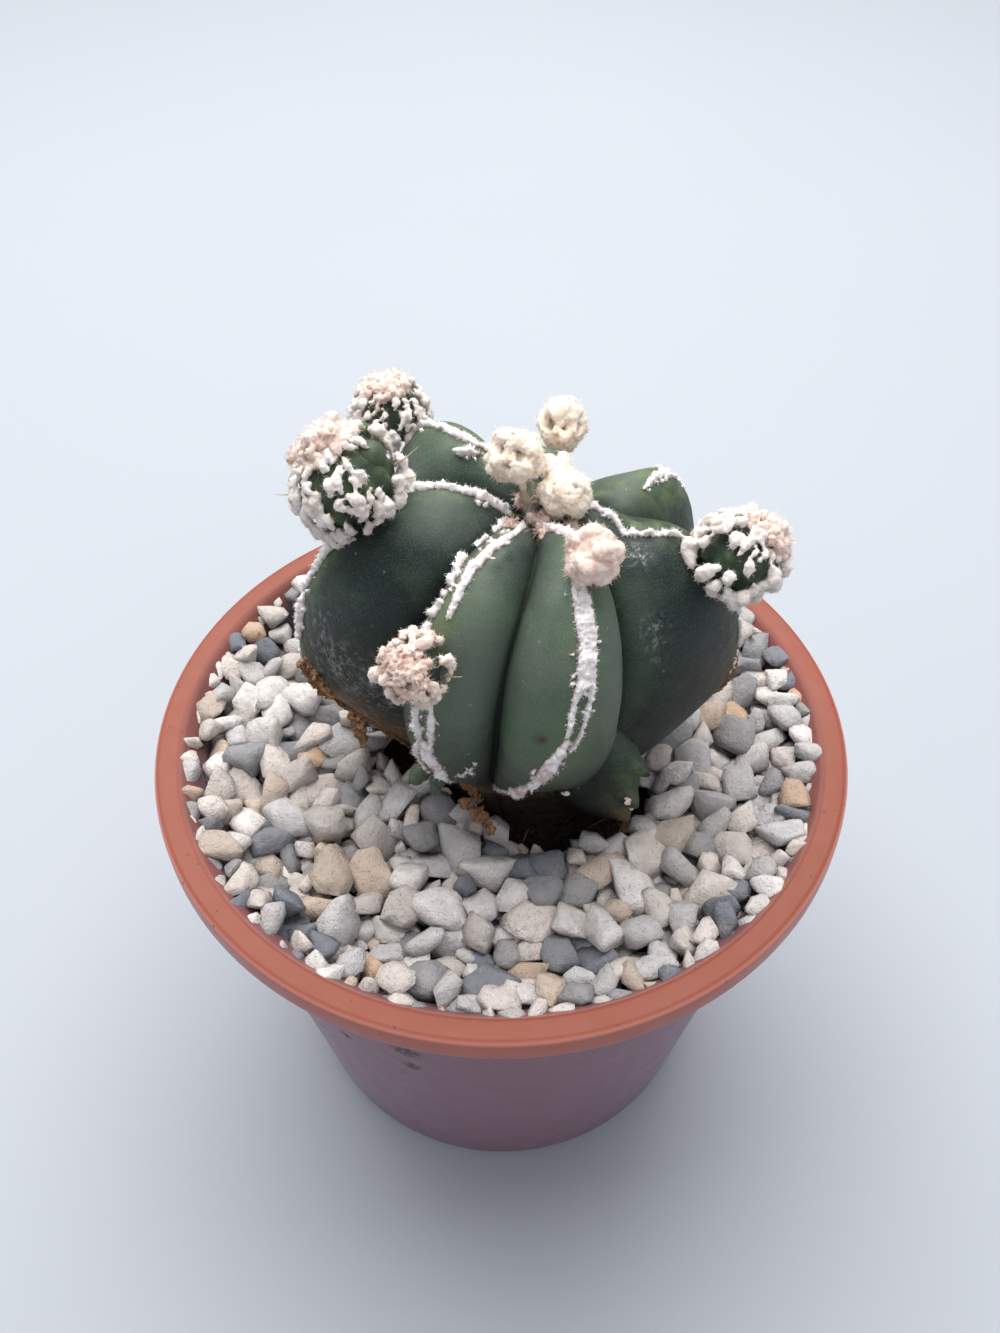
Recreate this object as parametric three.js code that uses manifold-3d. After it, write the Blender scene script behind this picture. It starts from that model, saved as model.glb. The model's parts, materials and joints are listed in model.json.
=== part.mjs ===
// A ribbed bishop's cap cactus with woolly offsets and buds, in a round plastic pot topped with gravel.
// Millimetres, +Z up. The origin is the middle of the pot's underside, and the plant's front faces -Y.
import * as THREE from "three";
import { mergeVertices } from "three/addons/utils/BufferGeometryUtils.js";
import Module from "manifold-3d";

const wasm = await Module();
wasm.setup();

// Pot: a tapered plastic pot with a thick rolled lip.
const POT_HEIGHT = 66;
const LIP_RADIUS = 45;
const LIP_INNER_RADIUS = 42;
const LIP_DEPTH = 3.8;
const LIP_ROUNDING = 0.9;
const WALL = 1;
const WALL_TOP_RADIUS = 40.4;
const FOOT_RADIUS = 31;
const FOOT_WIDTH = 1.6;
const FLOOR_BOTTOM = 1.5;
const FLOOR_TOP = 2.7;
const DRAIN_HOLES = 8;
const DRAIN_RADIUS = 2.8;
const DRAIN_RING = 20.5;
const POT_SIDES = 52;

// Filling: soil, and the gravel that tops it.
const GAP = 0.3;
const SOIL_TOP = 57.4;
const BED_THICKNESS = 2.2;
const STONES = 134;
const STONE_SHAPES = 14;
const STONE_PLANES = 10;
const STONE_SMALLEST = 2.1;
const STONE_SPREAD = 1.8;
const STONE_SEED = 20;
const STONE_SKEW = 1.8;
const STONE_STRETCH = [1.24, 1, 0.76];
const STONE_SHARPNESS = 12;
const SETTLE_ROUNDS = 150;
const SETTLE_FALL = 0.06;
const SETTLE_PUSH = 0.3;
const STONE_VISIBLE_TOP = 62.1;
const STONE_HIGHEST_TOP = 63.8;

// Stem: its axis stands a little off the pot's. Heights in the tables below are above the pot's rim.
const STEM_X = 3.5;
const STEM_Y = 0.5;
const STEM_ROWS = 18;
const FLANK_STEPS = 5;
const RIDGE_DROP = 0.04;
const CREASE_SPREAD = 0.1;
const NECK_RADIUS = 11.4;
const NECK_BOTTOM = -17;
const ROOT_RADIUS = 9.6;

// Each rib's ridge from the crown to the neck: bearing in degrees, radius, height, and how round the
// ridge is on the side of the smaller and of the larger bearing.
const RIBS = {
  left: [
    [180, 1.8, 34.8, 0.3, 0.3],
    [180, 5.5, 37.5, 0.3, 0.3],
    [180, 11, 38.9, 0.3, 0.3],
    [180, 18.5, 35.6, 0.3, 0.3],
    [180, 25, 27, 0.3, 0.28],
    [180, 28, 17, 0.25, 0.2],
    [180, 27.6, 9.5, 0.25, 0.12],
    [180, 24.3, 4, 0.25, 0.05],
    [179, 19.5, -1, 0.25, 0.05],
    [178, 13, -7, 0.3, 0.3],
  ],
  frontLeft: [
    [235, 1.8, 35, 0.3, 0.35],
    [242, 7, 37.6, 0.22, 0.4],
    [240.5, 12.5, 37.9, 0.2, 0.42],
    [239, 17.5, 35.3, 0.2, 0.42],
    [238, 20.6, 31, 0.25, 0.42],
    [239, 22.5, 25, 0.32, 0.42],
    [239.5, 22.6, 18.3, 0.36, 0.42],
    [239, 20.8, 11, 0.35, 0.4],
    [238, 15.5, 4.5, 0.3, 0.35],
    [238, 12, -6, 0.3, 0.3],
  ],
  frontRight: [
    [290, 1.8, 35, 0.35, 0.3],
    [297, 6.5, 37.5, 0.4, 0.3],
    [293, 12, 38.3, 0.42, 0.28],
    [288, 17, 35.7, 0.42, 0.28],
    [285, 20.6, 31.5, 0.42, 0.32],
    [281.5, 22.6, 25, 0.42, 0.36],
    [277, 22.7, 18, 0.4, 0.4],
    [269, 20, 10.5, 0.35, 0.4],
    [264, 14, 4.5, 0.3, 0.35],
    [266, 11.5, -6, 0.3, 0.3],
  ],
  right: [
    [352, 1.8, 35, 0.3, 0.3],
    [352, 6.5, 36.9, 0.3, 0.3],
    [352, 11, 35.2, 0.3, 0.3],
    [352, 16.3, 34.2, 0.3, 0.3],
    [353, 21.5, 30, 0.26, 0.3],
    [354, 24.5, 22.5, 0.2, 0.3],
    [355, 25.4, 15, 0.12, 0.26],
    [356, 24.6, 8.8, 0.05, 0.15],
    [357, 19.6, 4, 0.05, 0.1],
    [357, 12.5, -6, 0.3, 0.3],
  ],
  backRight: [
    [400, 1.8, 34.5, 0.3, 0.25],
    [398, 6, 34.2, 0.3, 0.2],
    [397, 11, 32.9, 0.32, 0.2],
    [397, 16, 32.8, 0.32, 0.22],
    [398, 21, 31, 0.32, 0.25],
    [399, 25, 25.5, 0.32, 0.3],
    [400, 26.5, 18, 0.32, 0.32],
    [400, 25.2, 10, 0.3, 0.3],
    [400, 20.5, 2.5, 0.3, 0.3],
    [400, 12.5, -6, 0.3, 0.3],
  ],
  back: [
    [444, 1.8, 34.6, 0.3, 0.3],
    [444, 6, 35.6, 0.3, 0.3],
    [444, 11, 34.7, 0.32, 0.32],
    [444, 16, 32.4, 0.34, 0.34],
    [444, 20.6, 28, 0.34, 0.34],
    [444, 23.2, 22, 0.34, 0.34],
    [444, 23.8, 15, 0.34, 0.34],
    [444, 22.5, 8, 0.34, 0.34],
    [444, 18.5, 1.5, 0.3, 0.3],
    [444, 12.2, -6, 0.3, 0.3],
  ],
  backLeft: [
    [485, 1.8, 35, 0.3, 0.3],
    [485, 7, 37.9, 0.3, 0.3],
    [485, 12.5, 38.2, 0.3, 0.3],
    [485, 18, 36.8, 0.3, 0.3],
    [485, 22.8, 33, 0.3, 0.3],
    [485, 25.8, 26, 0.3, 0.3],
    [485, 26.4, 18, 0.3, 0.3],
    [485, 24.8, 10, 0.3, 0.3],
    [485, 20, 2.5, 0.3, 0.3],
    [485, 12.7, -6, 0.3, 0.3],
  ],
};

// The crease after each rib, in the same order: bearing, radius, height, and how full the flanks are
// where they meet in it.
const CREASES = [
  [
    [212, 1.5, 34.3, 0.4],
    [222, 5, 34.6, 0.4],
    [224, 9, 33.6, 0.4],
    [222, 12, 30.8, 0.4],
    [219, 13.8, 26, 0.42],
    [216, 14.3, 19, 0.42],
    [213, 14, 12, 0.38],
    [211, 13.5, 6, 0.3],
    [210, 12.5, 0, 0.25],
    [210, 11, -7, 0.2],
  ],
  [
    [278, 1.5, 34.5, 0.4],
    [276, 5, 35, 0.46],
    [269, 9.5, 34, 0.48],
    [263, 13.6, 31, 0.48],
    [259.5, 15.8, 26.5, 0.48],
    [257.5, 16.7, 20.5, 0.48],
    [256, 16.7, 13.5, 0.45],
    [253, 15.3, 7.5, 0.35],
    [252, 12.8, 1, 0.25],
    [252, 11, -7, 0.2],
  ],
  [
    [322, 1.5, 34.3, 0.4],
    [322, 5, 34.4, 0.42],
    [318, 8.5, 33, 0.42],
    [313, 11.5, 30, 0.42],
    [310, 13.3, 25, 0.42],
    [308, 14, 18.5, 0.42],
    [306, 14, 11.5, 0.38],
    [305, 13.3, 5, 0.3],
    [305, 12.3, -1, 0.25],
    [305, 11, -7, 0.2],
  ],
  [
    [376, 1.5, 34.2, 0.4],
    [375, 5, 33.6, 0.42],
    [374, 9, 31.4, 0.42],
    [374, 12.5, 28.6, 0.42],
    [375, 14.5, 24, 0.42],
    [376, 15.2, 17.5, 0.42],
    [377, 14.8, 11, 0.36],
    [378, 14, 5, 0.22],
    [378, 12.5, -1, 0.2],
    [378, 11, -7, 0.2],
  ],
  [
    [420, 1.5, 34.2, 0.4],
    [420, 5, 33.4, 0.42],
    [420, 9, 31.2, 0.42],
    [421, 12.5, 28.2, 0.42],
    [422, 14.2, 23.6, 0.42],
    [422, 14.8, 17.2, 0.42],
    [422, 14.4, 11, 0.4],
    [422, 13.4, 5, 0.3],
    [422, 12.2, -1, 0.25],
    [422, 11, -7, 0.2],
  ],
  [
    [465, 1.5, 34.2, 0.4],
    [465, 5, 33.8, 0.42],
    [465, 9, 32.2, 0.42],
    [465, 12.4, 29.4, 0.42],
    [465, 14.2, 24.6, 0.42],
    [465, 14.8, 18.2, 0.42],
    [465, 14.4, 11.5, 0.4],
    [465, 13.4, 5, 0.3],
    [465, 12.2, -1, 0.25],
    [465, 11, -7, 0.2],
  ],
  [
    [513, 1.5, 34.3, 0.4],
    [513, 5, 34.6, 0.42],
    [513, 9, 33.6, 0.42],
    [513, 12.4, 30.6, 0.42],
    [513, 14.2, 25.8, 0.42],
    [513, 14.8, 19, 0.42],
    [513, 14.5, 12, 0.4],
    [513, 13.6, 6, 0.3],
    [513, 12.5, 0, 0.25],
    [513, 11, -7, 0.2],
  ],
];

// A low side lobe of the stem, between the front right rib and the right one.
const LOBE = {
  bearing: 308,
  radius: 11.9,
  height: 5.2,
  reach: 8.1,
  halfWidth: 6.2,
  halfHeight: 9.4,
  lean: 1.5,
  pinch: 0.35,
};

// Felt: bands of white wool along the ridges. Reach is the share of the way from crown to neck,
// shift is how far the band lies to the side of the ridge.
const FELT_HEIGHT = 0.95;
const FELT_CORE_DEPTH = 5;
const FELT = [
  { name: "felt_left_upper", rib: "left", from: 0.1, to: 0.27, shift: 0, width: 1.9 },
  { name: "felt_left_lower", rib: "left", from: 0.42, to: 0.68, shift: 0, width: 1.9 },
  { name: "felt_front_left_outer", rib: "frontLeft", from: 0.12, to: 0.4, shift: -1.5, width: 1.5 },
  { name: "felt_front_left_inner", rib: "frontLeft", from: 0.09, to: 0.38, shift: 1, width: 1.8 },
  { name: "felt_front_left_lower", rib: "frontLeft", from: 0.53, to: 0.84, shift: 0, width: 3.2 },
  { name: "felt_front_right_upper", rib: "frontRight", from: 0.12, to: 0.21, shift: 0, width: 1.8 },
  { name: "felt_front_right_lower", rib: "frontRight", from: 0.36, to: 0.82, shift: 0, width: 2.6 },
  { name: "felt_right_upper", rib: "right", from: 0.12, to: 0.36, shift: 0, width: 1.8 },
  { name: "felt_right_lower", rib: "right", from: 0.52, to: 0.74, shift: 0, width: 1.6 },
  { name: "felt_back_right", rib: "backRight", from: 0.3, to: 0.54, shift: 0, width: 1.6 },
  { name: "felt_back", rib: "back", from: 0.12, to: 0.19, shift: 0, width: 1.6 },
  { name: "felt_back_left", rib: "backLeft", from: 0.12, to: 0.42, shift: 0, width: 1.8 },
];

// Offsets: small woolly heads on the ridges. Facing is the way a head's own crown looks.
const TUFT = { length: 1.9, width: 1.05, thickness: 1.05, sink: 0.12, onRadius: 5.5 };
const CORE_SHARE = 0.9;
const LOWEST_TUFT = 2.45;
const CAP_ANGLE = 36;
const CAP_HEIGHT_SHARE = 0.42;
const OFFSETS = [
  { name: "offset_left", at: [-16.4, 1.3, 38.8], radius: 6.2, facing: [-0.5, 0.2, 0.84], tufts: 15, seed: 3 },
  { name: "offset_back_left", at: [-13.6, 21.4, 34.4], radius: 4.7, facing: [-0.1, 0.3, 0.95], tufts: 12, seed: 5 },
  { name: "offset_right", at: [26, -4, 32.6], radius: 5, facing: [0.72, 0.1, 0.68], tufts: 12, seed: 8 },
  { name: "offset_front", at: [-8.6, -20.2, 32.2], radius: 3.6, facing: [-0.25, -0.72, 0.64], tufts: 9, seed: 11 },
];

// Buds: balls of wool, each on a short stalk that stands on the plant at its foot.
const BUD_STALK_RADIUS = 0.75;
const BUD_LUMPS = 13;
const BUD_SWELL = 1.12;
const BUDS = [
  { name: "bud_left", at: [1.7, 1.5, 42.1], radius: 3.3, foot: [3.4, -0.2, 34.6], seed: 2 },
  { name: "bud_back", at: [7.1, 9.6, 40.4], radius: 3.15, foot: [7.2, 9.4, 33.6], seed: 4 },
  { name: "bud_centre", at: [7.1, -0.6, 38.6], radius: 3.1, foot: [6.2, -0.6, 34], seed: 6 },
  { name: "bud_front", at: [9.2, -12.9, 40.6], radius: 3.2, foot: [8.6, -12.4, 36.4], seed: 9 },
];
const CROWN_WOOL = { at: [4.6, -1.6, 36], radius: 3.4, thickness: 1.5, lumps: 17, seed: 14 };

// Gravel stays clear of these discs: the neck, the low ribs beside it and the bare hollow in front.
const BARE = [
  { x: STEM_X, y: STEM_Y, radius: 14.4 },
  { x: -8.5, y: 0.5, radius: 7 },
  { x: 12.5, y: -8.5, radius: 7.8 },
  { x: 5.8, y: -11.4, radius: 5.8 },
];
const CHIP = { at: [16.2, -11.4], size: [3.4, 1.6, 1], turn: 0.9 };

const FINISH = {
  pot: new THREE.MeshStandardMaterial({ color: 0xa5533c, roughness: 0.5, metalness: 0 }),
  soil: new THREE.MeshStandardMaterial({ color: 0x2a211b, roughness: 1, metalness: 0 }),
  gravel: new THREE.MeshStandardMaterial({ color: 0xb3ada6, roughness: 0.9, metalness: 0 }),
  bark: new THREE.MeshStandardMaterial({ color: 0x8a5430, roughness: 0.9, metalness: 0 }),
  skin: new THREE.MeshStandardMaterial({ color: 0x36503c, roughness: 0.6, metalness: 0 }),
  felt: new THREE.MeshStandardMaterial({ color: 0xe0d8d2, roughness: 1, metalness: 0 }),
  offset: new THREE.MeshStandardMaterial({ color: 0xc2bcb0, roughness: 0.95, metalness: 0 }),
  blush: new THREE.MeshStandardMaterial({ color: 0xd9b9a8, roughness: 1, metalness: 0 }),
  bud: new THREE.MeshStandardMaterial({ color: 0xe6d6b8, roughness: 1, metalness: 0 }),
};

const plant = new THREE.Group();

// A solid from a closed geometry, and a geometry from a solid.
function solidOf(geometry) {
  const bare = geometry.clone();
  bare.deleteAttribute("normal");
  bare.deleteAttribute("uv");
  const merged = mergeVertices(bare, 1e-4);
  return new wasm.Manifold(
    new wasm.Mesh({
      numProp: 3,
      vertProperties: new Float32Array(merged.attributes.position.array),
      triVerts: new Uint32Array(merged.index.array),
    }),
  );
}

function geometryOf(solid) {
  const mesh = solid.getMesh();
  const geometry = new THREE.BufferGeometry();
  geometry.setAttribute("position", new THREE.BufferAttribute(mesh.vertProperties, 3));
  geometry.setIndex(new THREE.BufferAttribute(mesh.triVerts, 1));
  return geometry;
}

// The largest body of a solid: a cut can leave a scrap beside it.
function mainBody(solid) {
  return solid.decompose().reduce((best, body) => (body.volume() > best.volume() ? body : best));
}

function addPiece(name, geometry, finish) {
  const mesh = new THREE.Mesh(geometry, finish);
  mesh.name = name;
  plant.add(mesh);
}

// A repeatable stream of numbers from 0 to 1.
function drawer(seed) {
  let state = seed >>> 0;
  return () => {
    state = (Math.imul(state, 1664525) + 1013904223) >>> 0;
    return state / 4294967296;
  };
}

function pointOnSphere(draw) {
  const z = 2 * draw() - 1;
  const turn = 2 * Math.PI * draw();
  const flat = Math.sqrt(1 - z * z);
  return new THREE.Vector3(flat * Math.cos(turn), flat * Math.sin(turn), z);
}

// Evenly spread directions: the i-th of count on a golden-angle spiral.
function spiralPoint(i, count) {
  const z = 1 - (2 * i + 1) / count;
  const turn = i * Math.PI * (3 - Math.sqrt(5));
  const flat = Math.sqrt(1 - z * z);
  return new THREE.Vector3(flat * Math.cos(turn), flat * Math.sin(turn), z);
}

function turnTo(direction) {
  const facing = new THREE.Vector3(...direction).normalize();
  return new THREE.Quaternion().setFromUnitVectors(new THREE.Vector3(0, 0, 1), facing);
}

function overRim([x, y, height]) {
  return new THREE.Vector3(x, y, POT_HEIGHT + height);
}

function lathe(profile, sides) {
  const points = profile.map(([radius, z]) => new THREE.Vector2(radius, z));
  const geometry = new THREE.LatheGeometry(points, sides);
  geometry.rotateX(Math.PI / 2);
  return geometry;
}

function cylinder(radius, bottom, top, sides) {
  const profile = [
    [0, bottom],
    [radius, bottom],
    [radius, top],
    [0, top],
  ];
  return lathe(profile, sides);
}

// A smooth line through evenly spaced stations, at share v of its length.
function alongLine(line, v) {
  const last = line.length - 1;
  const place = THREE.MathUtils.clamp(v, 0, 1) * last;
  const i = Math.min(Math.floor(place), last - 1);
  const f = place - i;
  return line[i].map((start, c) => {
    const end = line[i + 1][c];
    const before = i > 0 ? line[i - 1][c] : 2 * start - end;
    const after = i < last - 1 ? line[i + 2][c] : 2 * end - start;
    const bend = 2 * before - 5 * start + 4 * end - after;
    const twist = 3 * start - before - 3 * end + after;
    return start + 0.5 * f * (end - before + f * (bend + f * twist));
  });
}

// Where a ridge or crease runs at share v: its point, the way out of the stem and the way round it.
function lineFrame(line, v) {
  const [bearing, radius, height] = alongLine(line, v);
  const turn = THREE.MathUtils.degToRad(bearing);
  const step = 0.01;
  const ahead = alongLine(line, Math.min(v + step, 1));
  const behind = alongLine(line, Math.max(v - step, 0));
  const run = ahead[1] - behind[1];
  const rise = ahead[2] - behind[2];
  const length = Math.hypot(run, rise);
  const cos = Math.cos(turn);
  const sin = Math.sin(turn);
  return {
    point: new THREE.Vector3(STEM_X + radius * cos, STEM_Y + radius * sin, POT_HEIGHT + height),
    out: new THREE.Vector3((-rise / length) * cos, (-rise / length) * sin, run / length),
    round: new THREE.Vector3(-sin, cos, 0),
  };
}

const RIB_NAMES = Object.keys(RIBS);

// The curve across one flank at share v, from the ridge down into the crease. Side is 1 towards the
// larger bearing and -1 towards the smaller.
function flankCurve(ribName, side, v) {
  const index = RIB_NAMES.indexOf(ribName);
  const rib = RIBS[ribName];
  const creaseIndex = side > 0 ? index : (index + CREASES.length - 1) % CREASES.length;
  const crease = CREASES[creaseIndex];
  const ridge = lineFrame(rib, v);
  const valley = lineFrame(crease, v);
  const span = ridge.point.distanceTo(valley.point);
  const roundness = alongLine(rib, v)[side > 0 ? 4 : 3];
  const fullness = alongLine(crease, v)[3];
  const shoulder = ridge.point
    .clone()
    .addScaledVector(ridge.round, side * span * roundness)
    .addScaledVector(ridge.out, -span * RIDGE_DROP);
  const cheek = valley.point
    .clone()
    .addScaledVector(valley.out, span * fullness)
    .addScaledVector(valley.round, -side * span * CREASE_SPREAD);
  return new THREE.CubicBezierCurve3(ridge.point, shoulder, cheek, valley.point);
}

// Joins rings of points with quads, and closes both ends with a point.
function loftRings(rings, firstPole, lastPole) {
  const sides = rings[0].length;
  const points = [...rings.flat(), firstPole, lastPole];
  const index = [];
  const first = points.length - 2;
  const last = points.length - 1;
  const end = (rings.length - 1) * sides;
  for (let i = 0; i < sides; i++) {
    const j = (i + 1) % sides;
    index.push(first, i, j, last, end + j, end + i);
    for (let row = 0; row < rings.length - 1; row++) {
      const a = row * sides;
      const b = a + sides;
      index.push(a + i, b + i, b + j, a + i, b + j, a + j);
    }
  }
  const geometry = new THREE.BufferGeometry().setFromPoints(points);
  geometry.setIndex(index);
  return geometry;
}

// One ring of the stem at share v, with every rib's two flanks.
function stemRing(v) {
  const ring = [];
  for (const name of RIB_NAMES) {
    const near = flankCurve(name, -1, v);
    const far = flankCurve(name, 1, v);
    for (let i = FLANK_STEPS; i > 0; i--) ring.push(near.getPoint(i / FLANK_STEPS));
    for (let i = 0; i < FLANK_STEPS; i++) ring.push(far.getPoint(i / FLANK_STEPS));
  }
  return ring;
}

// A round ring below the ribs, with its points at the bearings of the ring above.
function neckRing(above, radius, height) {
  return above.map((point) => {
    const bearing = Math.atan2(point.y - STEM_Y, point.x - STEM_X);
    return overRim([STEM_X + radius * Math.cos(bearing), STEM_Y + radius * Math.sin(bearing), height]);
  });
}

function stemBody() {
  const rings = [];
  for (let row = 0; row <= STEM_ROWS; row++) rings.push(stemRing(row / STEM_ROWS));
  const lowest = rings[rings.length - 1];
  rings.push(neckRing(lowest, NECK_RADIUS, SOIL_TOP - POT_HEIGHT));
  rings.push(neckRing(lowest, ROOT_RADIUS, NECK_BOTTOM));
  const crown = rings[0].reduce((sum, point) => sum + point.z, 0) / rings[0].length;
  const top = new THREE.Vector3(STEM_X, STEM_Y, crown - 0.2);
  const foot = overRim([STEM_X, STEM_Y, NECK_BOTTOM]);
  return loftRings(rings, top, foot);
}

// The side lobe: an ellipsoid pinched to a soft ridge, with two low points on it.
function sideLobe() {
  const geometry = new THREE.SphereGeometry(1, 16, 12);
  geometry.rotateX(Math.PI / 2);
  const turn = THREE.MathUtils.degToRad(LOBE.bearing);
  const out = new THREE.Vector3(Math.cos(turn), Math.sin(turn), 0);
  const round = new THREE.Vector3(-Math.sin(turn), Math.cos(turn), 0);
  const centre = overRim([STEM_X, STEM_Y, LOBE.height]).addScaledVector(out, LOBE.radius);
  const position = geometry.attributes.position;
  for (let i = 0; i < position.count; i++) {
    const p = new THREE.Vector3().fromBufferAttribute(position, i);
    const front = Math.max(p.x, 0);
    const point = centre
      .clone()
      .addScaledVector(out, p.x * LOBE.reach)
      .addScaledVector(round, p.y * LOBE.halfWidth * (1 - LOBE.pinch * front));
    point.z += p.z * LOBE.halfHeight - LOBE.lean * p.x;
    position.setXYZ(i, point.x, point.y, point.z);
  }
  return geometry;
}

// A ball whose surface swells into soft lumps at evenly spread directions.
function lumpyBall(radius, lumps, depth, seed, columns, rows) {
  const geometry = new THREE.SphereGeometry(1, columns, rows);
  const draw = drawer(seed);
  const turn = new THREE.Quaternion().setFromUnitVectors(new THREE.Vector3(0, 0, 1), pointOnSphere(draw));
  const centres = [];
  for (let i = 0; i < lumps; i++) {
    const weight = 0.6 + 0.8 * draw();
    centres.push({ way: spiralPoint(i, lumps).applyQuaternion(turn), weight });
  }
  const tightness = lumps * 0.9;
  const position = geometry.attributes.position;
  for (let i = 0; i < position.count; i++) {
    const p = new THREE.Vector3().fromBufferAttribute(position, i).normalize();
    let swell = 0;
    for (const { way, weight } of centres) swell += weight * Math.exp(tightness * (p.dot(way) - 1));
    p.multiplyScalar(radius * (1 - depth + depth * Math.min(swell, 1.6)));
    position.setXYZ(i, p.x, p.y, p.z);
  }
  return geometry;
}

// A small stretched ball for a tuft of wool, lying along the meridian of the head it grows on.
function tuftAt(direction, reach, size) {
  const geometry = new THREE.IcosahedronGeometry(size, 0);
  geometry.scale(TUFT.length, TUFT.width, TUFT.thickness);
  const outward = direction.clone();
  const round = new THREE.Vector3(-direction.y, direction.x, 0).normalize();
  const along = new THREE.Vector3().crossVectors(round, outward);
  const basis = new THREE.Matrix4().makeBasis(along, round, outward);
  basis.setPosition(outward.clone().multiplyScalar(reach));
  return geometry.applyMatrix4(basis);
}

// The stem's skin moved out by the gap, which cuts a seat in whatever grows on the stem.
function movedOut(geometry, distance) {
  const merged = mergeVertices(geometry, 1e-4);
  merged.computeVertexNormals();
  const { position, normal } = merged.attributes;
  for (let i = 0; i < position.count; i++) {
    const p = new THREE.Vector3().fromBufferAttribute(position, i);
    const n = new THREE.Vector3().fromBufferAttribute(normal, i);
    p.addScaledVector(n, distance);
    position.setXYZ(i, p.x, p.y, p.z);
  }
  return merged;
}

function ballAt(centre, radius) {
  const geometry = new THREE.IcosahedronGeometry(radius, 3);
  geometry.translate(centre.x, centre.y, centre.z);
  return solidOf(geometry);
}

function makePot() {
  const underLip = POT_HEIGHT - LIP_DEPTH;
  const slope = (WALL_TOP_RADIUS - FOOT_RADIUS) / underLip;
  const lipMiddle = LIP_RADIUS - LIP_ROUNDING;
  const cut = 0.3 * LIP_ROUNDING;
  const profile = [
    [0, FLOOR_BOTTOM],
    [FOOT_RADIUS - FOOT_WIDTH, FLOOR_BOTTOM],
    [FOOT_RADIUS - FOOT_WIDTH, 0],
    [FOOT_RADIUS, 0],
    [WALL_TOP_RADIUS, underLip],
    [lipMiddle, underLip],
    [LIP_RADIUS - cut, underLip + cut],
    [LIP_RADIUS, underLip + LIP_ROUNDING],
    [LIP_RADIUS, POT_HEIGHT - LIP_ROUNDING],
    [LIP_RADIUS - cut, POT_HEIGHT - cut],
    [lipMiddle, POT_HEIGHT],
    [LIP_INNER_RADIUS, POT_HEIGHT],
    [WALL_TOP_RADIUS - WALL, underLip + 0.8],
    [FOOT_RADIUS + slope * FLOOR_TOP - WALL, FLOOR_TOP],
    [0, FLOOR_TOP],
  ];
  let pot = solidOf(lathe(profile, POT_SIDES));
  const holes = [[0, 0]];
  for (let i = 0; i < DRAIN_HOLES; i++) {
    const turn = (2 * Math.PI * i) / DRAIN_HOLES;
    holes.push([DRAIN_RING * Math.cos(turn), DRAIN_RING * Math.sin(turn)]);
  }
  for (const [x, y] of holes) {
    const drill = cylinder(DRAIN_RADIUS, FLOOR_BOTTOM - 1, FLOOR_TOP + 1, 12);
    drill.translate(x, y, 0);
    pot = pot.subtract(solidOf(drill));
  }
  addPiece("pot", geometryOf(pot), FINISH.pot);
}

// Radius of the space inside the pot's wall at a height.
function insideRadius(z) {
  const slope = (WALL_TOP_RADIUS - FOOT_RADIUS) / (POT_HEIGHT - LIP_DEPTH);
  return FOOT_RADIUS + slope * z - WALL;
}

function makeSoil() {
  const bottom = FLOOR_TOP + GAP;
  const holeRadius = NECK_RADIUS + GAP;
  const holeBottom = POT_HEIGHT + NECK_BOTTOM - GAP;
  const profile = [
    [0, bottom],
    [insideRadius(bottom) - GAP, bottom],
    [insideRadius(SOIL_TOP) - GAP, SOIL_TOP],
    [0, SOIL_TOP],
  ];
  const hole = cylinder(holeRadius, holeBottom, SOIL_TOP + 1, 40);
  hole.translate(STEM_X, STEM_Y, 0);
  const soil = solidOf(lathe(profile, 48)).subtract(solidOf(hole));
  addPiece("soil", geometryOf(soil), FINISH.soil);
}

// Shapes that the stones share: a ball of directions cut back by random flat faces.
function stoneShapes() {
  const draw = drawer(STONE_SEED);
  const shapes = [];
  for (let s = 0; s < STONE_SHAPES; s++) {
    const planes = [];
    for (let k = 0; k < STONE_PLANES; k++) {
      const way = pointOnSphere(draw);
      planes.push({ way, depth: 0.72 + 0.28 * draw() });
    }
    shapes.push(planes);
  }
  return shapes;
}

function stoneReach(planes, direction) {
  let sum = 0;
  for (const { way, depth } of planes) {
    sum += Math.max(direction.dot(way) / depth, 0) ** STONE_SHARPNESS;
  }
  return Math.min(sum ** (-1 / STONE_SHARPNESS), 1.25);
}

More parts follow.
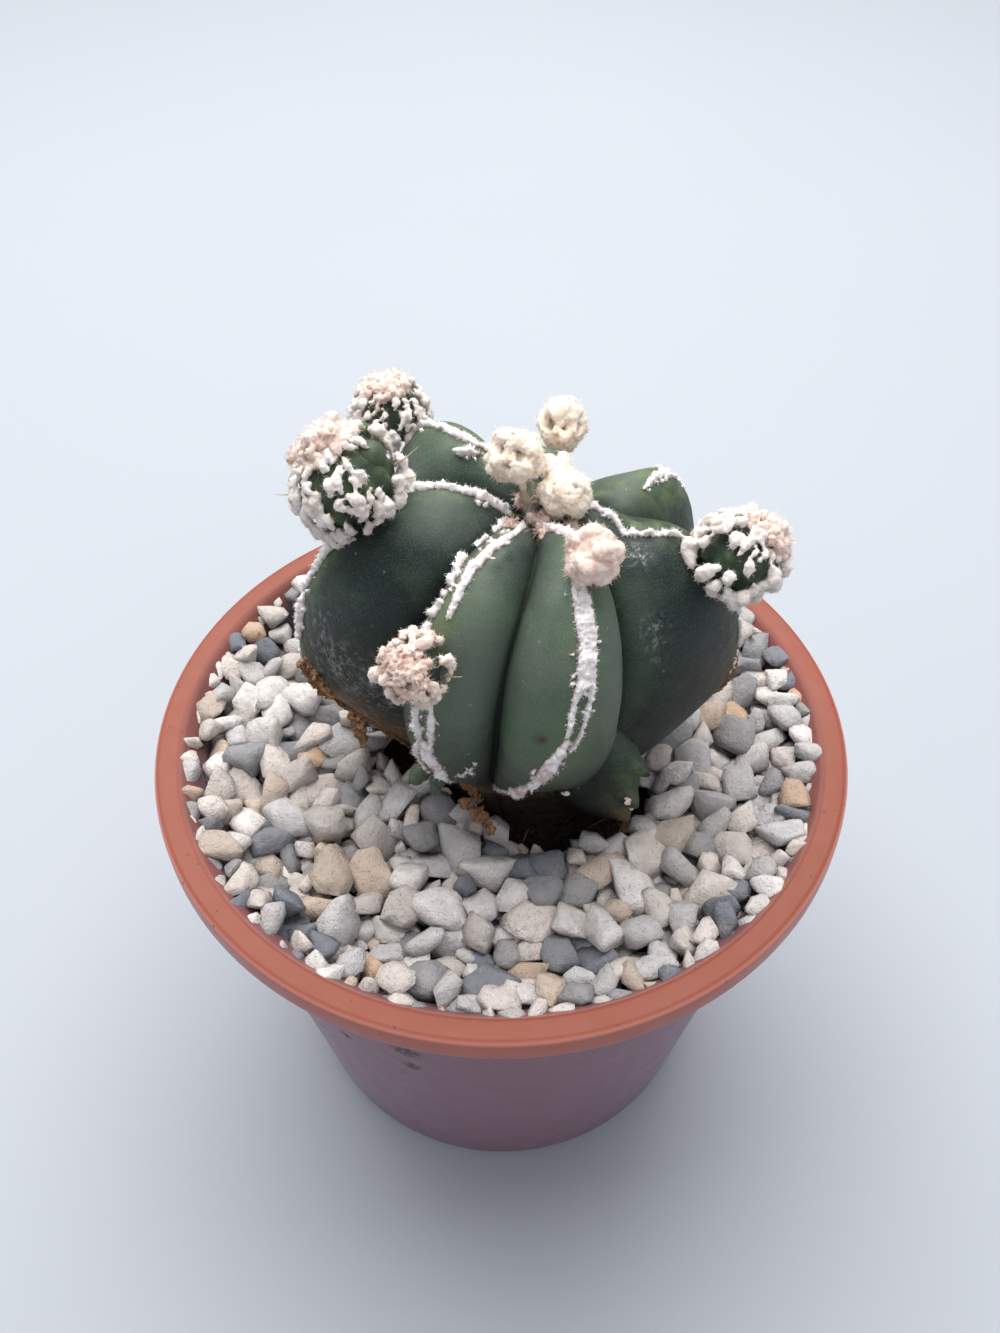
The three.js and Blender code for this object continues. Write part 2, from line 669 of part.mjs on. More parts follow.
// Drops the stones as balls and lets them settle against each other, the wall, the soil and the plant.
function settleStones() {
  const draw = drawer(STONE_SEED + 1);
  const floor = SOIL_TOP + GAP;
  const wall = insideRadius(POT_HEIGHT - LIP_DEPTH) - GAP;
  const stones = [];
  for (let i = 0; i < STONES; i++) {
    const size = STONE_SMALLEST + STONE_SPREAD * draw() ** STONE_SKEW;
    const bearing = 2 * Math.PI * draw();
    const radius = wall * Math.sqrt(draw());
    const z = floor + size + 5 * draw();
    const shape = Math.floor(STONE_SHAPES * draw());
    const yaw = 2 * Math.PI * draw();
    const lean = 2 * Math.PI * draw();
    const tilt = 0.75 * draw();
    stones.push({
      x: radius * Math.cos(bearing),
      y: radius * Math.sin(bearing),
      z,
      size,
      shape,
      yaw,
      lean,
      tilt,
    });
  }
  for (let round = 0; round < SETTLE_ROUNDS; round++) {
    const push = stones.map(() => [0, 0, -SETTLE_FALL]);
    for (let i = 0; i < STONES; i++) {
      for (let j = i + 1; j < STONES; j++) {
        const a = stones[i];
        const b = stones[j];
        const away = [a.x - b.x, a.y - b.y, a.z - b.z];
        const distance = Math.hypot(...away) + 1e-9;
        const overlap = a.size + b.size - distance;
        if (overlap <= 0) continue;
        for (let c = 0; c < 3; c++) {
          const share = (SETTLE_PUSH * overlap * away[c]) / distance;
          push[i][c] += share;
          push[j][c] -= share;
        }
      }
    }
    stones.forEach((stone, i) => {
      stone.x += push[i][0];
      stone.y += push[i][1];
      const halfHeight = STONE_STRETCH[2] * stone.size;
      stone.z = Math.max(stone.z + push[i][2], floor + halfHeight);
      stone.z = Math.min(stone.z, STONE_HIGHEST_TOP - halfHeight);
      for (const disc of BARE) {
        const dx = stone.x - disc.x;
        const dy = stone.y - disc.y;
        const distance = Math.hypot(dx, dy) + 1e-9;
        const short = disc.radius + stone.size - distance;
        if (short > 0) {
          stone.x += (short * dx) / distance;
          stone.y += (short * dy) / distance;
        }
      }
      const reach = Math.hypot(stone.x, stone.y) + 1e-9;
      const limit = wall - 1.05 * stone.size;
      if (reach > limit) {
        stone.x *= limit / reach;
        stone.y *= limit / reach;
      }
    });
  }
  return stones;
}

function stoneSolid(stone, planes) {
  const geometry = new THREE.IcosahedronGeometry(1, 0);
  const position = geometry.attributes.position;
  const turn = new THREE.Quaternion().setFromAxisAngle(
    new THREE.Vector3(Math.cos(stone.lean), Math.sin(stone.lean), 0),
    stone.tilt,
  );
  turn.multiply(new THREE.Quaternion().setFromAxisAngle(new THREE.Vector3(0, 0, 1), stone.yaw));
  for (let i = 0; i < position.count; i++) {
    const p = new THREE.Vector3().fromBufferAttribute(position, i).normalize();
    p.multiplyScalar(stoneReach(planes, p) * stone.size);
    p.multiply(new THREE.Vector3(...STONE_STRETCH));
    p.applyQuaternion(turn);
    position.setXYZ(i, p.x + stone.x, p.y + stone.y, p.z + stone.z);
  }
  return solidOf(geometry);
}

// The stones that show, fused to a bed that stands for those below them.
function makeGravel() {
  const floor = SOIL_TOP + GAP;
  const bedTop = floor + BED_THICKNESS;
  const profile = [
    [0, floor],
    [insideRadius(floor) - GAP, floor],
    [insideRadius(bedTop) - GAP, bedTop],
    [0, bedTop],
  ];
  const shapes = stoneShapes();
  const shown = settleStones().filter((stone) => stone.z + stone.size > STONE_VISIBLE_TOP);
  const solids = shown.map((stone) => stoneSolid(stone, shapes[stone.shape]));
  let bed = solidOf(lathe(profile, 40));
  for (const disc of BARE) {
    const hollow = cylinder(disc.radius, floor - 1, bedTop + 1, 24);
    hollow.translate(disc.x, disc.y, 0);
    bed = bed.subtract(solidOf(hollow));
  }
  const stack = solids.reduce((sum, solid) => sum.add(solid), bed);
  const underLip = POT_HEIGHT - LIP_DEPTH;
  const space = [
    [0, floor],
    [insideRadius(floor) - GAP, floor],
    [insideRadius(underLip) - GAP, underLip],
    [insideRadius(underLip) - GAP, POT_HEIGHT],
    [0, POT_HEIGHT],
  ];
  const inside = solidOf(lathe(space, POT_SIDES));
  addPiece("gravel", geometryOf(mainBody(stack.intersect(inside))), FINISH.gravel);
}

function makeChip() {
  const [length, width, height] = CHIP.size;
  const geometry = new THREE.IcosahedronGeometry(1, 0);
  geometry.scale(length / 2, width / 2, height / 2);
  geometry.rotateZ(CHIP.turn);
  geometry.translate(CHIP.at[0], CHIP.at[1], SOIL_TOP + GAP + height / 2);
  addPiece("bark_chip", geometry, FINISH.bark);
}

function makeStem() {
  const body = solidOf(stemBody());
  const lobe = solidOf(sideLobe());
  const stem = mainBody(body.add(lobe));
  addPiece("stem", geometryOf(stem), FINISH.skin);
}

// A point beside a ridge, at a distance round the rib from it, with the way out of the stem there.
function besideRidge(ribName, v, shift) {
  const side = shift < 0 ? -1 : 1;
  const curve = flankCurve(ribName, side, v);
  const ridge = lineFrame(RIBS[ribName], v);
  const steps = 60;
  let walked = 0;
  let here = curve.getPoint(0);
  for (let i = 1; i <= steps && walked < Math.abs(shift); i++) {
    const next = curve.getPoint(i / steps);
    walked += next.distanceTo(here);
    here = next;
  }
  const core = ridge.point.clone().addScaledVector(ridge.out, -FELT_CORE_DEPTH);
  const out = here.clone().sub(core).normalize();
  return { point: here, out };
}

// A band of felt: a low rounded section carried along the ridge, just clear of the skin.
function feltBand(band) {
  const steps = Math.max(3, Math.round((band.to - band.from) * STEM_ROWS * 1.3));
  const across = [-0.5, -0.32, 0, 0.32, 0.5];
  const raise = [0.35, 0.9, 1, 0.9, 0.35];
  const rings = [];
  for (let i = 0; i <= steps; i++) {
    const v = band.from + ((band.to - band.from) * i) / steps;
    const taper = Math.min(1, 0.45 + 2 * Math.min(i, steps - i) / steps);
    const over = [];
    const under = [];
    across.forEach((share, k) => {
      const { point, out } = besideRidge(band.rib, v, band.shift + share * band.width * taper);
      over.push(point.clone().addScaledVector(out, GAP + FELT_HEIGHT * raise[k] * taper));
      if (k % 2 === 0) under.push(point.clone().addScaledVector(out, GAP));
    });
    rings.push([...over, ...under.reverse()]);
  }
  const middle = (ring) => ring.reduce((sum, p) => sum.add(p), new THREE.Vector3()).divideScalar(ring.length);
  return loftRings(rings, middle(rings[0]), middle(rings[steps]));
}

// Space kept free round each offset and bud, so that the felt beside them ends clear of their wool.
function clearances() {
  const offsets = OFFSETS.map((head) => ballAt(overRim(head.at), head.radius + TUFT.thickness + GAP));
  const buds = BUDS.map((bud) => ballAt(overRim(bud.at), bud.radius * BUD_SWELL + GAP));
  return [...offsets, ...buds];
}

function makeFelt() {
  const seat = solidOf(movedOut(stemBody(), 0.6 * GAP));
  for (const band of FELT) {
    let solid = solidOf(feltBand(band)).subtract(seat);
    for (const space of clearances()) solid = solid.subtract(space);
    addPiece(band.name, geometryOf(mainBody(solid)), FINISH.felt);
  }
}

// A woolly head: a green ball set with drooping tufts, and a cap of wool on its own crown.
function makeOffset(head, seat) {
  const draw = drawer(head.seed);
  const core = head.radius * CORE_SHARE;
  let ball = solidOf(lumpyBall(core, 12, 0.16, head.seed, 12, 9));
  const capLimit = THREE.MathUtils.degToRad(CAP_ANGLE + 14);
  for (let i = 0; i < head.tufts; i++) {
    const share = (i + 0.5) / head.tufts;
    const polar = capLimit + share * (LOWEST_TUFT - capLimit);
    const turn = i * Math.PI * (3 - Math.sqrt(5)) + 0.3 * draw();
    const way = new THREE.Vector3().setFromSphericalCoords(1, polar, turn);
    way.set(way.x, -way.z, way.y);
    const size = (head.radius / TUFT.onRadius) * (0.8 + 0.35 * draw());
    ball = ball.add(solidOf(tuftAt(way, core * (1 - TUFT.sink * draw()), size)));
  }
  const place = new THREE.Matrix4().compose(
    overRim(head.at),
    turnTo(head.facing),
    new THREE.Vector3(1, 1, 1),
  );
  const placed = solidOf(geometryOf(ball).applyMatrix4(place)).subtract(seat);
  addPiece(head.name, geometryOf(mainBody(placed)), FINISH.offset);
  makeCap(head, place, ball);
}

// The cap: a lumpy cushion over the head's crown, cut a gap clear of the ball and its tufts.
function makeCap(head, place, ball) {
  const core = head.radius * CORE_SHARE;
  const width = head.radius * Math.sin(THREE.MathUtils.degToRad(CAP_ANGLE));
  const cushion = lumpyBall(1, 9, 0.2, head.seed + 1, 12, 8);
  cushion.scale(width, width, head.radius * CAP_HEIGHT_SHARE);
  cushion.translate(0, 0, core * 0.86);
  const far = ball.scale((core + 1.5 * GAP) / core);
  const near = ball.scale((core + 0.5 * GAP) / core);
  const cap = mainBody(solidOf(cushion).subtract(far).subtract(near));
  addPiece(head.name + "_crown", geometryOf(cap).applyMatrix4(place), FINISH.blush);
}

function makeOffsets(seat) {
  for (const head of OFFSETS) makeOffset(head, seat);
}

function makeBud(bud, seat) {
  const centre = overRim(bud.at);
  const foot = overRim(bud.foot);
  const ball = lumpyBall(bud.radius, BUD_LUMPS, 0.14, bud.seed, 12, 9);
  ball.translate(centre.x, centre.y, centre.z);
  const stalkWay = centre.clone().sub(foot);
  const stalk = cylinder(BUD_STALK_RADIUS, 0, stalkWay.length(), 7);
  stalk.applyQuaternion(turnTo(stalkWay.toArray()));
  stalk.translate(foot.x, foot.y, foot.z);
  const solid = solidOf(ball).add(solidOf(stalk)).subtract(seat);
  addPiece(bud.name, geometryOf(mainBody(solid)), FINISH.bud);
}

// Wool in the sunken crown, cut clear of the stem, of the buds that stand in it and of the felt.
function makeCrownWool(seat) {
  const wool = lumpyBall(1, CROWN_WOOL.lumps, 0.22, CROWN_WOOL.seed, 10, 6);
  wool.scale(CROWN_WOOL.radius, CROWN_WOOL.radius, CROWN_WOOL.thickness);
  wool.translate(CROWN_WOOL.at[0], CROWN_WOOL.at[1], POT_HEIGHT + CROWN_WOOL.at[2]);
  let solid = solidOf(wool).subtract(seat);
  for (const bud of BUDS) {
    const foot = overRim(bud.foot);
    const way = overRim(bud.at).sub(foot);
    const bore = cylinder(BUD_STALK_RADIUS + GAP, 0, way.length(), 10);
    bore.applyQuaternion(turnTo(way.toArray()));
    bore.translate(foot.x, foot.y, foot.z);
    const room = ballAt(overRim(bud.at), bud.radius * BUD_SWELL + GAP);
    solid = solid.subtract(solidOf(bore)).subtract(room);
  }
  addPiece("crown_wool", geometryOf(mainBody(solid)), FINISH.blush);
}

makePot();
makeSoil();
makeGravel();
makeChip();
makeStem();
makeFelt();
const seat = solidOf(movedOut(stemBody(), GAP));
makeOffsets(seat);
for (const bud of BUDS) makeBud(bud, seat);
makeCrownWool(seat);

export default plant;
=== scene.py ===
"""Looks of a potted bishop's cap cactus: felted ribs, woolly offsets and buds, gravel and a plastic pot."""

import json
import logging
import math
from collections.abc import Sequence
from dataclasses import dataclass, field
from enum import Enum

import bmesh
import bpy
import numpy as np
from mathutils import Matrix, Vector

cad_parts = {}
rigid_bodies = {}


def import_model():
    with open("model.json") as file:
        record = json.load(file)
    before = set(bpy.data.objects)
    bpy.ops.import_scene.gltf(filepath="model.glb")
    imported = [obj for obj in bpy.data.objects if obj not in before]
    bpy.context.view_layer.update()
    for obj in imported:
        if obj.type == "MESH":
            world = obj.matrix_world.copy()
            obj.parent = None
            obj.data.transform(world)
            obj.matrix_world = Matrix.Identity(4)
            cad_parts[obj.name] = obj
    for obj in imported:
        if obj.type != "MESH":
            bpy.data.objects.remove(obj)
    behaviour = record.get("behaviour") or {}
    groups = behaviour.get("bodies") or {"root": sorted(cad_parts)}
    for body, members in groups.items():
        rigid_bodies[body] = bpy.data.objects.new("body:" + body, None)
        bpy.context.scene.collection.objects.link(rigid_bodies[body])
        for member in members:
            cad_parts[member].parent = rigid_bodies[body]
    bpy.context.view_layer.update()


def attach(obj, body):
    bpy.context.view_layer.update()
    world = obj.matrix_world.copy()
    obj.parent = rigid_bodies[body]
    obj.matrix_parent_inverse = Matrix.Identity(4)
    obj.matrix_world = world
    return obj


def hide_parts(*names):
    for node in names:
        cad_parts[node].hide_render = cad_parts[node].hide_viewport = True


LOG = logging.getLogger("potted_cactus")

# Lengths in this file are millimetres; each finished mesh is turned into metres once.
METRES = 0.001
POT_HEIGHT = 66.0
SOIL_TOP = 57.4
GAP = 0.3

# The pot.
LIP_RADIUS = 45.0
LIP_INNER_RADIUS = 42.0
LIP_DEPTH = 3.8
WALL = 1.0
WALL_TOP_RADIUS = 40.4
FOOT_RADIUS = 31.0
FOOT_WIDTH = 1.6
FLOOR_BOTTOM = 1.5
FLOOR_TOP = 2.7
UNDER_LIP = POT_HEIGHT - LIP_DEPTH
WALL_SLOPE = (WALL_TOP_RADIUS - FOOT_RADIUS) / UNDER_LIP

# The stem: its axis, and the form of its flanks.
STEM_X = 3.5
STEM_Y = 0.5
RIDGE_DROP = 0.04
CREASE_SPREAD = 0.1
NECK_RADIUS = 11.4
NECK_BOTTOM = -17.0
ROOT_RADIUS = 9.6

# Each rib's ridge from the crown to the neck: bearing in degrees, radius, height above the pot's rim,
# and how round the ridge is on the side of the smaller and of the larger bearing.
RIBS = {
    "left": (
        (180, 1.8, 34.8, 0.3, 0.3), (180, 5.5, 37.5, 0.3, 0.3), (180, 11, 38.9, 0.3, 0.3),
        (180, 18.5, 35.6, 0.3, 0.3), (180, 25, 27, 0.3, 0.28), (180, 28, 17, 0.25, 0.2),
        (180, 27.6, 9.5, 0.25, 0.12), (180, 24.3, 4, 0.25, 0.05), (179, 19.5, -1, 0.25, 0.05),
        (178, 13, -7, 0.3, 0.3),
    ),
    "frontLeft": (
        (235, 1.8, 35, 0.3, 0.35), (242, 7, 37.6, 0.22, 0.4), (240.5, 12.5, 37.9, 0.2, 0.42),
        (239, 17.5, 35.3, 0.2, 0.42), (238, 20.6, 31, 0.25, 0.42), (239, 22.5, 25, 0.32, 0.42),
        (239.5, 22.6, 18.3, 0.36, 0.42), (239, 20.8, 11, 0.35, 0.4), (238, 15.5, 4.5, 0.3, 0.35),
        (238, 12, -6, 0.3, 0.3),
    ),
    "frontRight": (
        (290, 1.8, 35, 0.35, 0.3), (297, 6.5, 37.5, 0.4, 0.3), (293, 12, 38.3, 0.42, 0.28),
        (288, 17, 35.7, 0.42, 0.28), (285, 20.6, 31.5, 0.42, 0.32), (281.5, 22.6, 25, 0.42, 0.36),
        (277, 22.7, 18, 0.4, 0.4), (269, 20, 10.5, 0.35, 0.4), (264, 14, 4.5, 0.3, 0.35),
        (266, 11.5, -6, 0.3, 0.3),
    ),
    "right": (
        (352, 1.8, 35, 0.3, 0.3), (352, 6.5, 36.9, 0.3, 0.3), (352, 11, 35.2, 0.3, 0.3),
        (352, 16.3, 34.2, 0.3, 0.3), (353, 21.5, 30, 0.26, 0.3), (354, 24.5, 22.5, 0.2, 0.3),
        (355, 25.4, 15, 0.12, 0.26), (356, 24.6, 8.8, 0.05, 0.15), (357, 19.6, 4, 0.05, 0.1),
        (357, 12.5, -6, 0.3, 0.3),
    ),
    "backRight": (
        (400, 1.8, 34.5, 0.3, 0.25), (398, 6, 34.2, 0.3, 0.2), (397, 11, 32.9, 0.32, 0.2),
        (397, 16, 32.8, 0.32, 0.22), (398, 21, 31, 0.32, 0.25), (399, 25, 25.5, 0.32, 0.3),
        (400, 26.5, 18, 0.32, 0.32), (400, 25.2, 10, 0.3, 0.3), (400, 20.5, 2.5, 0.3, 0.3),
        (400, 12.5, -6, 0.3, 0.3),
    ),
    "back": (
        (444, 1.8, 34.6, 0.3, 0.3), (444, 6, 35.6, 0.3, 0.3), (444, 11, 34.7, 0.32, 0.32),
        (444, 16, 32.4, 0.34, 0.34), (444, 20.6, 28, 0.34, 0.34), (444, 23.2, 22, 0.34, 0.34),
        (444, 23.8, 15, 0.34, 0.34), (444, 22.5, 8, 0.34, 0.34), (444, 18.5, 1.5, 0.3, 0.3),
        (444, 12.2, -6, 0.3, 0.3),
    ),
    "backLeft": (
        (485, 1.8, 35, 0.3, 0.3), (485, 7, 37.9, 0.3, 0.3), (485, 12.5, 38.2, 0.3, 0.3),
        (485, 18, 36.8, 0.3, 0.3), (485, 22.8, 33, 0.3, 0.3), (485, 25.8, 26, 0.3, 0.3),
        (485, 26.4, 18, 0.3, 0.3), (485, 24.8, 10, 0.3, 0.3), (485, 20, 2.5, 0.3, 0.3),
        (485, 12.7, -6, 0.3, 0.3),
    ),
}

# The crease after each rib, in the same order: bearing, radius, height, and how full the flanks are
# where they meet in it.
CREASES = (
    (
        (212, 1.5, 34.3, 0.4), (222, 5, 34.6, 0.4), (224, 9, 33.6, 0.4), (222, 12, 30.8, 0.4),
        (219, 13.8, 26, 0.42), (216, 14.3, 19, 0.42), (213, 14, 12, 0.38), (211, 13.5, 6, 0.3),
        (210, 12.5, 0, 0.25), (210, 11, -7, 0.2),
    ),
    (
        (278, 1.5, 34.5, 0.4), (276, 5, 35, 0.46), (269, 9.5, 34, 0.48), (263, 13.6, 31, 0.48),
        (259.5, 15.8, 26.5, 0.48), (257.5, 16.7, 20.5, 0.48), (256, 16.7, 13.5, 0.45),
        (253, 15.3, 7.5, 0.35), (252, 12.8, 1, 0.25), (252, 11, -7, 0.2),
    ),
    (
        (322, 1.5, 34.3, 0.4), (322, 5, 34.4, 0.42), (318, 8.5, 33, 0.42), (313, 11.5, 30, 0.42),
        (310, 13.3, 25, 0.42), (308, 14, 18.5, 0.42), (306, 14, 11.5, 0.38), (305, 13.3, 5, 0.3),
        (305, 12.3, -1, 0.25), (305, 11, -7, 0.2),
    ),
    (
        (376, 1.5, 34.2, 0.4), (375, 5, 33.6, 0.42), (374, 9, 31.4, 0.42), (374, 12.5, 28.6, 0.42),
        (375, 14.5, 24, 0.42), (376, 15.2, 17.5, 0.42), (377, 14.8, 11, 0.36), (378, 14, 5, 0.22),
        (378, 12.5, -1, 0.2), (378, 11, -7, 0.2),
    ),
    (
        (420, 1.5, 34.2, 0.4), (420, 5, 33.4, 0.42), (420, 9, 31.2, 0.42), (421, 12.5, 28.2, 0.42),
        (422, 14.2, 23.6, 0.42), (422, 14.8, 17.2, 0.42), (422, 14.4, 11, 0.4), (422, 13.4, 5, 0.3),
        (422, 12.2, -1, 0.25), (422, 11, -7, 0.2),
    ),
    (
        (465, 1.5, 34.2, 0.4), (465, 5, 33.8, 0.42), (465, 9, 32.2, 0.42), (465, 12.4, 29.4, 0.42),
        (465, 14.2, 24.6, 0.42), (465, 14.8, 18.2, 0.42), (465, 14.4, 11.5, 0.4), (465, 13.4, 5, 0.3),
        (465, 12.2, -1, 0.25), (465, 11, -7, 0.2),
    ),
    (
        (513, 1.5, 34.3, 0.4), (513, 5, 34.6, 0.42), (513, 9, 33.6, 0.42), (513, 12.4, 30.6, 0.42),
        (513, 14.2, 25.8, 0.42), (513, 14.8, 19, 0.42), (513, 14.5, 12, 0.4), (513, 13.6, 6, 0.3),
        (513, 12.5, 0, 0.25), (513, 11, -7, 0.2),
    ),
)

RIB_NAMES = tuple(RIBS)
Place = tuple[float, float, float]

# The two ends of a ball of radius one.
POLES = np.array([[0, 0, 1.0], [0, 0, -1.0]])


class Slot(Enum):
    """The record's material slots."""

    POT = "pot_plastic"
    SOIL = "soil"
    GRAVEL = "gravel"
    BARK = "bark"
    SKIN = "skin"
    FELT = "felt"
    OFFSET = "offset"
    BLUSH = "blush_wool"
    BUD = "bud_wool"


class Socket(Enum):
    """Kinds of sockets that the node groups here take and give."""

    NUMBER = "NodeSocketFloat"
    WHOLE = "NodeSocketInt"
    VECTOR = "NodeSocketVector"
    GEOMETRY = "NodeSocketGeometry"
    OBJECT = "NodeSocketObject"
    COLLECTION = "NodeSocketCollection"
    MATERIAL = "NodeSocketMaterial"


Colour = tuple[float, float, float]


def over_rim(x: float, y: float, height: float) -> np.ndarray:
    """A point given by its height above the pot's rim."""
    return np.array([x, y, POT_HEIGHT + height], dtype=float)


def unit(vectors: np.ndarray) -> np.ndarray:
    """The vectors with a length of one."""
    lengths = np.linalg.norm(vectors, axis=-1, keepdims=True)
    return vectors / np.maximum(lengths, 1e-12)


def golden_turn(place: object) -> object:
    """The turn in radians of a place, or of several, on a golden-angle spiral."""
    return place * math.pi * (3 - math.sqrt(5))


def round_turns(count: int) -> np.ndarray:
    """Evenly spaced angles round a circle, in radians."""
    return np.linspace(0, 2 * math.pi, count, endpoint=False)


def ball_rings(rows: int, sides: int) -> np.ndarray:
    """A ball of radius one without its poles, by row from +Z down and by place round the row.

    Args:
        rows: How many rows there are.
        sides: How many points a row has.

    Returns:
        The points.
    """
    polar = np.linspace(0, math.pi, rows + 2)[1:-1, None]
    turn = round_turns(sides)[None]
    across, along = np.sin(polar) * np.cos(turn), np.sin(polar) * np.sin(turn)
    return np.stack([across, along, np.cos(polar) + 0 * turn], axis=2)


def ball_way(polar: float, turn: float) -> np.ndarray:
    """The way to a point of a ball, from its angle off +Z and its turn round it."""
    return np.array([math.sin(polar) * math.cos(turn), math.sin(polar) * math.sin(turn), math.cos(polar)])


def spiral_ways(count: int) -> np.ndarray:
    """Evenly spread directions on a golden-angle spiral, from +Z down to -Z.

    Args:
        count: How many there are.

    Returns:
        The directions.
    """
    i = np.arange(count)
    z = 1 - (2 * i + 1) / count
    turn = golden_turn(i)
    flat = np.sqrt(1 - z * z)
    return np.stack([flat * np.cos(turn), flat * np.sin(turn), z], axis=1)


def nearness(points: np.ndarray, place: Sequence[float], reach: float) -> np.ndarray:
    """How near points are to a place: one on it, and falling off smoothly over its reach."""
    away = np.linalg.norm(points - np.array(place), axis=1)
    return np.exp(-((away / reach) ** 2))


def ramp(values: np.ndarray, start: float, run: float, most: float = 1.0) -> np.ndarray:
    """Rises from 0 at the start, by 1 over the run, to the most."""
    return np.clip((values - start) / run, 0, most)


def lattice_value(cells: np.ndarray, seed: int) -> np.ndarray:
    """A repeatable number from -1 to 1 for each whole-number cell.

    Args:
        cells: The cells' whole numbers, in the last axis.
        seed: Chooses the pattern.

    Returns:
        One number for each cell.
    """
    mask = np.int64(0xFFFFFFFF)
    x, y, z = (cells[..., c].astype(np.int64) & mask for c in range(3))
    mixed = (x * 73856093) ^ (y * 19349663) ^ (z * 83492791) ^ np.int64(seed * 40503 + 977)
    mixed = mixed & mask
    mixed = ((mixed ^ (mixed >> 13)) * 1274126177) & mask
    mixed = ((mixed ^ (mixed >> 15)) * 668265263) & mask
    return (mixed >> 8) / float(0x7FFFFF) - 1.0


def cloud(points: np.ndarray, size: float, seed: int, layers: int = 2) -> np.ndarray:
    """Smooth noise from about -1 to 1.

    Args:
        points: Places in millimetres, in the last axis.
        size: Size of the largest blotches.
        seed: Chooses the pattern.
        layers: How many finer layers are added, each half the size.

    Returns:
        One number for each point.
    """
    total = np.zeros(points.shape[:-1])
    weight = 1.0
    whole = 0.0
    for layer in range(layers):
        place = points / (size / 2**layer) + 17.3 * layer
        cell = np.floor(place)
        part = place - cell
        part = part * part * (3 - 2 * part)
        value = np.zeros(points.shape[:-1])
        for corner in range(8):
            step = np.array([corner & 1, corner >> 1 & 1, corner >> 2 & 1])
            share = np.prod(np.where(step == 1, part, 1 - part), axis=-1)
            value += share * lattice_value(cell + step, seed + 31 * layer)
        total += weight * value
        whole += weight
        weight *= 0.5
    return total / whole


def loft(rings: np.ndarray, first_pole: np.ndarray, last_pole: np.ndarray) -> tuple[np.ndarray, list]:
    """Joins rings of points with quads and closes both ends with a point.

    Args:
        rings: Points by row and by place round the row.
        first_pole: The point that closes the first row.
        last_pole: The point that closes the last row.

    Returns:
        The points and the faces.
    """
    rows, sides, _ = rings.shape
    points = np.concatenate([rings.reshape(-1, 3), first_pole[None], last_pole[None]])
    first = rows * sides
    last = first + 1
    faces = []
    for i in range(sides):
        j = (i + 1) % sides
        end = (rows - 1) * sides
        faces.append((first, i, j))
        faces.append((last, end + j, end + i))
        for row in range(rows - 1):
            a = row * sides
            b = a + sides
            faces.append((a + i, b + i, b + j, a + j))
    return points, faces


def mesh_object(name: str, points: np.ndarray, faces: Sequence, smooth: bool = True) -> bpy.types.Object:
    """A new object in the scene from points in millimetres. Its mesh stays in millimetres.

    Args:
        name: Its name.
        points: Its points.
        faces: The point numbers of each face.
        smooth: Whether its faces are shaded smooth.

    Returns:
        The object.
    """
    mesh = bpy.data.meshes.new(name)
    mesh.from_pydata(points.tolist(), [], faces)
    if smooth:
        mesh.shade_smooth()
    mesh.validate()
    made = bpy.data.objects.new(name, mesh)
    bpy.context.scene.collection.objects.link(made)
    return made


def set_attribute(mesh: bpy.types.Mesh, name: str, values: np.ndarray) -> None:
    """Stores one number for each vertex under a name that the materials read."""
    layer = mesh.attributes.new(name, "FLOAT", "POINT")
    layer.data.foreach_set("value", np.asarray(values, dtype=np.float32))


def set_skin(mesh: bpy.types.Mesh, **values: float | np.ndarray) -> None:
    """Stores what the green skin is coloured by: the numbers that are given, and zero for the others.

    Args:
        mesh: The mesh of the skin.
        values: Numbers by name, for all points or for each.
    """
    for name in ("ridge", "crease", "tan", "lit", "dust", "pit"):
        set_attribute(mesh, name, np.full(len(mesh.vertices), values.get(name, 0.0)))


def read_vectors(items: bpy.types.bpy_prop_collection, name: str) -> np.ndarray:
    """A vector of each of a mesh's items.

    Args:
        items: The items, such as its vertices.
        name: What the vector is called there.

    Returns:
        The vectors.
    """
    flat = np.empty(len(items) * 3, dtype=np.float32)
    items.foreach_get(name, flat)
    return flat.reshape(-1, 3).astype(float)


def mesh_points(mesh: bpy.types.Mesh) -> np.ndarray:
    """The places of a mesh's vertices."""
    return read_vectors(mesh.vertices, "co")


def mesh_normals(mesh: bpy.types.Mesh) -> np.ndarray:
    """The normals of a mesh's vertices."""
    return read_vectors(mesh.vertex_normals, "vector")


def move_points(mesh: bpy.types.Mesh, points: np.ndarray) -> None:
    """Puts a mesh's vertices at new places."""
    mesh.vertices.foreach_set("co", points.astype(np.float32).reshape(-1))
    mesh.update()


def push_out(mesh: bpy.types.Mesh, move: np.ndarray) -> None:
    """Moves each of a mesh's vertices out along its normal."""
    move_points(mesh, mesh_points(mesh) + mesh_normals(mesh) * move[:, None])


class Shapes:
    """Closed shapes that become one mesh."""

    def __init__(self) -> None:
        """Starts with none."""
        self.points: list = []
        self.faces: list = []

    def add(self, points: np.ndarray, faces: Sequence) -> None:
        """Adds one shape."""
        self.faces += [tuple(i + len(self.points) for i in face) for face in faces]
        self.points += points.tolist()

    def made(self, name: str) -> bpy.types.Object:
        """The new object of them all."""
        return mesh_object(name, np.array(self.points), self.faces)


def settle_modifiers(piece: bpy.types.Object) -> None:
    """Turns a piece and its modifiers into one plain mesh.

    Args:
        piece: The object that is changed.
    """
    graph = bpy.context.evaluated_depsgraph_get()
    evaluated = piece.evaluated_get(graph)
    mesh = bpy.data.meshes.new_from_object(evaluated, preserve_all_data_layers=True, depsgraph=graph)
    piece.modifiers.clear()
    old = piece.data
    piece.data = mesh
    bpy.data.meshes.remove(old)
    mesh.name = piece.name


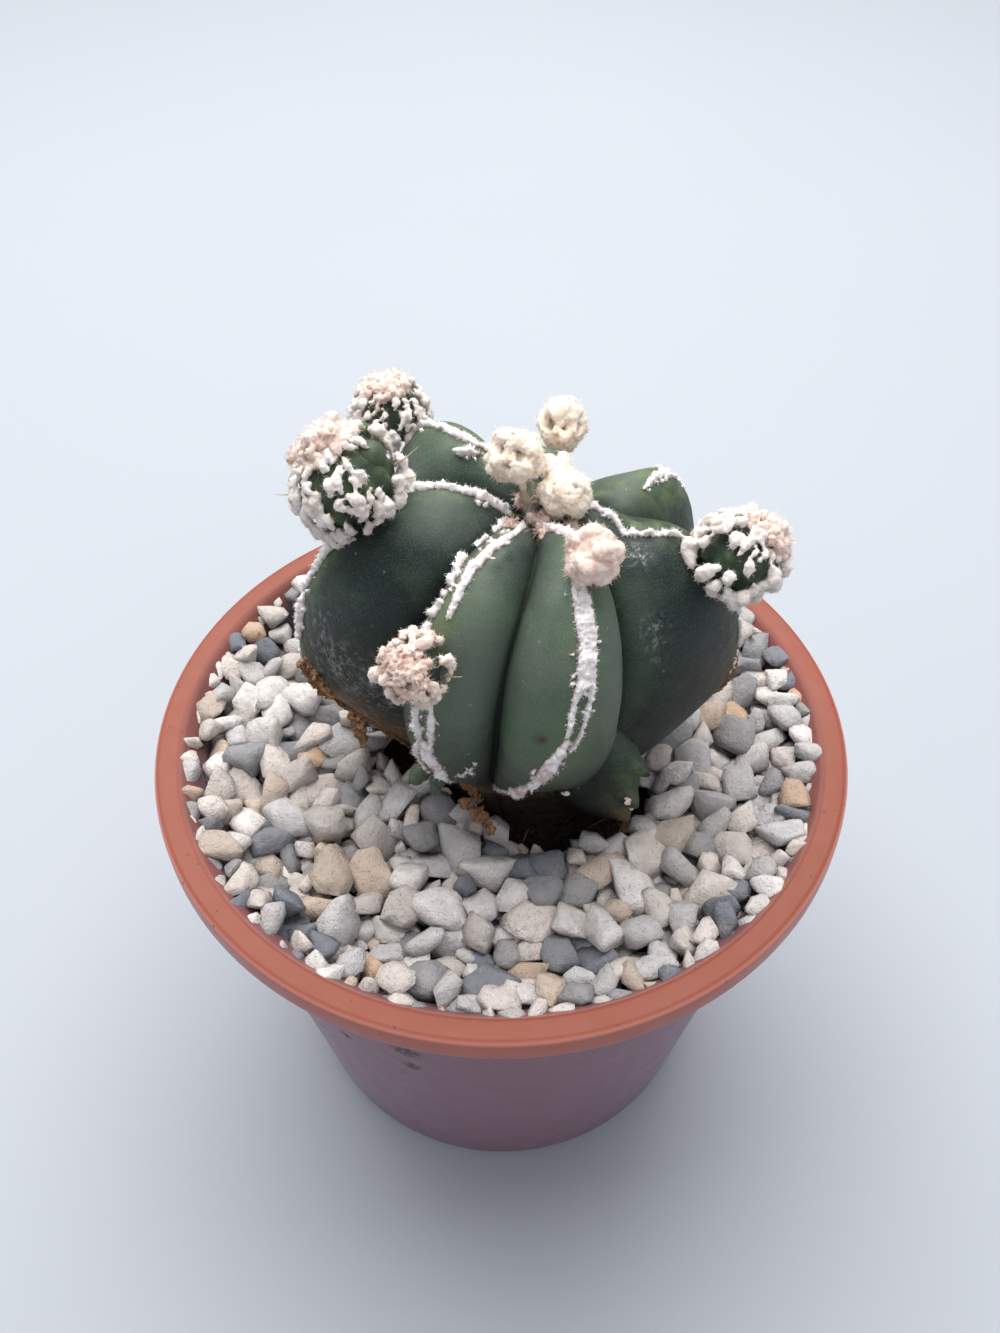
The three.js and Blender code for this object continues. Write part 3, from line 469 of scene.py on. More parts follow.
def finish_piece(
    piece: bpy.types.Object,
    replaces: Sequence[str] = (),
    material: bpy.types.Material | None = None,
) -> bpy.types.Object:
    """Turns a piece into metres, dresses it and hands it to the frame.

    Args:
        piece: The object, its mesh still in millimetres.
        replaces: CAD nodes that this piece stands for.
        material: Its finish, where its mesh hasn't got one yet.

    Returns:
        The same object.
    """
    piece.data.transform(Matrix.Scale(METRES, 4))
    if material is not None:
        piece.data.materials.clear()
        piece.data.materials.append(material)
    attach(piece, "root")
    if replaces:
        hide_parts(*replaces)
    LOG.info("%s: %d faces", piece.name, len(piece.data.polygons))
    return piece


class TreeKind(Enum):
    """What a node group works on."""

    SHADER = "ShaderNodeTree"
    GEOMETRY = "GeometryNodeTree"


class Tree:
    """A node tree that is put together by code."""

    def __init__(self, tree: bpy.types.NodeTree) -> None:
        """Takes the tree that the nodes go into."""
        self.tree = tree

    @classmethod
    def group(
        cls,
        name: str,
        kind: TreeKind,
        inputs: dict[str, Socket],
        outputs: dict[str, Socket],
    ) -> "Tree":
        """A new node group with named sockets.

        Args:
            name: The group's name.
            kind: What the group works on.
            inputs: The input sockets and their kinds.
            outputs: The output sockets and their kinds.

        Returns:
            The tree, with its input and output nodes in place.
        """
        made = cls(bpy.data.node_groups.new(name, kind.value))
        for way, sockets in (("INPUT", inputs), ("OUTPUT", outputs)):
            for label, socket in sockets.items():
                made.tree.interface.new_socket(label, in_out=way, socket_type=socket.value)
        made.start = made.add("NodeGroupInput")
        made.end = made.add("NodeGroupOutput")
        return made

    @classmethod
    def for_geometry(cls, name: str, inputs: dict[str, Socket]) -> "Tree":
        """A Geometry Nodes group that takes a mesh and named values and gives a mesh."""
        mesh = {"Geometry": Socket.GEOMETRY}
        return cls.group(name, TreeKind.GEOMETRY, mesh | inputs, mesh)

    def add(self, kind: str, values: dict | None = None, **settings: object) -> bpy.types.Node:
        """Adds a node.

        Args:
            kind: The node's type.
            values: Input sockets and what they hold or are joined to.
            **settings: The node's own settings.

        Returns:
            The node.
        """
        made = self.tree.nodes.new(kind)
        for key, value in settings.items():
            setattr(made, key, value)
        self.fill(made, values or {})
        return made

    def fill(self, node: bpy.types.Node, values: dict) -> None:
        """Joins or sets several input sockets of a node."""
        for key, value in values.items():
            self.feed(node.inputs[key], value)

    def feed(self, socket: bpy.types.NodeSocket, value: object) -> None:
        """Joins a socket to another, or sets what it holds.

        Args:
            socket: The input socket.
            value: An output socket, a number, a vector, a colour of three numbers or a data block.
        """
        if isinstance(value, bpy.types.NodeSocket):
            self.tree.links.new(value, socket)
        elif isinstance(value, tuple) and len(value) == 3 and socket.type == "RGBA":
            socket.default_value = (*value, 1.0)
        else:
            socket.default_value = value

    def maths(self, operation: str, first: object, second: object = 0.0) -> bpy.types.NodeSocket:
        """The result of one sum on two numbers."""
        return self.add("ShaderNodeMath", {0: first, 1: second}, operation=operation).outputs[0]

    def vector_maths(self, operation: str, first: object, second: object) -> bpy.types.NodeSocket:
        """The result of one sum on two vectors."""
        return self.add("ShaderNodeVectorMath", {0: first, 1: second}, operation=operation).outputs[0]

    def blend(self, share: object, first: object, second: object, mode: str = "MIX") -> bpy.types.NodeSocket:
        """Two colours mixed by a share."""
        made = self.add("ShaderNodeMix", {0: share, 6: first, 7: second}, data_type="RGBA", blend_type=mode)
        return made.outputs[2]

    def laid(self, under: object, over: object, mask: object, strength: object) -> bpy.types.NodeSocket:
        """One colour laid over another where a mask is, at a strength."""
        return self.blend(self.maths("MULTIPLY", mask, strength), under, over)

    def spread(
        self, value: object, low: float, high: float, to_low: float = 0.0, to_high: float = 1.0
    ) -> bpy.types.NodeSocket:
        """A number mapped from one range to another and kept inside it."""
        values = {0: value, 1: low, 2: high, 3: to_low, 4: to_high}
        return self.add("ShaderNodeMapRange", values, clamp=True).outputs[0]

    def noise(self, place: object, scale: float, detail: float, rough: float) -> bpy.types.NodeSocket:
        """Soft noise from 0 to 1, its scale in blotches to a millimetre."""
        values = {"Vector": place, "Scale": scale, "Detail": detail, "Roughness": rough}
        return self.add("ShaderNodeTexNoise", values).outputs[0]

    def blotches(self, place: object, kind: "Blotches") -> bpy.types.NodeSocket:
        """Noise of which a part of the range is spread between two limits."""
        noise = self.noise(place, kind.scale, kind.detail, kind.rough)
        return self.spread(noise, kind.low, kind.high, kind.least, kind.most)

    def attribute(self, name: str) -> bpy.types.NodeSocket:
        """A number stored on the mesh."""
        made = self.add("ShaderNodeAttribute", attribute_name=name, attribute_type="GEOMETRY")
        return made.outputs["Fac"]

    def height(self, place: object) -> bpy.types.NodeSocket:
        """How high a place is."""
        return self.add("ShaderNodeSeparateXYZ", {0: place}).outputs[2]

    def strewn(self) -> bpy.types.Node:
        """Random points on the faces of the mesh that comes in, by the inputs Density and Seed.

        Returns:
            The node that strews the points.
        """
        start = self.start.outputs
        values = {"Mesh": start["Geometry"], "Density": start["Density"], "Seed": start["Seed"]}
        return self.add("GeometryNodeDistributePointsOnFaces", values, distribute_method="RANDOM")

    def random(self, low: object, high: object) -> bpy.types.NodeSocket:
        """Random numbers or vectors between two limits, by the input Seed.

        Args:
            low: The least number, or a vector of the least numbers.
            high: The greatest, of the same kind.

        Returns:
            The socket that gives them.
        """
        is_vector = isinstance(low, tuple)
        kind, first, result = ("FLOAT_VECTOR", 0, 0) if is_vector else ("FLOAT", 2, 1)
        values = {"Seed": self.start.outputs["Seed"], first: low, first + 1: high}
        return self.add("FunctionNodeRandomValue", values, data_type=kind).outputs[result]

    def instances(self, points: object, model: object, rotation: object, scale: object) -> bpy.types.Node:
        """A model set on every point."""
        values = {"Points": points, "Instance": model, "Rotation": rotation, "Scale": scale}
        return self.add("GeometryNodeInstanceOnPoints", values)

    def end_dressed(self, geometry: object) -> None:
        """Makes instances real, gives them the input Material and ends the tree.

        Args:
            geometry: What the tree has made so far.
        """
        real = self.add("GeometryNodeRealizeInstances", {"Geometry": geometry})
        values = {"Geometry": real.outputs[0], "Material": self.start.outputs["Material"]}
        dressed = self.add("GeometryNodeSetMaterial", values)
        self.feed(self.end.inputs["Geometry"], dressed.outputs[0])


def set_inputs(modifier: bpy.types.Modifier, values: dict[str, object]) -> None:
    """Sets a Geometry Nodes modifier's inputs by the identifiers of their sockets.

    Args:
        modifier: The modifier, its tree already given.
        values: The inputs' names and what they hold.
    """
    for item in modifier.node_group.interface.items_tree:
        if item.item_type == "SOCKET" and item.in_out == "INPUT" and item.name in values:
            modifier[item.identifier] = values[item.name]


def grow(piece: bpy.types.Object, tree: Tree, values: dict[str, object]) -> None:
    """Runs a Geometry Nodes tree on a piece and keeps the result as its plain mesh.

    Args:
        piece: The piece, its mesh still in millimetres.
        tree: The tree.
        values: The tree's inputs and what they hold.
    """
    modifier = piece.modifiers.new(tree.tree.name, "NODES")
    modifier.node_group = tree.tree
    set_inputs(modifier, values)
    settle_modifiers(piece)


@dataclass(frozen=True)
class Blotches:
    """Soft noise: blotches to a millimetre, and the part of its range that is spread between two limits."""

    scale: float
    low: float
    high: float
    detail: float = 3.0
    rough: float = 0.55
    least: float = 0.0
    most: float = 1.0


@dataclass(frozen=True)
class Specks:
    """Round specks: cells to a millimetre, size in cells, the share that shows, and their strength."""

    cells: float
    size: float
    share: float
    strength: float = 1.0


@dataclass(frozen=True)
class Grain:
    """Relief of a surface: grains to a millimetre, coarse and fine, and their depth in millimetres."""

    coarse: float
    fine: float
    depth: float


class Effects:
    """Shader groups that several finishes share. Each is built once."""

    edge: float = 0.08
    fine_share: float = 0.5

    def __init__(self) -> None:
        """Builds the groups."""
        self.place = self._place()
        self.specks = self._specks()
        self.relief = self._relief()

    @staticmethod
    def _place() -> bpy.types.NodeTree:
        """Object coordinates counted in millimetres.

        Returns:
            The group.
        """
        tree = Tree.group("millimetre_place", TreeKind.SHADER, {}, {"Place": Socket.VECTOR})
        coordinates = tree.add("ShaderNodeTexCoord").outputs["Object"]
        scale = (1 / METRES,) * 3
        tree.feed(tree.end.inputs["Place"], tree.vector_maths("MULTIPLY", coordinates, scale))
        return tree.tree

    def _specks(self) -> bpy.types.NodeTree:
        """Round specks, each in its own cell, of which only a share shows.

        Returns:
            The group.
        """
        numbers = {"Cells": Socket.NUMBER, "Size": Socket.NUMBER, "Share": Socket.NUMBER}
        inputs = {"Place": Socket.VECTOR, **numbers}
        tree = Tree.group("specks", TreeKind.SHADER, inputs, {"Mask": Socket.NUMBER})
        start = tree.start.outputs
        cells = tree.add("ShaderNodeTexVoronoi", {"Vector": start["Place"], "Scale": start["Cells"]})
        lot = tree.add("ShaderNodeSeparateColor", {0: cells.outputs["Color"]}).outputs[0]
        near = tree.maths("SUBTRACT", start["Size"], cells.outputs["Distance"])
        chosen = tree.maths("LESS_THAN", lot, start["Share"])
        tree.feed(tree.end.inputs["Mask"], tree.maths("MULTIPLY", tree.spread(near, 0.0, self.edge), chosen))
        return tree.tree

    def _relief(self) -> bpy.types.NodeTree:
        """A bumped normal from a height, with coarse and fine grain added to it.

        Returns:
            The group.
        """
        numbers = ("Height", "Coarse", "Fine", "Depth")
        inputs = {"Place": Socket.VECTOR} | {name: Socket.NUMBER for name in numbers}
        tree = Tree.group("grain_relief", TreeKind.SHADER, inputs, {"Normal": Socket.VECTOR})
        start = tree.start.outputs
        coarse, fine = (
            tree.add("ShaderNodeTexNoise", {"Vector": start["Place"], "Scale": start[size], "Detail": detail})
            for size, detail in (("Coarse", 3.0), ("Fine", 2.0))
        )
        fine_grain = tree.maths("MULTIPLY", fine.outputs[0], self.fine_share)
        height = tree.maths("ADD", tree.maths("ADD", coarse.outputs[0], fine_grain), start["Height"])
        bump = tree.add("ShaderNodeBump", {"Strength": 1.0, "Distance": start["Depth"], "Height": height})
        tree.feed(tree.end.inputs["Normal"], bump.outputs[0])
        return tree.tree


@dataclass(frozen=True)
class Finish:
    """A finish: a named material on the Principled shader, with the groups it uses."""

    name: str
    effects: Effects

    def begin(self) -> tuple[bpy.types.Material, Tree, bpy.types.Node, bpy.types.NodeSocket]:
        """Starts the material.

        Returns:
            The material, its tree, its shader, and the place in millimetres.
        """
        material = bpy.data.materials.new(self.name)
        material.use_nodes = True
        tree = Tree(material.node_tree)
        material.node_tree.nodes.clear()
        output = tree.add("ShaderNodeOutputMaterial")
        shader = tree.add("ShaderNodeBsdfPrincipled")
        tree.feed(output.inputs["Surface"], shader.outputs[0])
        place = tree.add("ShaderNodeGroup", node_tree=self.effects.place)
        return material, tree, shader, place.outputs["Place"]

    def relief(self, tree: Tree, place: object, height: object, grain: Grain) -> bpy.types.NodeSocket:
        """The normal from the shared relief group.

        Args:
            tree: The material's tree.
            place: Where the grain is looked up.
            height: What else is raised.
            grain: The grain's size and strength.

        Returns:
            The socket of the normal.
        """
        sizes = {"Coarse": grain.coarse, "Fine": grain.fine, "Depth": grain.depth * METRES}
        values = {"Place": place, "Height": height} | sizes
        return tree.add("ShaderNodeGroup", values, node_tree=self.effects.relief).outputs["Normal"]

    def specks(self, tree: Tree, place: object, kind: Specks) -> bpy.types.NodeSocket:
        """The mask of the shared specks group."""
        values = {"Place": place, "Cells": kind.cells, "Size": kind.size, "Share": kind.share}
        return tree.add("ShaderNodeGroup", values, node_tree=self.effects.specks).outputs["Mask"]

    def speckled(self, tree: Tree, place: object, under: object, over: Colour, kind: Specks) -> object:
        """A colour with specks of another on it."""
        return tree.laid(under, over, self.specks(tree, place, kind), kind.strength)


@dataclass(frozen=True)
class SkinFinish(Finish):
    """The cactus's green skin: fine pale stipple, pale flecks, dust, cork on worn edges, and painted light
    and shade.
    """

    # The darkest green is the green in painted shade, and the next one the green where light is painted.
    deep: Colour = (0.011, 0.021, 0.018)
    green: Colour = (0.098, 0.128, 0.096)
    leaf: Colour = (0.62, 0.98, 0.64)
    fresh: Colour = (0.12, 0.165, 0.06)
    # Painted shade in the creases.
    valley: Colour = (0.008, 0.014, 0.010)
    stipple: Colour = (0.25, 0.31, 0.25)
    dust: Colour = (0.36, 0.38, 0.39)
    tan: Colour = (0.16, 0.07, 0.028)
    pale_tan: Colour = (0.36, 0.21, 0.11)
    pit: Colour = (0.06, 0.025, 0.02)
    # A near-black brown painted as the shadow at the foot of the stem, just above the soil.
    foot_shadow: Colour = (0.014, 0.011, 0.008)
    broad: Blotches = Blotches(0.16, 0.35, 0.70, least=-0.22, most=0.26)
    leafy: Blotches = Blotches(0.11, 0.42, 0.62, detail=2.0, most=0.5)
    ridge: Blotches = Blotches(0.5, 0.35, 0.7)
    powder: Blotches = Blotches(1.0, 0.50, 0.60, detail=8.0, rough=0.8)
    crust: Blotches = Blotches(0.9, 0.3, 0.62, detail=5.0)
    crust_tone: Blotches = Blotches(2.2, 0.35, 0.7, detail=4.0)
    gloss: Blotches = Blotches(0.7, 0.3, 0.7, detail=4.0, least=0.44, most=0.56)
    dots: Specks = Specks(5.4, 0.40, 0.75)
    flecks: Specks = Specks(0.55, 0.12, 0.3, 0.4)
    grain: Grain = Grain(1.2, 7.0, 0.05)
    # Heights over which painted shade darkens the green towards the foot, and over which the painted shadow
    # at the foot comes in.
    shaded_from: float = 81.0
    shaded_to: float = 69.0
    foot_shadow_from: float = 68.5
    foot_shadow_to: float = 65.0

    def material(self) -> bpy.types.Material:
        """Builds the material.

        Returns:
            The material.
        """
        material, tree, shader, place = self.begin()
        height = tree.height(place)
        # lit is the painted light and shade of the green, with broad blotches in it.
        lit = tree.maths("ADD", tree.attribute("lit"), tree.blotches(place, self.broad))
        body = self.green_tones(tree, place, height, lit)
        dots = self.specks(tree, place, self.dots)
        # The stipple is fainter where the green is in painted shade.
        body = tree.laid(body, self.stipple, dots, tree.spread(lit, 0.0, 1.0, 0.13, 0.30))
        body = self.speckled(tree, place, body, self.dust, self.flecks)
        streaks = tree.add("ShaderNodeMapping", {"Vector": place, "Scale": (1.2, 1.2, 0.8)})
        powder = tree.blotches(streaks.outputs[0], self.powder)
        dust = tree.maths("MULTIPLY", tree.attribute("dust"), powder)
        body = tree.blend(dust, body, self.dust)
        crust = tree.maths("MULTIPLY", tree.attribute("tan"), tree.blotches(place, self.crust))
        tan = tree.blend(tree.blotches(place, self.crust_tone), self.tan, self.pale_tan)
        body = tree.blend(crust, body, tan)
        body = tree.blend(tree.attribute("pit"), body, self.pit)
        # Painted shadow at the foot of the stem, just above the soil.
        foot_shadow = tree.spread(height, self.foot_shadow_from, self.foot_shadow_to)
        body = tree.laid(body, self.foot_shadow, foot_shadow, 0.88)
        rough = tree.maths("ADD", tree.blotches(place, self.gloss), tree.maths("MULTIPLY", dust, 0.3))
        raised = tree.maths("ADD", tree.maths("MULTIPLY", dots, 0.6), tree.maths("MULTIPLY", crust, 4.0))
        normal = self.relief(tree, place, raised, self.grain)
        tree.fill(shader, {"Base Color": body, "Roughness": rough})
        tree.fill(shader, {"Normal": normal, "Specular IOR Level": 0.34})
        return material

    def green_tones(self, tree: Tree, place: object, height: object, lit: object) -> object:
        """The green, from painted shade to painted light, with its leafier patches, fresh ridges, painted
        shade in the creases and painted shade towards the foot.

        Args:
            tree: The material's tree.
            place: The place in millimetres.
            height: How high that is.
            lit: How light the green is, from 0 to 1.

        Returns:
            The colour's socket.
        """
        body = tree.blend(tree.spread(lit, 0.0, 1.0), self.deep, self.green)
        body = tree.blend(tree.blotches(place, self.leafy), body, self.leaf, "MULTIPLY")
        # Painted shade: darker towards the foot of the ribs.
        body = tree.blend(tree.spread(height, self.shaded_from, self.shaded_to, 0.0, 0.55), body, self.deep)
        body = tree.laid(body, self.fresh, tree.attribute("ridge"), tree.blotches(place, self.ridge))
        # Painted shade in the creases.
        return tree.laid(body, self.valley, tree.attribute("crease"), 0.85)


@dataclass(frozen=True)
class WoolFinish(Finish):
    """Short dense wool in two tones, with stained patches, dark bits caught in it, and painted shade in its
    hollows.
    """

    pale: Colour = (0.97, 0.95, 0.945)
    shade: Colour = (0.82, 0.74, 0.72)
    # This colour serves both for stains and for painted shade in the wool's hollows.
    stain_and_shade: Colour = (0.24, 0.12, 0.10)
    stained: float = 0.25
    bits: float = 0.06
    patch: float = 0.8
    aged: float = 0.0
    old: Colour = (0.46, 0.27, 0.225)
    bit: Colour = (0.05, 0.03, 0.02)
    wear: Blotches = Blotches(0.6, 0.48, 0.60, detail=5.0, rough=0.7)
    grain: Grain = Grain(2.4, 9.0, 0.12)
    aged_from: float = 88.0
    aged_to: float = 80.0

    def material(self) -> bpy.types.Material:
        """Builds the material.

        Returns:
            The material.
        """
        material, tree, shader, place = self.begin()
        soft = tree.blotches(place, Blotches(self.patch, 0.36, 0.66, detail=4.0, rough=0.6))
        wool = tree.blend(soft, self.pale, self.shade)
        low = 0.72 - 0.28 * self.stained
        stains = tree.blotches(place, Blotches(0.55 * self.patch, low, low + 0.1, detail=6.0, rough=0.7))
        wool = tree.laid(wool, self.stain_and_shade, stains, 0.7)
        aged = tree.spread(tree.height(place), self.aged_from, self.aged_to, 0.0, self.aged)
        wool = tree.laid(wool, self.old, aged, tree.blotches(place, self.wear))
        wool = self.speckled(tree, place, wool, self.bit, Specks(1.3, 0.2, self.bits, 0.85))
        # The pit number darkens the wool towards the stain colour: painted shade in hollows, and a stain on
        # the loose scraps.
        wool = tree.blend(tree.attribute("pit"), wool, self.stain_and_shade)
        rough = tree.spread(soft, 0.0, 1.0, 0.85, 1.0)
        normal = self.relief(tree, place, 0.0, self.grain)
        tree.fill(shader, {"Base Color": wool, "Roughness": rough})
        tree.fill(shader, {"Normal": normal, "Specular IOR Level": 0.15})
        tree.fill(shader, {"Sheen Weight": 0.25, "Sheen Roughness": 0.5})
        return material


class Rock(Enum):
    """Colours of the gravel's stones and the share of stones up to each."""

    WHITE = (0.20, (0.75, 0.71, 0.695))
    CREAM = (0.48, (0.69, 0.62, 0.58))
    PALE_GREY = (0.68, (0.57, 0.55, 0.56))
    MID_GREY = (0.80, (0.29, 0.29, 0.305))
    BLUE_GREY = (0.92, (0.165, 0.18, 0.22))
    TAN = (0.975, (0.60, 0.475, 0.385))
    RUST = (1.0, (0.56, 0.38, 0.26))


@dataclass(frozen=True)
class StoneFinish(Finish):
    """Limestone chips: each stone has its own colour, with fine grain, veins and dust."""

    grain_dark: Colour = (0.42, 0.41, 0.40)
    grain_pale: Colour = (1.0, 0.98, 0.95)
    dull: Colour = (0.30, 0.28, 0.265)
    vein: Colour = (0.50, 0.40, 0.30)
    salt: Colour = (0.68, 0.66, 0.63)
    grime: Colour = (0.10, 0.08, 0.06)
    tones: Blotches = Blotches(0.55, 0.3, 0.7, detail=6.0, rough=0.62)
    veins: Blotches = Blotches(0.3, 0.6, 0.66, detail=5.0, rough=0.75)
    salt_specks: Specks = Specks(3.2, 0.3, 0.35, 0.22)
    grime_specks: Specks = Specks(1.6, 0.22, 0.12, 0.5)
    grain: Grain = Grain(1.1, 5.0, 0.3)

    def rock_colour(self, tree: Tree, lot: object) -> bpy.types.NodeSocket:
        """The colour that a stone's own number picks.

        Args:
            tree: The material's tree.
            lot: The stone's number, from 0 to 1.

        Returns:
            The colour's socket.
        """
        ramp = tree.add("ShaderNodeValToRGB", {0: lot})
        ramp.color_ramp.interpolation = "CONSTANT"
        stops = ramp.color_ramp.elements
        start = 0.0
        for i, rock in enumerate(Rock):
            end, colour = rock.value
            stop = stops[i] if i < len(stops) else stops.new(start)
            stop.position = start
            stop.color = (*colour, 1.0)
            start = end
        return ramp.outputs[0]

    def material(self) -> bpy.types.Material:
        """Builds the material.

        Returns:
            The material.
        """
        material, tree, shader, place = self.begin()
        lot = tree.attribute("lot")
        rock = self.rock_colour(tree, lot)
        shift = tree.add("ShaderNodeCombineXYZ", {0: tree.maths("MULTIPLY", lot, 90.0)})
        own = tree.vector_maths("ADD", place, shift.outputs[0])
        tones = tree.blotches(own, self.tones)
        stone = tree.blend(0.5, rock, tree.blend(tones, self.grain_dark, self.grain_pale), "MULTIPLY")
        dull = tree.maths("FRACT", tree.maths("MULTIPLY", lot, 57.3))
        stone = tree.blend(tree.spread(dull, 0.0, 1.0, 0.0, 0.5), stone, self.dull)
        stone = tree.laid(stone, self.vein, tree.blotches(own, self.veins), 0.25)
        salt = self.specks(tree, own, self.salt_specks)
        stone = tree.laid(stone, self.salt, salt, self.salt_specks.strength)
        stone = self.speckled(tree, own, stone, self.grime, self.grime_specks)
        rough = tree.spread(tones, 0.0, 1.0, 0.72, 0.95)
        normal = self.relief(tree, own, salt, self.grain)
        tree.fill(shader, {"Base Color": stone, "Roughness": rough})
        tree.fill(shader, {"Normal": normal, "Specular IOR Level": 0.3})
        return material


@dataclass(frozen=True)
class EarthFinish(Finish):
    """A rough dry material in three tones, such as soil, cork or bark."""

    dark: Colour = (0.018, 0.012, 0.008)
    light: Colour = (0.055, 0.036, 0.024)
    fleck: Colour = (0.22, 0.13, 0.07)
    flecks: float = 0.2
    blotch: float = 1.0
    depth: float = 0.4
    rough: float = 0.95

    def material(self) -> bpy.types.Material:
        """Builds the material.

        Returns:
            The material.
        """
        material, tree, shader, place = self.begin()
        soft = tree.blotches(place, Blotches(self.blotch, 0.32, 0.68, detail=5.0, rough=0.65))
        flecks = self.specks(tree, place, Specks(1.7 * self.blotch, 0.3, self.flecks))
        earth = tree.laid(tree.blend(soft, self.dark, self.light), self.fleck, flecks, 0.8)
        normal = self.relief(tree, place, tree.maths("ADD", soft, flecks), Grain(2.0, 8.0, self.depth))
        looks = {"Base Color": earth, "Roughness": self.rough, "Normal": normal}
        tree.fill(shader, looks | {"Specular IOR Level": 0.2})
        return material


@dataclass(frozen=True)
class PlasticFinish(Finish):
    """Moulded terracotta-coloured plastic: satin, with dust specks, faint scuffs, a little soil, and painted
    light and shade on the lip and wall.
    """

    colour: Colour = (0.38, 0.098, 0.060)
    worn: Colour = (0.43, 0.125, 0.080)
    # Painted shadow with a painted bluish reflection on the wall under the lip.
    shade: Colour = (0.165, 0.087, 0.132)
    # The lip's flat top is painted darker: painted shade against the light that falls most on it.
    rim: Colour = (0.225, 0.056, 0.030)
    # A paler pink painted as the highlight on the lip's rounded edge.
    edge: Colour = (0.52, 0.21, 0.165)
    # Painted shade with some grime on the inside of the wall.
    grime: Colour = (0.055, 0.034, 0.038)
    soil: Colour = (0.05, 0.03, 0.02)
    scuff: Colour = (0.55, 0.28, 0.20)
    chalk: Colour = (0.62, 0.42, 0.34)
    bloom: Colour = (0.72, 0.76, 1.0)
    cloudy: Blotches = Blotches(0.07, 0.35, 0.65, detail=4.0)
    scuffs: Blotches = Blotches(0.9, 0.62, 0.72, detail=6.0, rough=0.75)
    smears: Blotches = Blotches(1.5, 0.42, 0.52, detail=5.0, rough=0.7)
    gloss: Blotches = Blotches(0.3, 0.3, 0.7, detail=5.0, least=0.34, most=0.46)
    dust: Specks = Specks(0.66, 0.145, 0.40, 0.75)
    pale_dust: Specks = Specks(0.8, 0.055, 0.3, 0.5)
    grain: Grain = Grain(0.5, 4.0, 0.02)
    marks: tuple[tuple[float, ...], ...] = ((251.3, 45.2, 2.6), (251.6, 39.4, 1.6), (236.1, 39.2, 1.3))

    def marked(self, tree: Tree, place: object) -> bpy.types.NodeSocket:
        """Where soil sticks to the wall: each mark has a bearing, a height and a reach.

        Args:
            tree: The material's tree.
            place: The place in millimetres.

        Returns:
            The mask's socket.
        """
        total: object = 0.0
        for bearing, height, reach in self.marks:
            turn = math.radians(bearing)
            radius = FOOT_RADIUS + WALL_SLOPE * height
            centre = (radius * math.cos(turn), radius * math.sin(turn), height)
            away = tree.add("ShaderNodeVectorMath", {0: place, 1: centre}, operation="DISTANCE")
            total = tree.maths("MAXIMUM", total, tree.spread(away.outputs["Value"], reach, 0.5 * reach))
        return total

    def wall_tones(self, tree: Tree, place: object) -> bpy.types.NodeSocket:
        """The plastic's colour, with painted light and shade: a painted highlight on the lip's rounded edge,
        its flat top painted darker, painted shadow and a painted bluish reflection on the wall, and painted
        shade with some grime inside.

        Args:
            tree: The material's tree.
            place: The place in millimetres.

        Returns:
            The colour's socket.
        """
        cloudy = tree.blotches(place, self.cloudy)
        colour = tree.laid(self.colour, self.worn, cloudy, 0.5)
        height = tree.height(place)
        # Painted highlight on the lip's rounded outer edge.
        edge_highlight = tree.spread(height, POT_HEIGHT - 0.75, POT_HEIGHT - 0.45, 0.0, 0.75)
        colour = tree.blend(edge_highlight, colour, self.edge)
        # The lip's flat top painted darker where the light falls on it: painted shade.
        colour = tree.blend(tree.spread(height, POT_HEIGHT - 0.30, POT_HEIGHT - 0.06), colour, self.rim)
        # Painted shadow and a painted bluish reflection on the wall under the lip.
        below = tree.spread(height, UNDER_LIP - 0.3, UNDER_LIP - 3.0)
        colour = tree.laid(colour, self.shade, below, 0.8)
        # Painted shade inside the pot, with some grime.
        inner_shade_and_grime = tree.spread(cloudy, 0.0, 1.0, 0.8, 1.0)
        return tree.laid(colour, self.grime, tree.attribute("inside"), inner_shade_and_grime)

    def material(self) -> bpy.types.Material:
        """Builds the material.

        Returns:
            The material.
        """
        material, tree, shader, place = self.begin()
        streaks = tree.add("ShaderNodeMapping", {"Vector": place, "Scale": (0.25, 0.25, 3.0)})
        scuffs = tree.blotches(streaks.outputs[0], self.scuffs)
        colour = tree.laid(self.wall_tones(tree, place), self.scuff, scuffs, 0.18)
        colour = self.speckled(tree, place, colour, self.soil, self.dust)
        colour = self.speckled(tree, place, colour, self.chalk, self.pale_dust)
        smear = tree.maths("MULTIPLY", self.marked(tree, place), tree.blotches(place, self.smears))
        colour = tree.blend(smear, colour, self.soil)
        rough = tree.maths("ADD", tree.blotches(place, self.gloss), tree.maths("MULTIPLY", smear, 0.4))
        normal = self.relief(tree, place, scuffs, self.grain)
        tree.fill(shader, {"Base Color": colour, "Roughness": rough})
        tree.fill(shader, {"Normal": normal, "Specular IOR Level": 0.22})
        tree.fill(shader, {"Sheen Weight": 0.2, "Sheen Roughness": 0.45, "Sheen Tint": self.bloom})
        return material


@dataclass(frozen=True)
class PlainFinish(Finish):
    """A quiet two-tone finish for a small thing or the studio floor."""

    first: Colour = (0.6, 0.6, 0.6)
    second: Colour = (0.62, 0.62, 0.62)
    blotch: float = 0.02
    rough: float = 0.8
    depth: float = 0.02

    def material(self) -> bpy.types.Material:
        """Builds the material.

        Returns:
            The material.
        """
        material, tree, shader, place = self.begin()
        colour = tree.blend(tree.noise(place, self.blotch, 3.0, 0.55), self.first, self.second)
        normal = self.relief(tree, place, 0.0, Grain(self.blotch * 6, self.blotch * 40, self.depth))
        tree.fill(shader, {"Base Color": colour, "Roughness": self.rough, "Normal": normal})
        return material


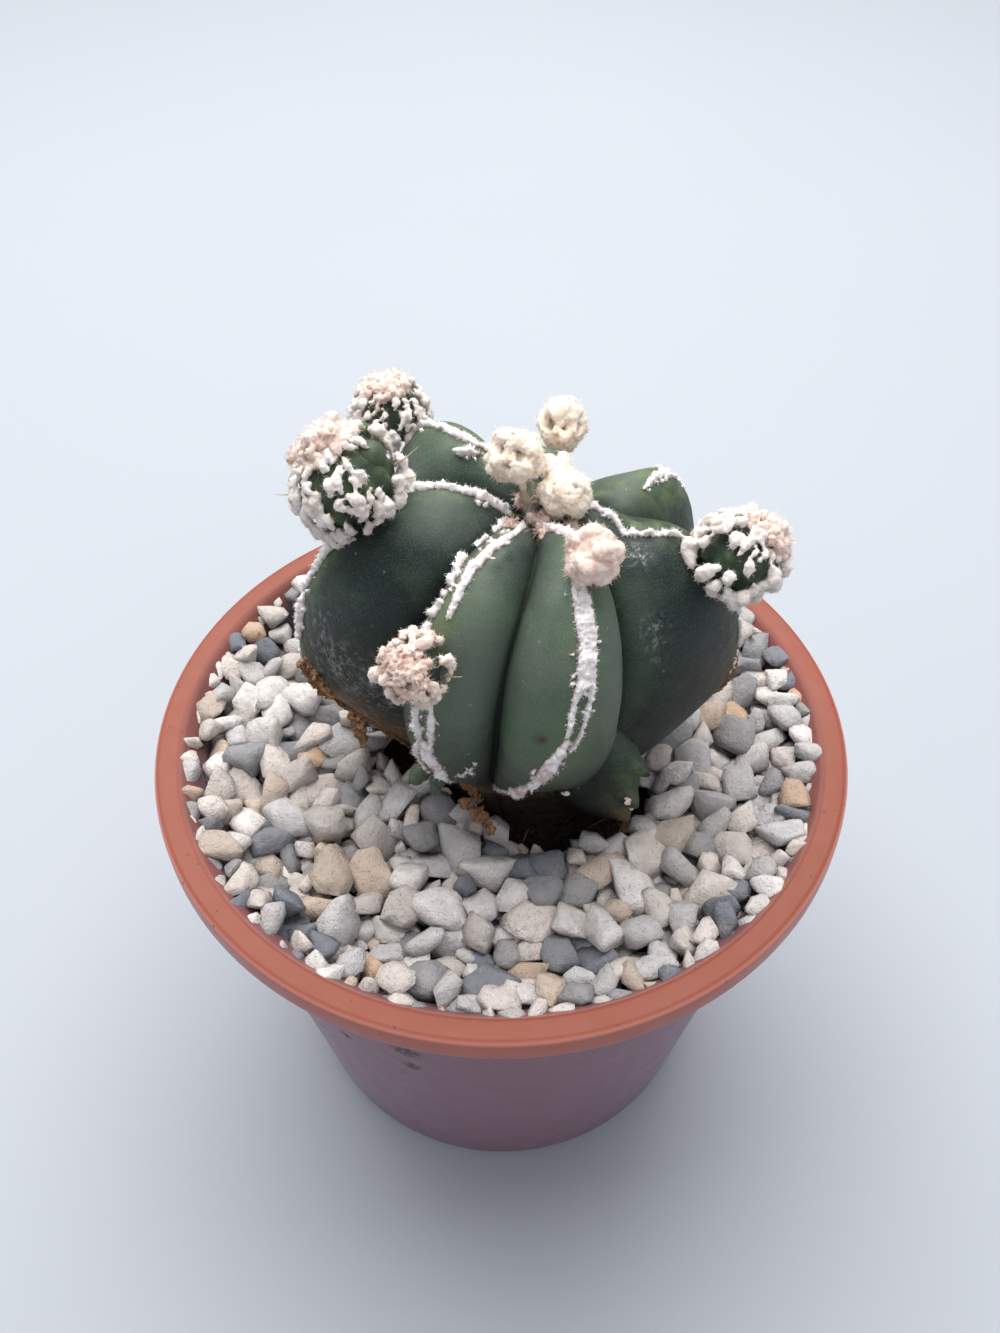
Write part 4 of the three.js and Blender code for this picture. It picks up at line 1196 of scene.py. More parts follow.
class Finishes:
    """Every material of the object, made once."""

    def __init__(self) -> None:
        """Builds the shared effects and the materials."""
        effects = Effects()
        self.skin = SkinFinish("green_skin", effects).material()
        self.felt = WoolFinish("white_felt", effects, bits=0.03, stained=0.34, aged=0.85).material()
        self.tuft = WoolFinish(
            "tuft_wool",
            effects,
            pale=(0.93, 0.88, 0.83),
            shade=(0.64, 0.54, 0.48),
            stain_and_shade=(0.20, 0.125, 0.10),
            stained=0.2,
            bits=0.02,
        ).material()
        self.beige = WoolFinish(
            "beige_wool",
            effects,
            pale=(0.86, 0.75, 0.67),
            shade=(0.62, 0.46, 0.38),
            stain_and_shade=(0.20, 0.11, 0.08),
            stained=0.25,
            bits=0.03,
        ).material()
        self.cap = WoolFinish(
            "blush_wool",
            effects,
            pale=(0.97, 0.87, 0.80),
            shade=(0.80, 0.60, 0.51),
            stain_and_shade=(0.36, 0.19, 0.14),
            stained=0.35,
            bits=0.06,
            patch=1.1,
        ).material()
        self.bud = WoolFinish(
            "cream_wool",
            effects,
            pale=(0.95, 0.86, 0.74),
            shade=(0.84, 0.69, 0.54),
            stain_and_shade=(0.13, 0.075, 0.045),
            stained=0.05,
            bits=0.16,
        ).material()
        self.peach = WoolFinish(
            "peach_wool",
            effects,
            pale=(0.95, 0.79, 0.70),
            shade=(0.80, 0.56, 0.46),
            stain_and_shade=(0.24, 0.11, 0.07),
            stained=0.12,
            bits=0.06,
        ).material()
        self.crown = WoolFinish(
            "crown_wool",
            effects,
            pale=(0.86, 0.74, 0.67),
            shade=(0.56, 0.34, 0.27),
            stain_and_shade=(0.20, 0.065, 0.045),
            stained=0.5,
            bits=0.1,
        ).material()
        self.dusk = WoolFinish(
            "dusky_wool",
            effects,
            pale=(0.84, 0.70, 0.62),
            shade=(0.60, 0.40, 0.33),
            stain_and_shade=(0.26, 0.12, 0.09),
            stained=0.35,
            bits=0.05,
        ).material()
        self.stone = StoneFinish("limestone_chips", effects).material()
        self.soil = EarthFinish("potting_soil", effects).material()
        self.cork = EarthFinish(
            "cork_crust",
            effects,
            dark=(0.13, 0.055, 0.022),
            light=(0.52, 0.30, 0.155),
            fleck=(0.07, 0.03, 0.015),
            flecks=0.3,
            blotch=1.6,
            depth=0.25,
            rough=0.8,
        ).material()
        self.bark = EarthFinish(
            "bark",
            effects,
            dark=(0.10, 0.04, 0.02),
            light=(0.30, 0.15, 0.07),
            fleck=(0.40, 0.27, 0.16),
            flecks=0.25,
            blotch=1.2,
            depth=0.25,
        ).material()
        self.plastic = PlasticFinish("terracotta_plastic", effects).material()
        self.spine = PlainFinish(
            "dry_spine",
            effects,
            first=(0.42, 0.33, 0.16),
            second=(0.55, 0.46, 0.28),
            blotch=1.0,
            rough=0.5,
        ).material()
        self.pearl = PlainFinish(
            "pale_bump",
            effects,
            first=(0.27, 0.15, 0.12),
            second=(0.42, 0.29, 0.23),
            blotch=1.2,
            rough=0.5,
        ).material()
        self.floor = PlainFinish(
            "pale_floor",
            effects,
            first=(0.35, 0.375, 0.41),
            second=(0.38, 0.405, 0.44),
            blotch=0.004,
            rough=0.75,
        ).material()


class StemForm:
    """Where the ribs, creases and flanks of the stem run."""

    def __init__(self) -> None:
        """Reads the tables."""
        self.ribs = [np.array(RIBS[name], dtype=float) for name in RIB_NAMES]
        self.creases = [np.array(line, dtype=float) for line in CREASES]

    @staticmethod
    def along(line: np.ndarray, v: np.ndarray) -> np.ndarray:
        """A smooth line through evenly spaced stations, at shares v of its length.

        Args:
            line: The stations, one to a row.
            v: Shares of the line's length, from 0 to 1.

        Returns:
            The line's values at those shares.
        """
        last = len(line) - 1
        place = np.clip(v, 0, 1) * last
        i = np.minimum(place.astype(int), last - 1)
        f = (place - i)[:, None]
        start, end = line[i], line[i + 1]
        before = np.where((i > 0)[:, None], line[np.maximum(i - 1, 0)], 2 * start - end)
        after = np.where((i < last - 1)[:, None], line[np.minimum(i + 2, last)], 2 * end - start)
        bend = 2 * before - 5 * start + 4 * end - after
        twist = 3 * start - before - 3 * end + after
        return start + 0.5 * f * (end - before + f * (bend + f * twist))

    def frame(self, line: np.ndarray, v: np.ndarray) -> tuple[np.ndarray, np.ndarray, np.ndarray]:
        """Where a ridge or crease runs: its points, the ways out of the stem and the ways round it.

        Args:
            line: The stations of a ridge or crease.
            v: Shares of its length.

        Returns:
            The points, the ways out and the ways round, each one to a row.
        """
        stations = self.along(line, v)
        turn = np.radians(stations[:, 0])
        ahead = self.along(line, np.minimum(v + 0.01, 1))
        behind = self.along(line, np.maximum(v - 0.01, 0))
        run = ahead[:, 1] - behind[:, 1]
        rise = ahead[:, 2] - behind[:, 2]
        length = np.hypot(run, rise)
        cos, sin = np.cos(turn), np.sin(turn)
        radius, height = stations[:, 1], stations[:, 2]
        point = np.stack([STEM_X + radius * cos, STEM_Y + radius * sin, POT_HEIGHT + height], axis=1)
        out = np.stack([-rise / length * cos, -rise / length * sin, run / length], axis=1)
        return point, out, np.stack([-sin, cos, np.zeros_like(cos)], axis=1)

    def flank(self, rib: int, side: int, v: np.ndarray, t: np.ndarray) -> np.ndarray:
        """Points across one flank, from the ridge down into the crease.

        Args:
            rib: Which rib, counted from the left one.
            side: 1 towards the larger bearing and -1 towards the smaller.
            v: Shares of the way from crown to neck.
            t: Shares of the way from ridge to crease.

        Returns:
            Points by v and by t.
        """
        crease = self.creases[rib if side > 0 else rib - 1]
        ridge, out, way_round = self.frame(self.ribs[rib], v)
        valley, valley_out, valley_round = self.frame(crease, v)
        span = np.linalg.norm(ridge - valley, axis=1)[:, None]
        roundness = self.along(self.ribs[rib], v)[:, 4 if side > 0 else 3][:, None]
        fullness = self.along(crease, v)[:, 3][:, None]
        shoulder = ridge + way_round * side * span * roundness - out * span * RIDGE_DROP
        cheek = valley + valley_out * span * fullness - valley_round * side * span * CREASE_SPREAD
        t = np.asarray(t, dtype=float)[None, :, None]
        a, b, c, d = (p[:, None, :] for p in (ridge, shoulder, cheek, valley))
        return (1 - t) ** 3 * a + 3 * (1 - t) ** 2 * t * b + 3 * (1 - t) * t * t * c + t**3 * d

    def beside(self, rib: int, v: np.ndarray, shift: np.ndarray) -> np.ndarray:
        """Points at distances round the rib from its ridge, by v and by shift.

        Args:
            rib: The rib's number.
            v: Shares of the ridge's length.
            shift: Distances round the rib, in millimetres.

        Returns:
            The points, by v and by shift.
        """
        t = np.linspace(0, 1, 61)
        made = np.zeros((len(v), len(shift), 3))
        for side in (-1, 1):
            curve = self.flank(rib, side, v, t)
            steps = np.linalg.norm(np.diff(curve, axis=1), axis=2)
            walked = np.concatenate([np.zeros((len(v), 1)), np.cumsum(steps, axis=1)], axis=1)
            columns = np.where(shift < 0)[0] if side < 0 else np.where(shift >= 0)[0]
            for row in range(len(v)):
                for axis in range(3):
                    made[row, columns, axis] = np.interp(
                        np.abs(shift[columns]), walked[row], curve[row, :, axis]
                    )
        return made


@dataclass(frozen=True)
class Patch:
    """A place on the stem where a stored number is raised."""

    at: Place
    radius: float
    amount: float = 1.0


@dataclass
class Stem:
    """The cactus body: seven ribs on a neck, and a low side lobe."""

    form: StemForm
    rows: int = 120
    flank_steps: int = 15
    lobe_bearing: float = 308.0
    lobe_radius: float = 11.9
    lobe_height: float = 5.2
    lobe_reach: float = 8.1
    lobe_half_width: float = 6.2
    lobe_half_height: float = 9.4
    lobe_lean: float = 1.5
    lobe_pinch: float = 0.35
    lobe_rows: int = 56
    lobe_sides: int = 84
    lobe_tip_width: float = 1.15
    lobe_tips: tuple[tuple[Place, float], ...] = (
        ((16.3, -13.4, 74.2), 2.6),
        ((15.2, -15.9, 70.2), 2.2),
        ((14.4, -15.2, 66.4), 1.6),
    )
    dust: tuple[Patch, ...] = (
        Patch((-19.0, -5.7, 82.4), 5.5, 0.75),
        Patch((-16.0, -7.0, 79.0), 4.5, 0.7),
        Patch((-21.5, -4.0, 88.0), 4.0, 0.5),
        Patch((16.7, -10.0, 93.5), 1.3, 1.1),
        Patch((16.9, -10.3, 91.6), 1.1, 1.0),
        Patch((17.0, -10.5, 89.8), 0.9, 0.9),
        Patch((15.0, -5.4, 100.0), 1.1, 1.4),
        Patch((-12.5, -3.0, 103.0), 1.2, 0.6),
    )
    tan: tuple[Patch, ...] = (
        Patch((-24.0, -1.2, 77.5), 2.6, 1.2),
        Patch((-20.5, -2.6, 74.0), 3.4, 1.2),
        Patch((-17.0, -2.6, 71.0), 3.8, 1.3),
        Patch((-13.5, -3.6, 69.0), 4.2, 1.2),
        Patch((-9.0, -8.5, 67.5), 4.0, 1.0),
        Patch((-4.5, -13.5, 68.5), 3.4, 0.9),
        Patch((26.8, -2.4, 79.0), 1.5, 0.7),
        Patch((14.6, -15.6, 67.5), 1.6, 0.8),
        Patch((-17.2, -5.2, 74.0), 2.6, 0.9),
        Patch((-13.6, -7.2, 71.0), 2.6, 0.8),
    )
    pits: tuple[Patch, ...] = (
        Patch((4.2, -21.7, 88.7), 0.55, 1.2),
        Patch((-3.8, -21.4, 82.5), 0.4, 0.8),
        Patch((-6.2, -20.9, 86.8), 0.35, 0.6),
    )
    pit_depth: float = 0.22
    bumps: tuple[Patch, ...] = (
        Patch((0.5, -9.3, 103.6), 0.55, 0.42),
        Patch((-0.7, -10.7, 103.7), 0.55, 0.3),
        Patch((-15.5, -5.5, 84.0), 0.55, 0.3),
    )
    fresh_spot: Patch = Patch((20.0, 12.5, 97.0), 8.0, 0.75)

    def rings(self) -> np.ndarray:
        """The rows of the body from the crown to the root end.

        Returns:
            The points, by row and by place round the row.
        """
        v = np.linspace(0, 1, self.rows + 1)
        steps = np.arange(self.flank_steps + 1) / self.flank_steps
        parts = []
        for rib in range(len(RIB_NAMES)):
            parts.append(self.form.flank(rib, -1, v, steps)[:, :0:-1])
            parts.append(self.form.flank(rib, 1, v, steps)[:, :-1])
        body = np.concatenate(parts, axis=1)
        lowest = body[-1]
        bearing = np.arctan2(lowest[:, 1] - STEM_Y, lowest[:, 0] - STEM_X)
        rings = [body]
        for radius, height in ((NECK_RADIUS, SOIL_TOP - POT_HEIGHT), (ROOT_RADIUS, NECK_BOTTOM)):
            ring = np.stack(
                [
                    STEM_X + radius * np.cos(bearing),
                    STEM_Y + radius * np.sin(bearing),
                    np.full_like(bearing, POT_HEIGHT + height),
                ],
                axis=1,
            )
            rings.append(ring[None])
        return np.concatenate(rings)

    def lobe(self) -> tuple[np.ndarray, list]:
        """The side lobe: a pinched ellipsoid with three low points on its edge.

        Returns:
            The points and the faces.
        """
        rings = ball_rings(self.lobe_rows, self.lobe_sides)
        ball = np.concatenate([rings.reshape(-1, 3), POLES])
        bearing = math.radians(self.lobe_bearing)
        out = np.array([math.cos(bearing), math.sin(bearing), 0.0])
        way_round = np.array([-math.sin(bearing), math.cos(bearing), 0.0])
        centre = over_rim(STEM_X, STEM_Y, self.lobe_height) + out * self.lobe_radius
        width = self.lobe_half_width * (1 - self.lobe_pinch * np.maximum(ball[:, 0], 0))
        points = centre + out * (ball[:, :1] * self.lobe_reach)
        points = points + way_round * (ball[:, 1] * width)[:, None]
        points[:, 2] += ball[:, 2] * self.lobe_half_height - self.lobe_lean * ball[:, 0]
        for tip, reach in self.lobe_tips:
            points += out * (reach * nearness(points, tip, self.lobe_tip_width))[:, None]
        return loft(points[:-2].reshape(rings.shape), points[-2], points[-1])

    def build(self, material: bpy.types.Material) -> bpy.types.Object:
        """Makes the body, with the numbers that its skin is coloured by.

        Args:
            material: The skin's finish.

        Returns:
            The finished body.
        """
        rings = self.rings()
        crown = np.array([STEM_X, STEM_Y, rings[0, :, 2].mean() - 0.2])
        foot = over_rim(STEM_X, STEM_Y, NECK_BOTTOM)
        shapes = Shapes()
        shapes.add(*loft(rings, crown, foot))
        start = len(shapes.points)
        shapes.add(*self.lobe())
        stem = shapes.made("cactus_stem")
        self.shape_skin(stem.data, start)
        self.store_colours(stem.data, rings, start)
        return finish_piece(stem, ("stem",), material)

    def shape_skin(self, mesh: bpy.types.Mesh, start: int) -> None:
        """Gives the smooth body its gentle unevenness, its pits and its low bumps.

        Args:
            mesh: The body's mesh.
            start: The number of the side lobe's first point.
        """
        points = mesh_points(mesh)
        move = 0.10 * cloud(points, 7.0, 3) + 0.035 * cloud(points, 1.6, 5)
        move[start:] += 0.18 * cloud(points[start:], 2.2, 9)
        for pit in self.pits:
            move -= self.pit_depth * nearness(points, pit.at, pit.radius)
        for bump in self.bumps:
            move += bump.amount * nearness(points, bump.at, bump.radius)
        move += 0.32 * self.patchwork(points, self.tan) * np.abs(cloud(points, 1.4, 13, 3))
        push_out(mesh, move)

    @staticmethod
    def patchwork(points: np.ndarray, patches: Sequence[Patch]) -> np.ndarray:
        """How strongly each point lies in the patches, from 0 to 1.

        Args:
            points: The points that are looked at.
            patches: The patches.

        Returns:
            The strength at each point.
        """
        total = np.zeros(len(points))
        for patch in patches:
            total = np.maximum(total, patch.amount * nearness(points, patch.at, patch.radius))
        return np.clip(total, 0, 1)

    def store_colours(self, mesh: bpy.types.Mesh, rings: np.ndarray, start: int) -> None:
        """Stores how near each vertex is to a ridge or crease, which sets the fresh ridges and the painted
        shade in the creases, and its dust, cork, pits and painted light and shade.

        Args:
            mesh: The body's mesh.
            rings: The rows it was made from.
            start: The number of the side lobe's first point.
        """
        points = mesh_points(mesh)
        count = len(RIB_NAMES) * 2 * self.flank_steps
        place = np.arange(count) % (2 * self.flank_steps)
        from_ridge = np.abs(place - self.flank_steps) / self.flank_steps
        ridge_ring = np.exp(-((from_ridge / 0.16) ** 2))
        crease_ring = np.exp(-(((1 - from_ridge) / 0.10) ** 2))
        v = np.concatenate([np.linspace(0, 1, self.rows + 1), [1.0, 1.0]])
        ridge, crease, low = np.zeros((3, len(points)))
        body = len(rings) * count
        ridge[:body] = (ramp(-v, -0.85, 0.3)[:, None] * ridge_ring[None]).reshape(-1)
        ridge[start:] = ramp(points[start:, 0] - points[start:, 1], 27, 6, 0.7)
        fresh = self.fresh_spot
        ridge = np.clip(ridge + fresh.amount * nearness(points, fresh.at, fresh.radius), 0, 1)
        # The crease number paints shade into the creases, weaker near the crown.
        deep = np.maximum(ramp(v, 0.12, 0.2), 0.25)
        crease[:body] = (deep[:, None] * crease_ring[None]).reshape(-1)
        low[:body] = ramp(np.repeat(v, count), 0.82, 0.1)
        set_skin(
            mesh,
            ridge=ridge,
            crease=crease,
            tan=np.maximum(self.patchwork(points, self.tan), 0.8 * low),
            lit=self.lightness(points),
            dust=self.patchwork(points, self.dust),
            pit=self.patchwork(points, self.pits),
        )

    @staticmethod
    def lightness(points: np.ndarray) -> np.ndarray:
        """How light the green is painted: painted light on the front of the ribs, on top and towards the
        back, and painted shade on the right flank.

        Args:
            points: Places on the stem.

        Returns:
            One number for each point.
        """
        x, y, z = points.T
        front = ramp(-y, 5, 9) * ramp(z, 72, 16) * ramp(-np.abs(x - 3), -15, 5)
        crown = np.maximum(0.7 * ramp(z, 100.5, 5), ramp(y, 4, 8, 0.8) * ramp(z, 92, 8))
        shaded = ramp(x, 17, 5) * ramp(y, -13, 6) * ramp(z, 76, 6) * ramp(-z, -100, 4)
        return np.maximum(front, crown) - 0.13 * shaded


@dataclass(frozen=True)
class Strip:
    """One line of wool on a rib, with how high it stands and how uneven its edge is.

    Each station is the share of the way down the rib, the distance from the ridge and the width.
    """

    stations: tuple[tuple[float, float, float], ...]
    height: float = 0.75
    ragged: float = 1.0


@dataclass(frozen=True)
class FeltLine:
    """The wool of one CAD band: its rib and its strips."""

    node: str
    rib: str
    strips: tuple[Strip, ...]
    seed: int = 1


FELT_LINES = (
    FeltLine(
        "felt_left_upper",
        "left",
        (
            Strip(
                (
                    (0.03, 0.4, 1.3), (0.085, 0.2, 1.35), (0.11, 0.1, 1.3), (0.158, 0.1, 1.1),
                    (0.208, 0.1, 1.0), (0.253, -0.1, 1.0), (0.29, 0.0, 1.0),
                ),
            ),
            Strip(((0.035, -1.5, 0.5), (0.06, -1.8, 0.6), (0.092, -1.9, 0.5), (0.12, -1.8, 0.45)), 0.5),
            Strip(((0.148, -1.4, 0.4), (0.158, -1.4, 0.4)), 0.35),
        ),
        1,
    ),
    FeltLine(
        "felt_left_lower",
        "left",
        (
            Strip(
                (
                    (0.375, 0.2, 1.3), (0.405, 0.5, 1.5), (0.427, 0.5, 1.4), (0.46, 0.4, 1.1),
                    (0.478, 0.3, 0.7),
                ),
            ),
            Strip(((0.49, 0.4, 1.0), (0.51, 0.6, 1.6), (0.535, 0.7, 1.7), (0.56, 0.6, 1.1))),
            Strip(((0.60, 0.2, 0.7), (0.63, 0.2, 0.8), (0.66, 0.2, 0.6)), 0.5),
        ),
        2,
    ),
    FeltLine(
        "felt_front_left_outer",
        "frontLeft",
        (
            Strip(((0.040, -1.2, 0.7), (0.07, -1.6, 1.0), (0.1, -2.0, 1.0), (0.118, -2.2, 0.8)), 1.0, 0.35),
            Strip(((0.148, -2.4, 0.7), (0.168, -2.6, 0.8), (0.186, -2.7, 0.7)), 0.9, 0.35),
            Strip(
                (
                    (0.224, -2.5, 0.9), (0.245, -2.1, 1.2), (0.268, -1.5, 1.2), (0.285, -1.2, 1.0),
                ), 1.0, 0.35,
            ),
            Strip(((0.307, -1.0, 0.7), (0.313, -1.0, 0.7)), 0.8, 0.35),
            Strip(((0.329, -0.95, 0.9), (0.345, -1.1, 1.05), (0.360, -1.2, 0.85)), 1.0, 0.35),
            Strip(((0.385, -1.2, 0.8), (0.40, -1.0, 0.95), (0.425, -0.5, 0.9)), 1.0, 0.5),
        ),
        3,
    ),
    FeltLine(
        "felt_front_left_inner",
        "frontLeft",
        (
            Strip(
                (
                    (0.03, 0.9, 0.7), (0.06, 1.25, 0.95), (0.095, 1.4, 1.05), (0.135, 1.0, 1.25),
                    (0.177, 0.55, 1.3), (0.208, 0.5, 1.35), (0.242, 0.35, 1.3), (0.278, 0.45, 1.15),
                    (0.31, 0.6, 1.05), (0.352, 0.6, 0.75),
                ),
            ),
        ),
        4,
    ),
    FeltLine(
        "felt_front_left_lower",
        "frontLeft",
        (
            Strip(
                (
                    (0.535, -1.0, 0.8), (0.583, -1.2, 1.0), (0.62, -1.1, 1.0), (0.657, -1.15, 1.0),
                    (0.695, -1.9, 0.9),
                ),
            ),
            Strip(((0.535, 0.8, 0.8), (0.598, 0.8, 0.95), (0.63, 0.6, 0.9), (0.668, 0.25, 0.9))),
            Strip(
                (
                    (0.662, -0.5, 1.7), (0.70, -0.3, 2.1), (0.72, 0.5, 1.9), (0.74, 0.8, 1.7),
                    (0.78, 0.6, 1.6), (0.83, 0.1, 1.5), (0.865, 0.0, 1.1),
                ), 0.6,
            ),
            Strip(((0.69, -2.5, 0.8), (0.715, -3.0, 0.9), (0.745, -2.5, 0.8), (0.775, -1.2, 0.9)), 0.5),
            Strip(((0.657, 6.8, 0.35), (0.675, 6.0, 0.5), (0.69, 5.3, 0.5)), 0.4),
            Strip(((0.70, 4.8, 0.35), (0.72, 4.0, 0.45), (0.738, 2.7, 0.6)), 0.4),
        ),
        5,
    ),
    FeltLine(
        "felt_front_right_upper",
        "frontRight",
        (
            Strip(
                (
                    (0.045, -0.7, 0.9), (0.062, -0.7, 1.2), (0.107, -0.2, 1.4), (0.15, 0.3, 1.3),
                    (0.185, 0.4, 1.2),
                ),
            ),
        ),
        6,
    ),
    FeltLine(
        "felt_front_right_lower",
        "frontRight",
        (
            Strip(
                (
                    (0.27, -0.7, 1.5), (0.30, -0.6, 1.9), (0.343, -0.3, 2.0), (0.378, -0.1, 2.1),
                    (0.415, -0.1, 2.0), (0.443, -0.15, 2.0), (0.472, -0.1, 1.9),
                ), 0.85,
            ),
            Strip(
                (
                    (0.455, -0.55, 1.0), (0.485, -0.75, 1.0), (0.512, -0.9, 0.95), (0.547, -0.85, 0.85),
                    (0.58, -0.75, 0.7),
                ),
            ),
            Strip(
                (
                    (0.455, 0.6, 0.8), (0.49, 0.75, 0.75), (0.54, 0.7, 0.75), (0.578, 0.6, 0.65),
                    (0.612, 0.1, 0.7),
                ),
            ),
            Strip(
                (
                    (0.592, -0.6, 1.0), (0.628, -1.2, 1.7), (0.647, -1.3, 2.1), (0.67, -1.3, 2.3),
                    (0.703, -1.2, 2.0), (0.722, -1.5, 1.3),
                ), 0.7,
            ),
            Strip(
                (
                    (0.735, -2.2, 1.5), (0.755, -1.9, 2.4), (0.775, -1.7, 2.8), (0.79, -1.7, 2.2),
                ), 0.65, 1.5,
            ),
            Strip(
                (
                    (0.805, -1.8, 2.0), (0.825, -2.1, 2.8), (0.85, -2.5, 2.6), (0.875, -2.9, 1.8),
                ), 0.6, 1.6,
            ),
            Strip(((0.80, -4.3, 0.8), (0.82, -4.8, 1.2), (0.84, -5.2, 0.9)), 0.5, 1.4),
        ),
        7,
    ),
    FeltLine(
        "felt_right_upper",
        "right",
        (
            Strip(
                (
                    (0.085, 0.0, 0.95), (0.11, -0.1, 1.0), (0.152, -0.4, 1.0), (0.182, -0.8, 0.95),
                    (0.208, -1.6, 0.9), (0.225, -2.2, 0.9), (0.25, -1.8, 1.0), (0.29, -1.2, 0.95),
                    (0.323, -0.7, 0.9), (0.36, -0.5, 0.95),
                ),
            ),
        ),
        8,
    ),
    FeltLine(
        "felt_right_lower",
        "right",
        (
            Strip(((0.50, -0.3, 1.0), (0.53, -0.4, 1.1), (0.555, -0.4, 0.8)), 0.6),
            Strip(((0.575, -0.4, 0.8), (0.605, -0.4, 1.0), (0.635, -0.3, 0.7)), 0.5),
            Strip(((0.66, -0.3, 0.6), (0.70, -0.3, 0.8), (0.735, -0.3, 0.6)), 0.45),
        ),
        9,
    ),
    FeltLine(
        "felt_back_right",
        "backRight",
        (
            Strip(((0.325, -2.1, 0.6), (0.34, -1.8, 0.75)), 0.5),
            Strip(((0.352, -1.5, 0.8), (0.385, -1.0, 1.0), (0.413, -1.1, 0.9), (0.43, -1.0, 0.8))),
            Strip(((0.445, -0.9, 0.85), (0.468, -0.9, 0.85)), 0.6),
            Strip(((0.49, -1.0, 0.5), (0.515, -1.3, 0.5)), 0.4),
            Strip(((0.425, 0.1, 0.4), (0.44, 0.1, 0.4)), 0.4),
            Strip(((0.46, 0.2, 0.45), (0.475, 0.2, 0.45)), 0.4),
            Strip(((0.50, 0.2, 0.4), (0.54, 0.1, 0.5)), 0.4),
        ),
        10,
    ),
    FeltLine("felt_back", "back", (Strip(((0.10, 0.0, 0.9), (0.14, 0.2, 1.1), (0.20, 0.0, 0.9))),), 11),
    FeltLine(
        "felt_back_left",
        "backLeft",
        (
            Strip(
                (
                    (0.12, -0.2, 0.8), (0.158, -0.3, 1.0), (0.19, 0.3, 1.05), (0.238, 0.6, 1.1),
                    (0.305, 0.8, 1.1), (0.39, 0.6, 1.1), (0.43, 0.4, 1.0),
                ),
            ),
            Strip(((0.155, 1.0, 0.6), (0.175, 1.5, 1.1), (0.195, 2.1, 1.3), (0.22, 2.7, 0.8)), 0.9),
        ),
        12,
    ),
)


@dataclass
class FibreCoat:
    """Short bent fibres that stand on wool, grown by a Geometry Nodes tree."""

    length_spread: tuple[float, float] = (0.45, 1.1)
    tree: Tree = field(init=False)
    fibre: bpy.types.Object = field(init=False)

    def __post_init__(self) -> None:
        """Builds one fibre and the tree that sets it on a surface."""
        self.fibre = self.one_fibre()
        self.tree = self.coat_tree()

    @staticmethod
    def one_fibre() -> bpy.types.Object:
        """A three-sided fibre a millimetre long and a tenth of that across, thickest near its foot.

        Returns:
            The fibre, which isn't part of the scene's pieces.
        """
        turn = np.radians([0.0, 120.0, 240.0])
        ring = np.stack([0.055 * np.cos(turn) + 0.02, 0.055 * np.sin(turn), 0 * turn + 0.3], axis=1)
        points, faces = loft(ring[None], np.array([0.07, 0.0, 1.0]), np.array([0.0, 0.0, -0.1]))
        return mesh_object("wool_fibre", points, faces, smooth=False)

    def coat_tree(self) -> Tree:
        """The tree: points on the faces, one fibre on each, realized and dressed.

        Returns:
            The tree.
        """
        inputs = {
            "Fibre": Socket.OBJECT,
            "Density": Socket.NUMBER,
            "Length": Socket.NUMBER,
            "Thickness": Socket.NUMBER,
            "Lean": Socket.NUMBER,
            "Seed": Socket.WHOLE,
            "Material": Socket.MATERIAL,
        }
        tree = Tree.for_geometry("wool_fibres", inputs)
        start = tree.start.outputs
        spots = tree.strewn()
        scatter = tree.random((-1.0, -1.0, -1.0), (1.0, 1.0, 1.0))
        lean = tree.add("ShaderNodeVectorMath", {0: scatter, "Scale": start["Lean"]}, operation="SCALE")
        way = tree.vector_maths("ADD", spots.outputs["Normal"], lean.outputs[0])
        turned = tree.add("FunctionNodeAlignRotationToVector", {"Vector": way}, axis="Z").outputs[0]
        spin = {"Axis": (0.0, 0.0, 1.0), "Angle": tree.random(0.0, 2 * math.pi)}
        spun = tree.add("FunctionNodeAxisAngleToRotation", spin).outputs[0]
        both = tree.add("FunctionNodeRotateRotation", {0: turned, 1: spun}, rotation_space="LOCAL")
        length = tree.maths("MULTIPLY", tree.random(*self.length_spread), start["Length"])
        sizes = tree.add("ShaderNodeCombineXYZ", {0: start["Thickness"], 1: start["Thickness"], 2: length})
        fibre = tree.add("GeometryNodeObjectInfo", {"Object": start["Fibre"]}).outputs["Geometry"]
        stood = tree.instances(spots.outputs["Points"], fibre, both.outputs[0], sizes.outputs[0])
        joined = tree.add("GeometryNodeJoinGeometry", {0: stood.outputs[0]})
        tree.feed(joined.inputs[0], start["Geometry"])
        tree.end_dressed(joined.outputs[0])
        return tree

    def put_on(
        self,
        piece: bpy.types.Object,
        material: bpy.types.Material,
        density: float,
        length: float,
        thickness: float,
        lean: float,
        seed: int,
    ) -> None:
        """Grows fibres on a piece whose mesh is still in millimetres.

        Args:
            piece: The wool that the fibres stand on.
            material: The finish of the wool and its fibres.
            density: Fibres to a square millimetre.
            length: Length of a fibre.
            thickness: How thick it is, in tenths of a millimetre.
            lean: How far fibres lean from upright, as a share of their length.
            seed: Chooses their places.
        """
        values = {
            "Fibre": self.fibre,
            "Density": density,
            "Length": length,
            "Thickness": thickness,
            "Lean": lean,
            "Seed": seed,
            "Material": material,
        }
        grow(piece, self.tree, values)


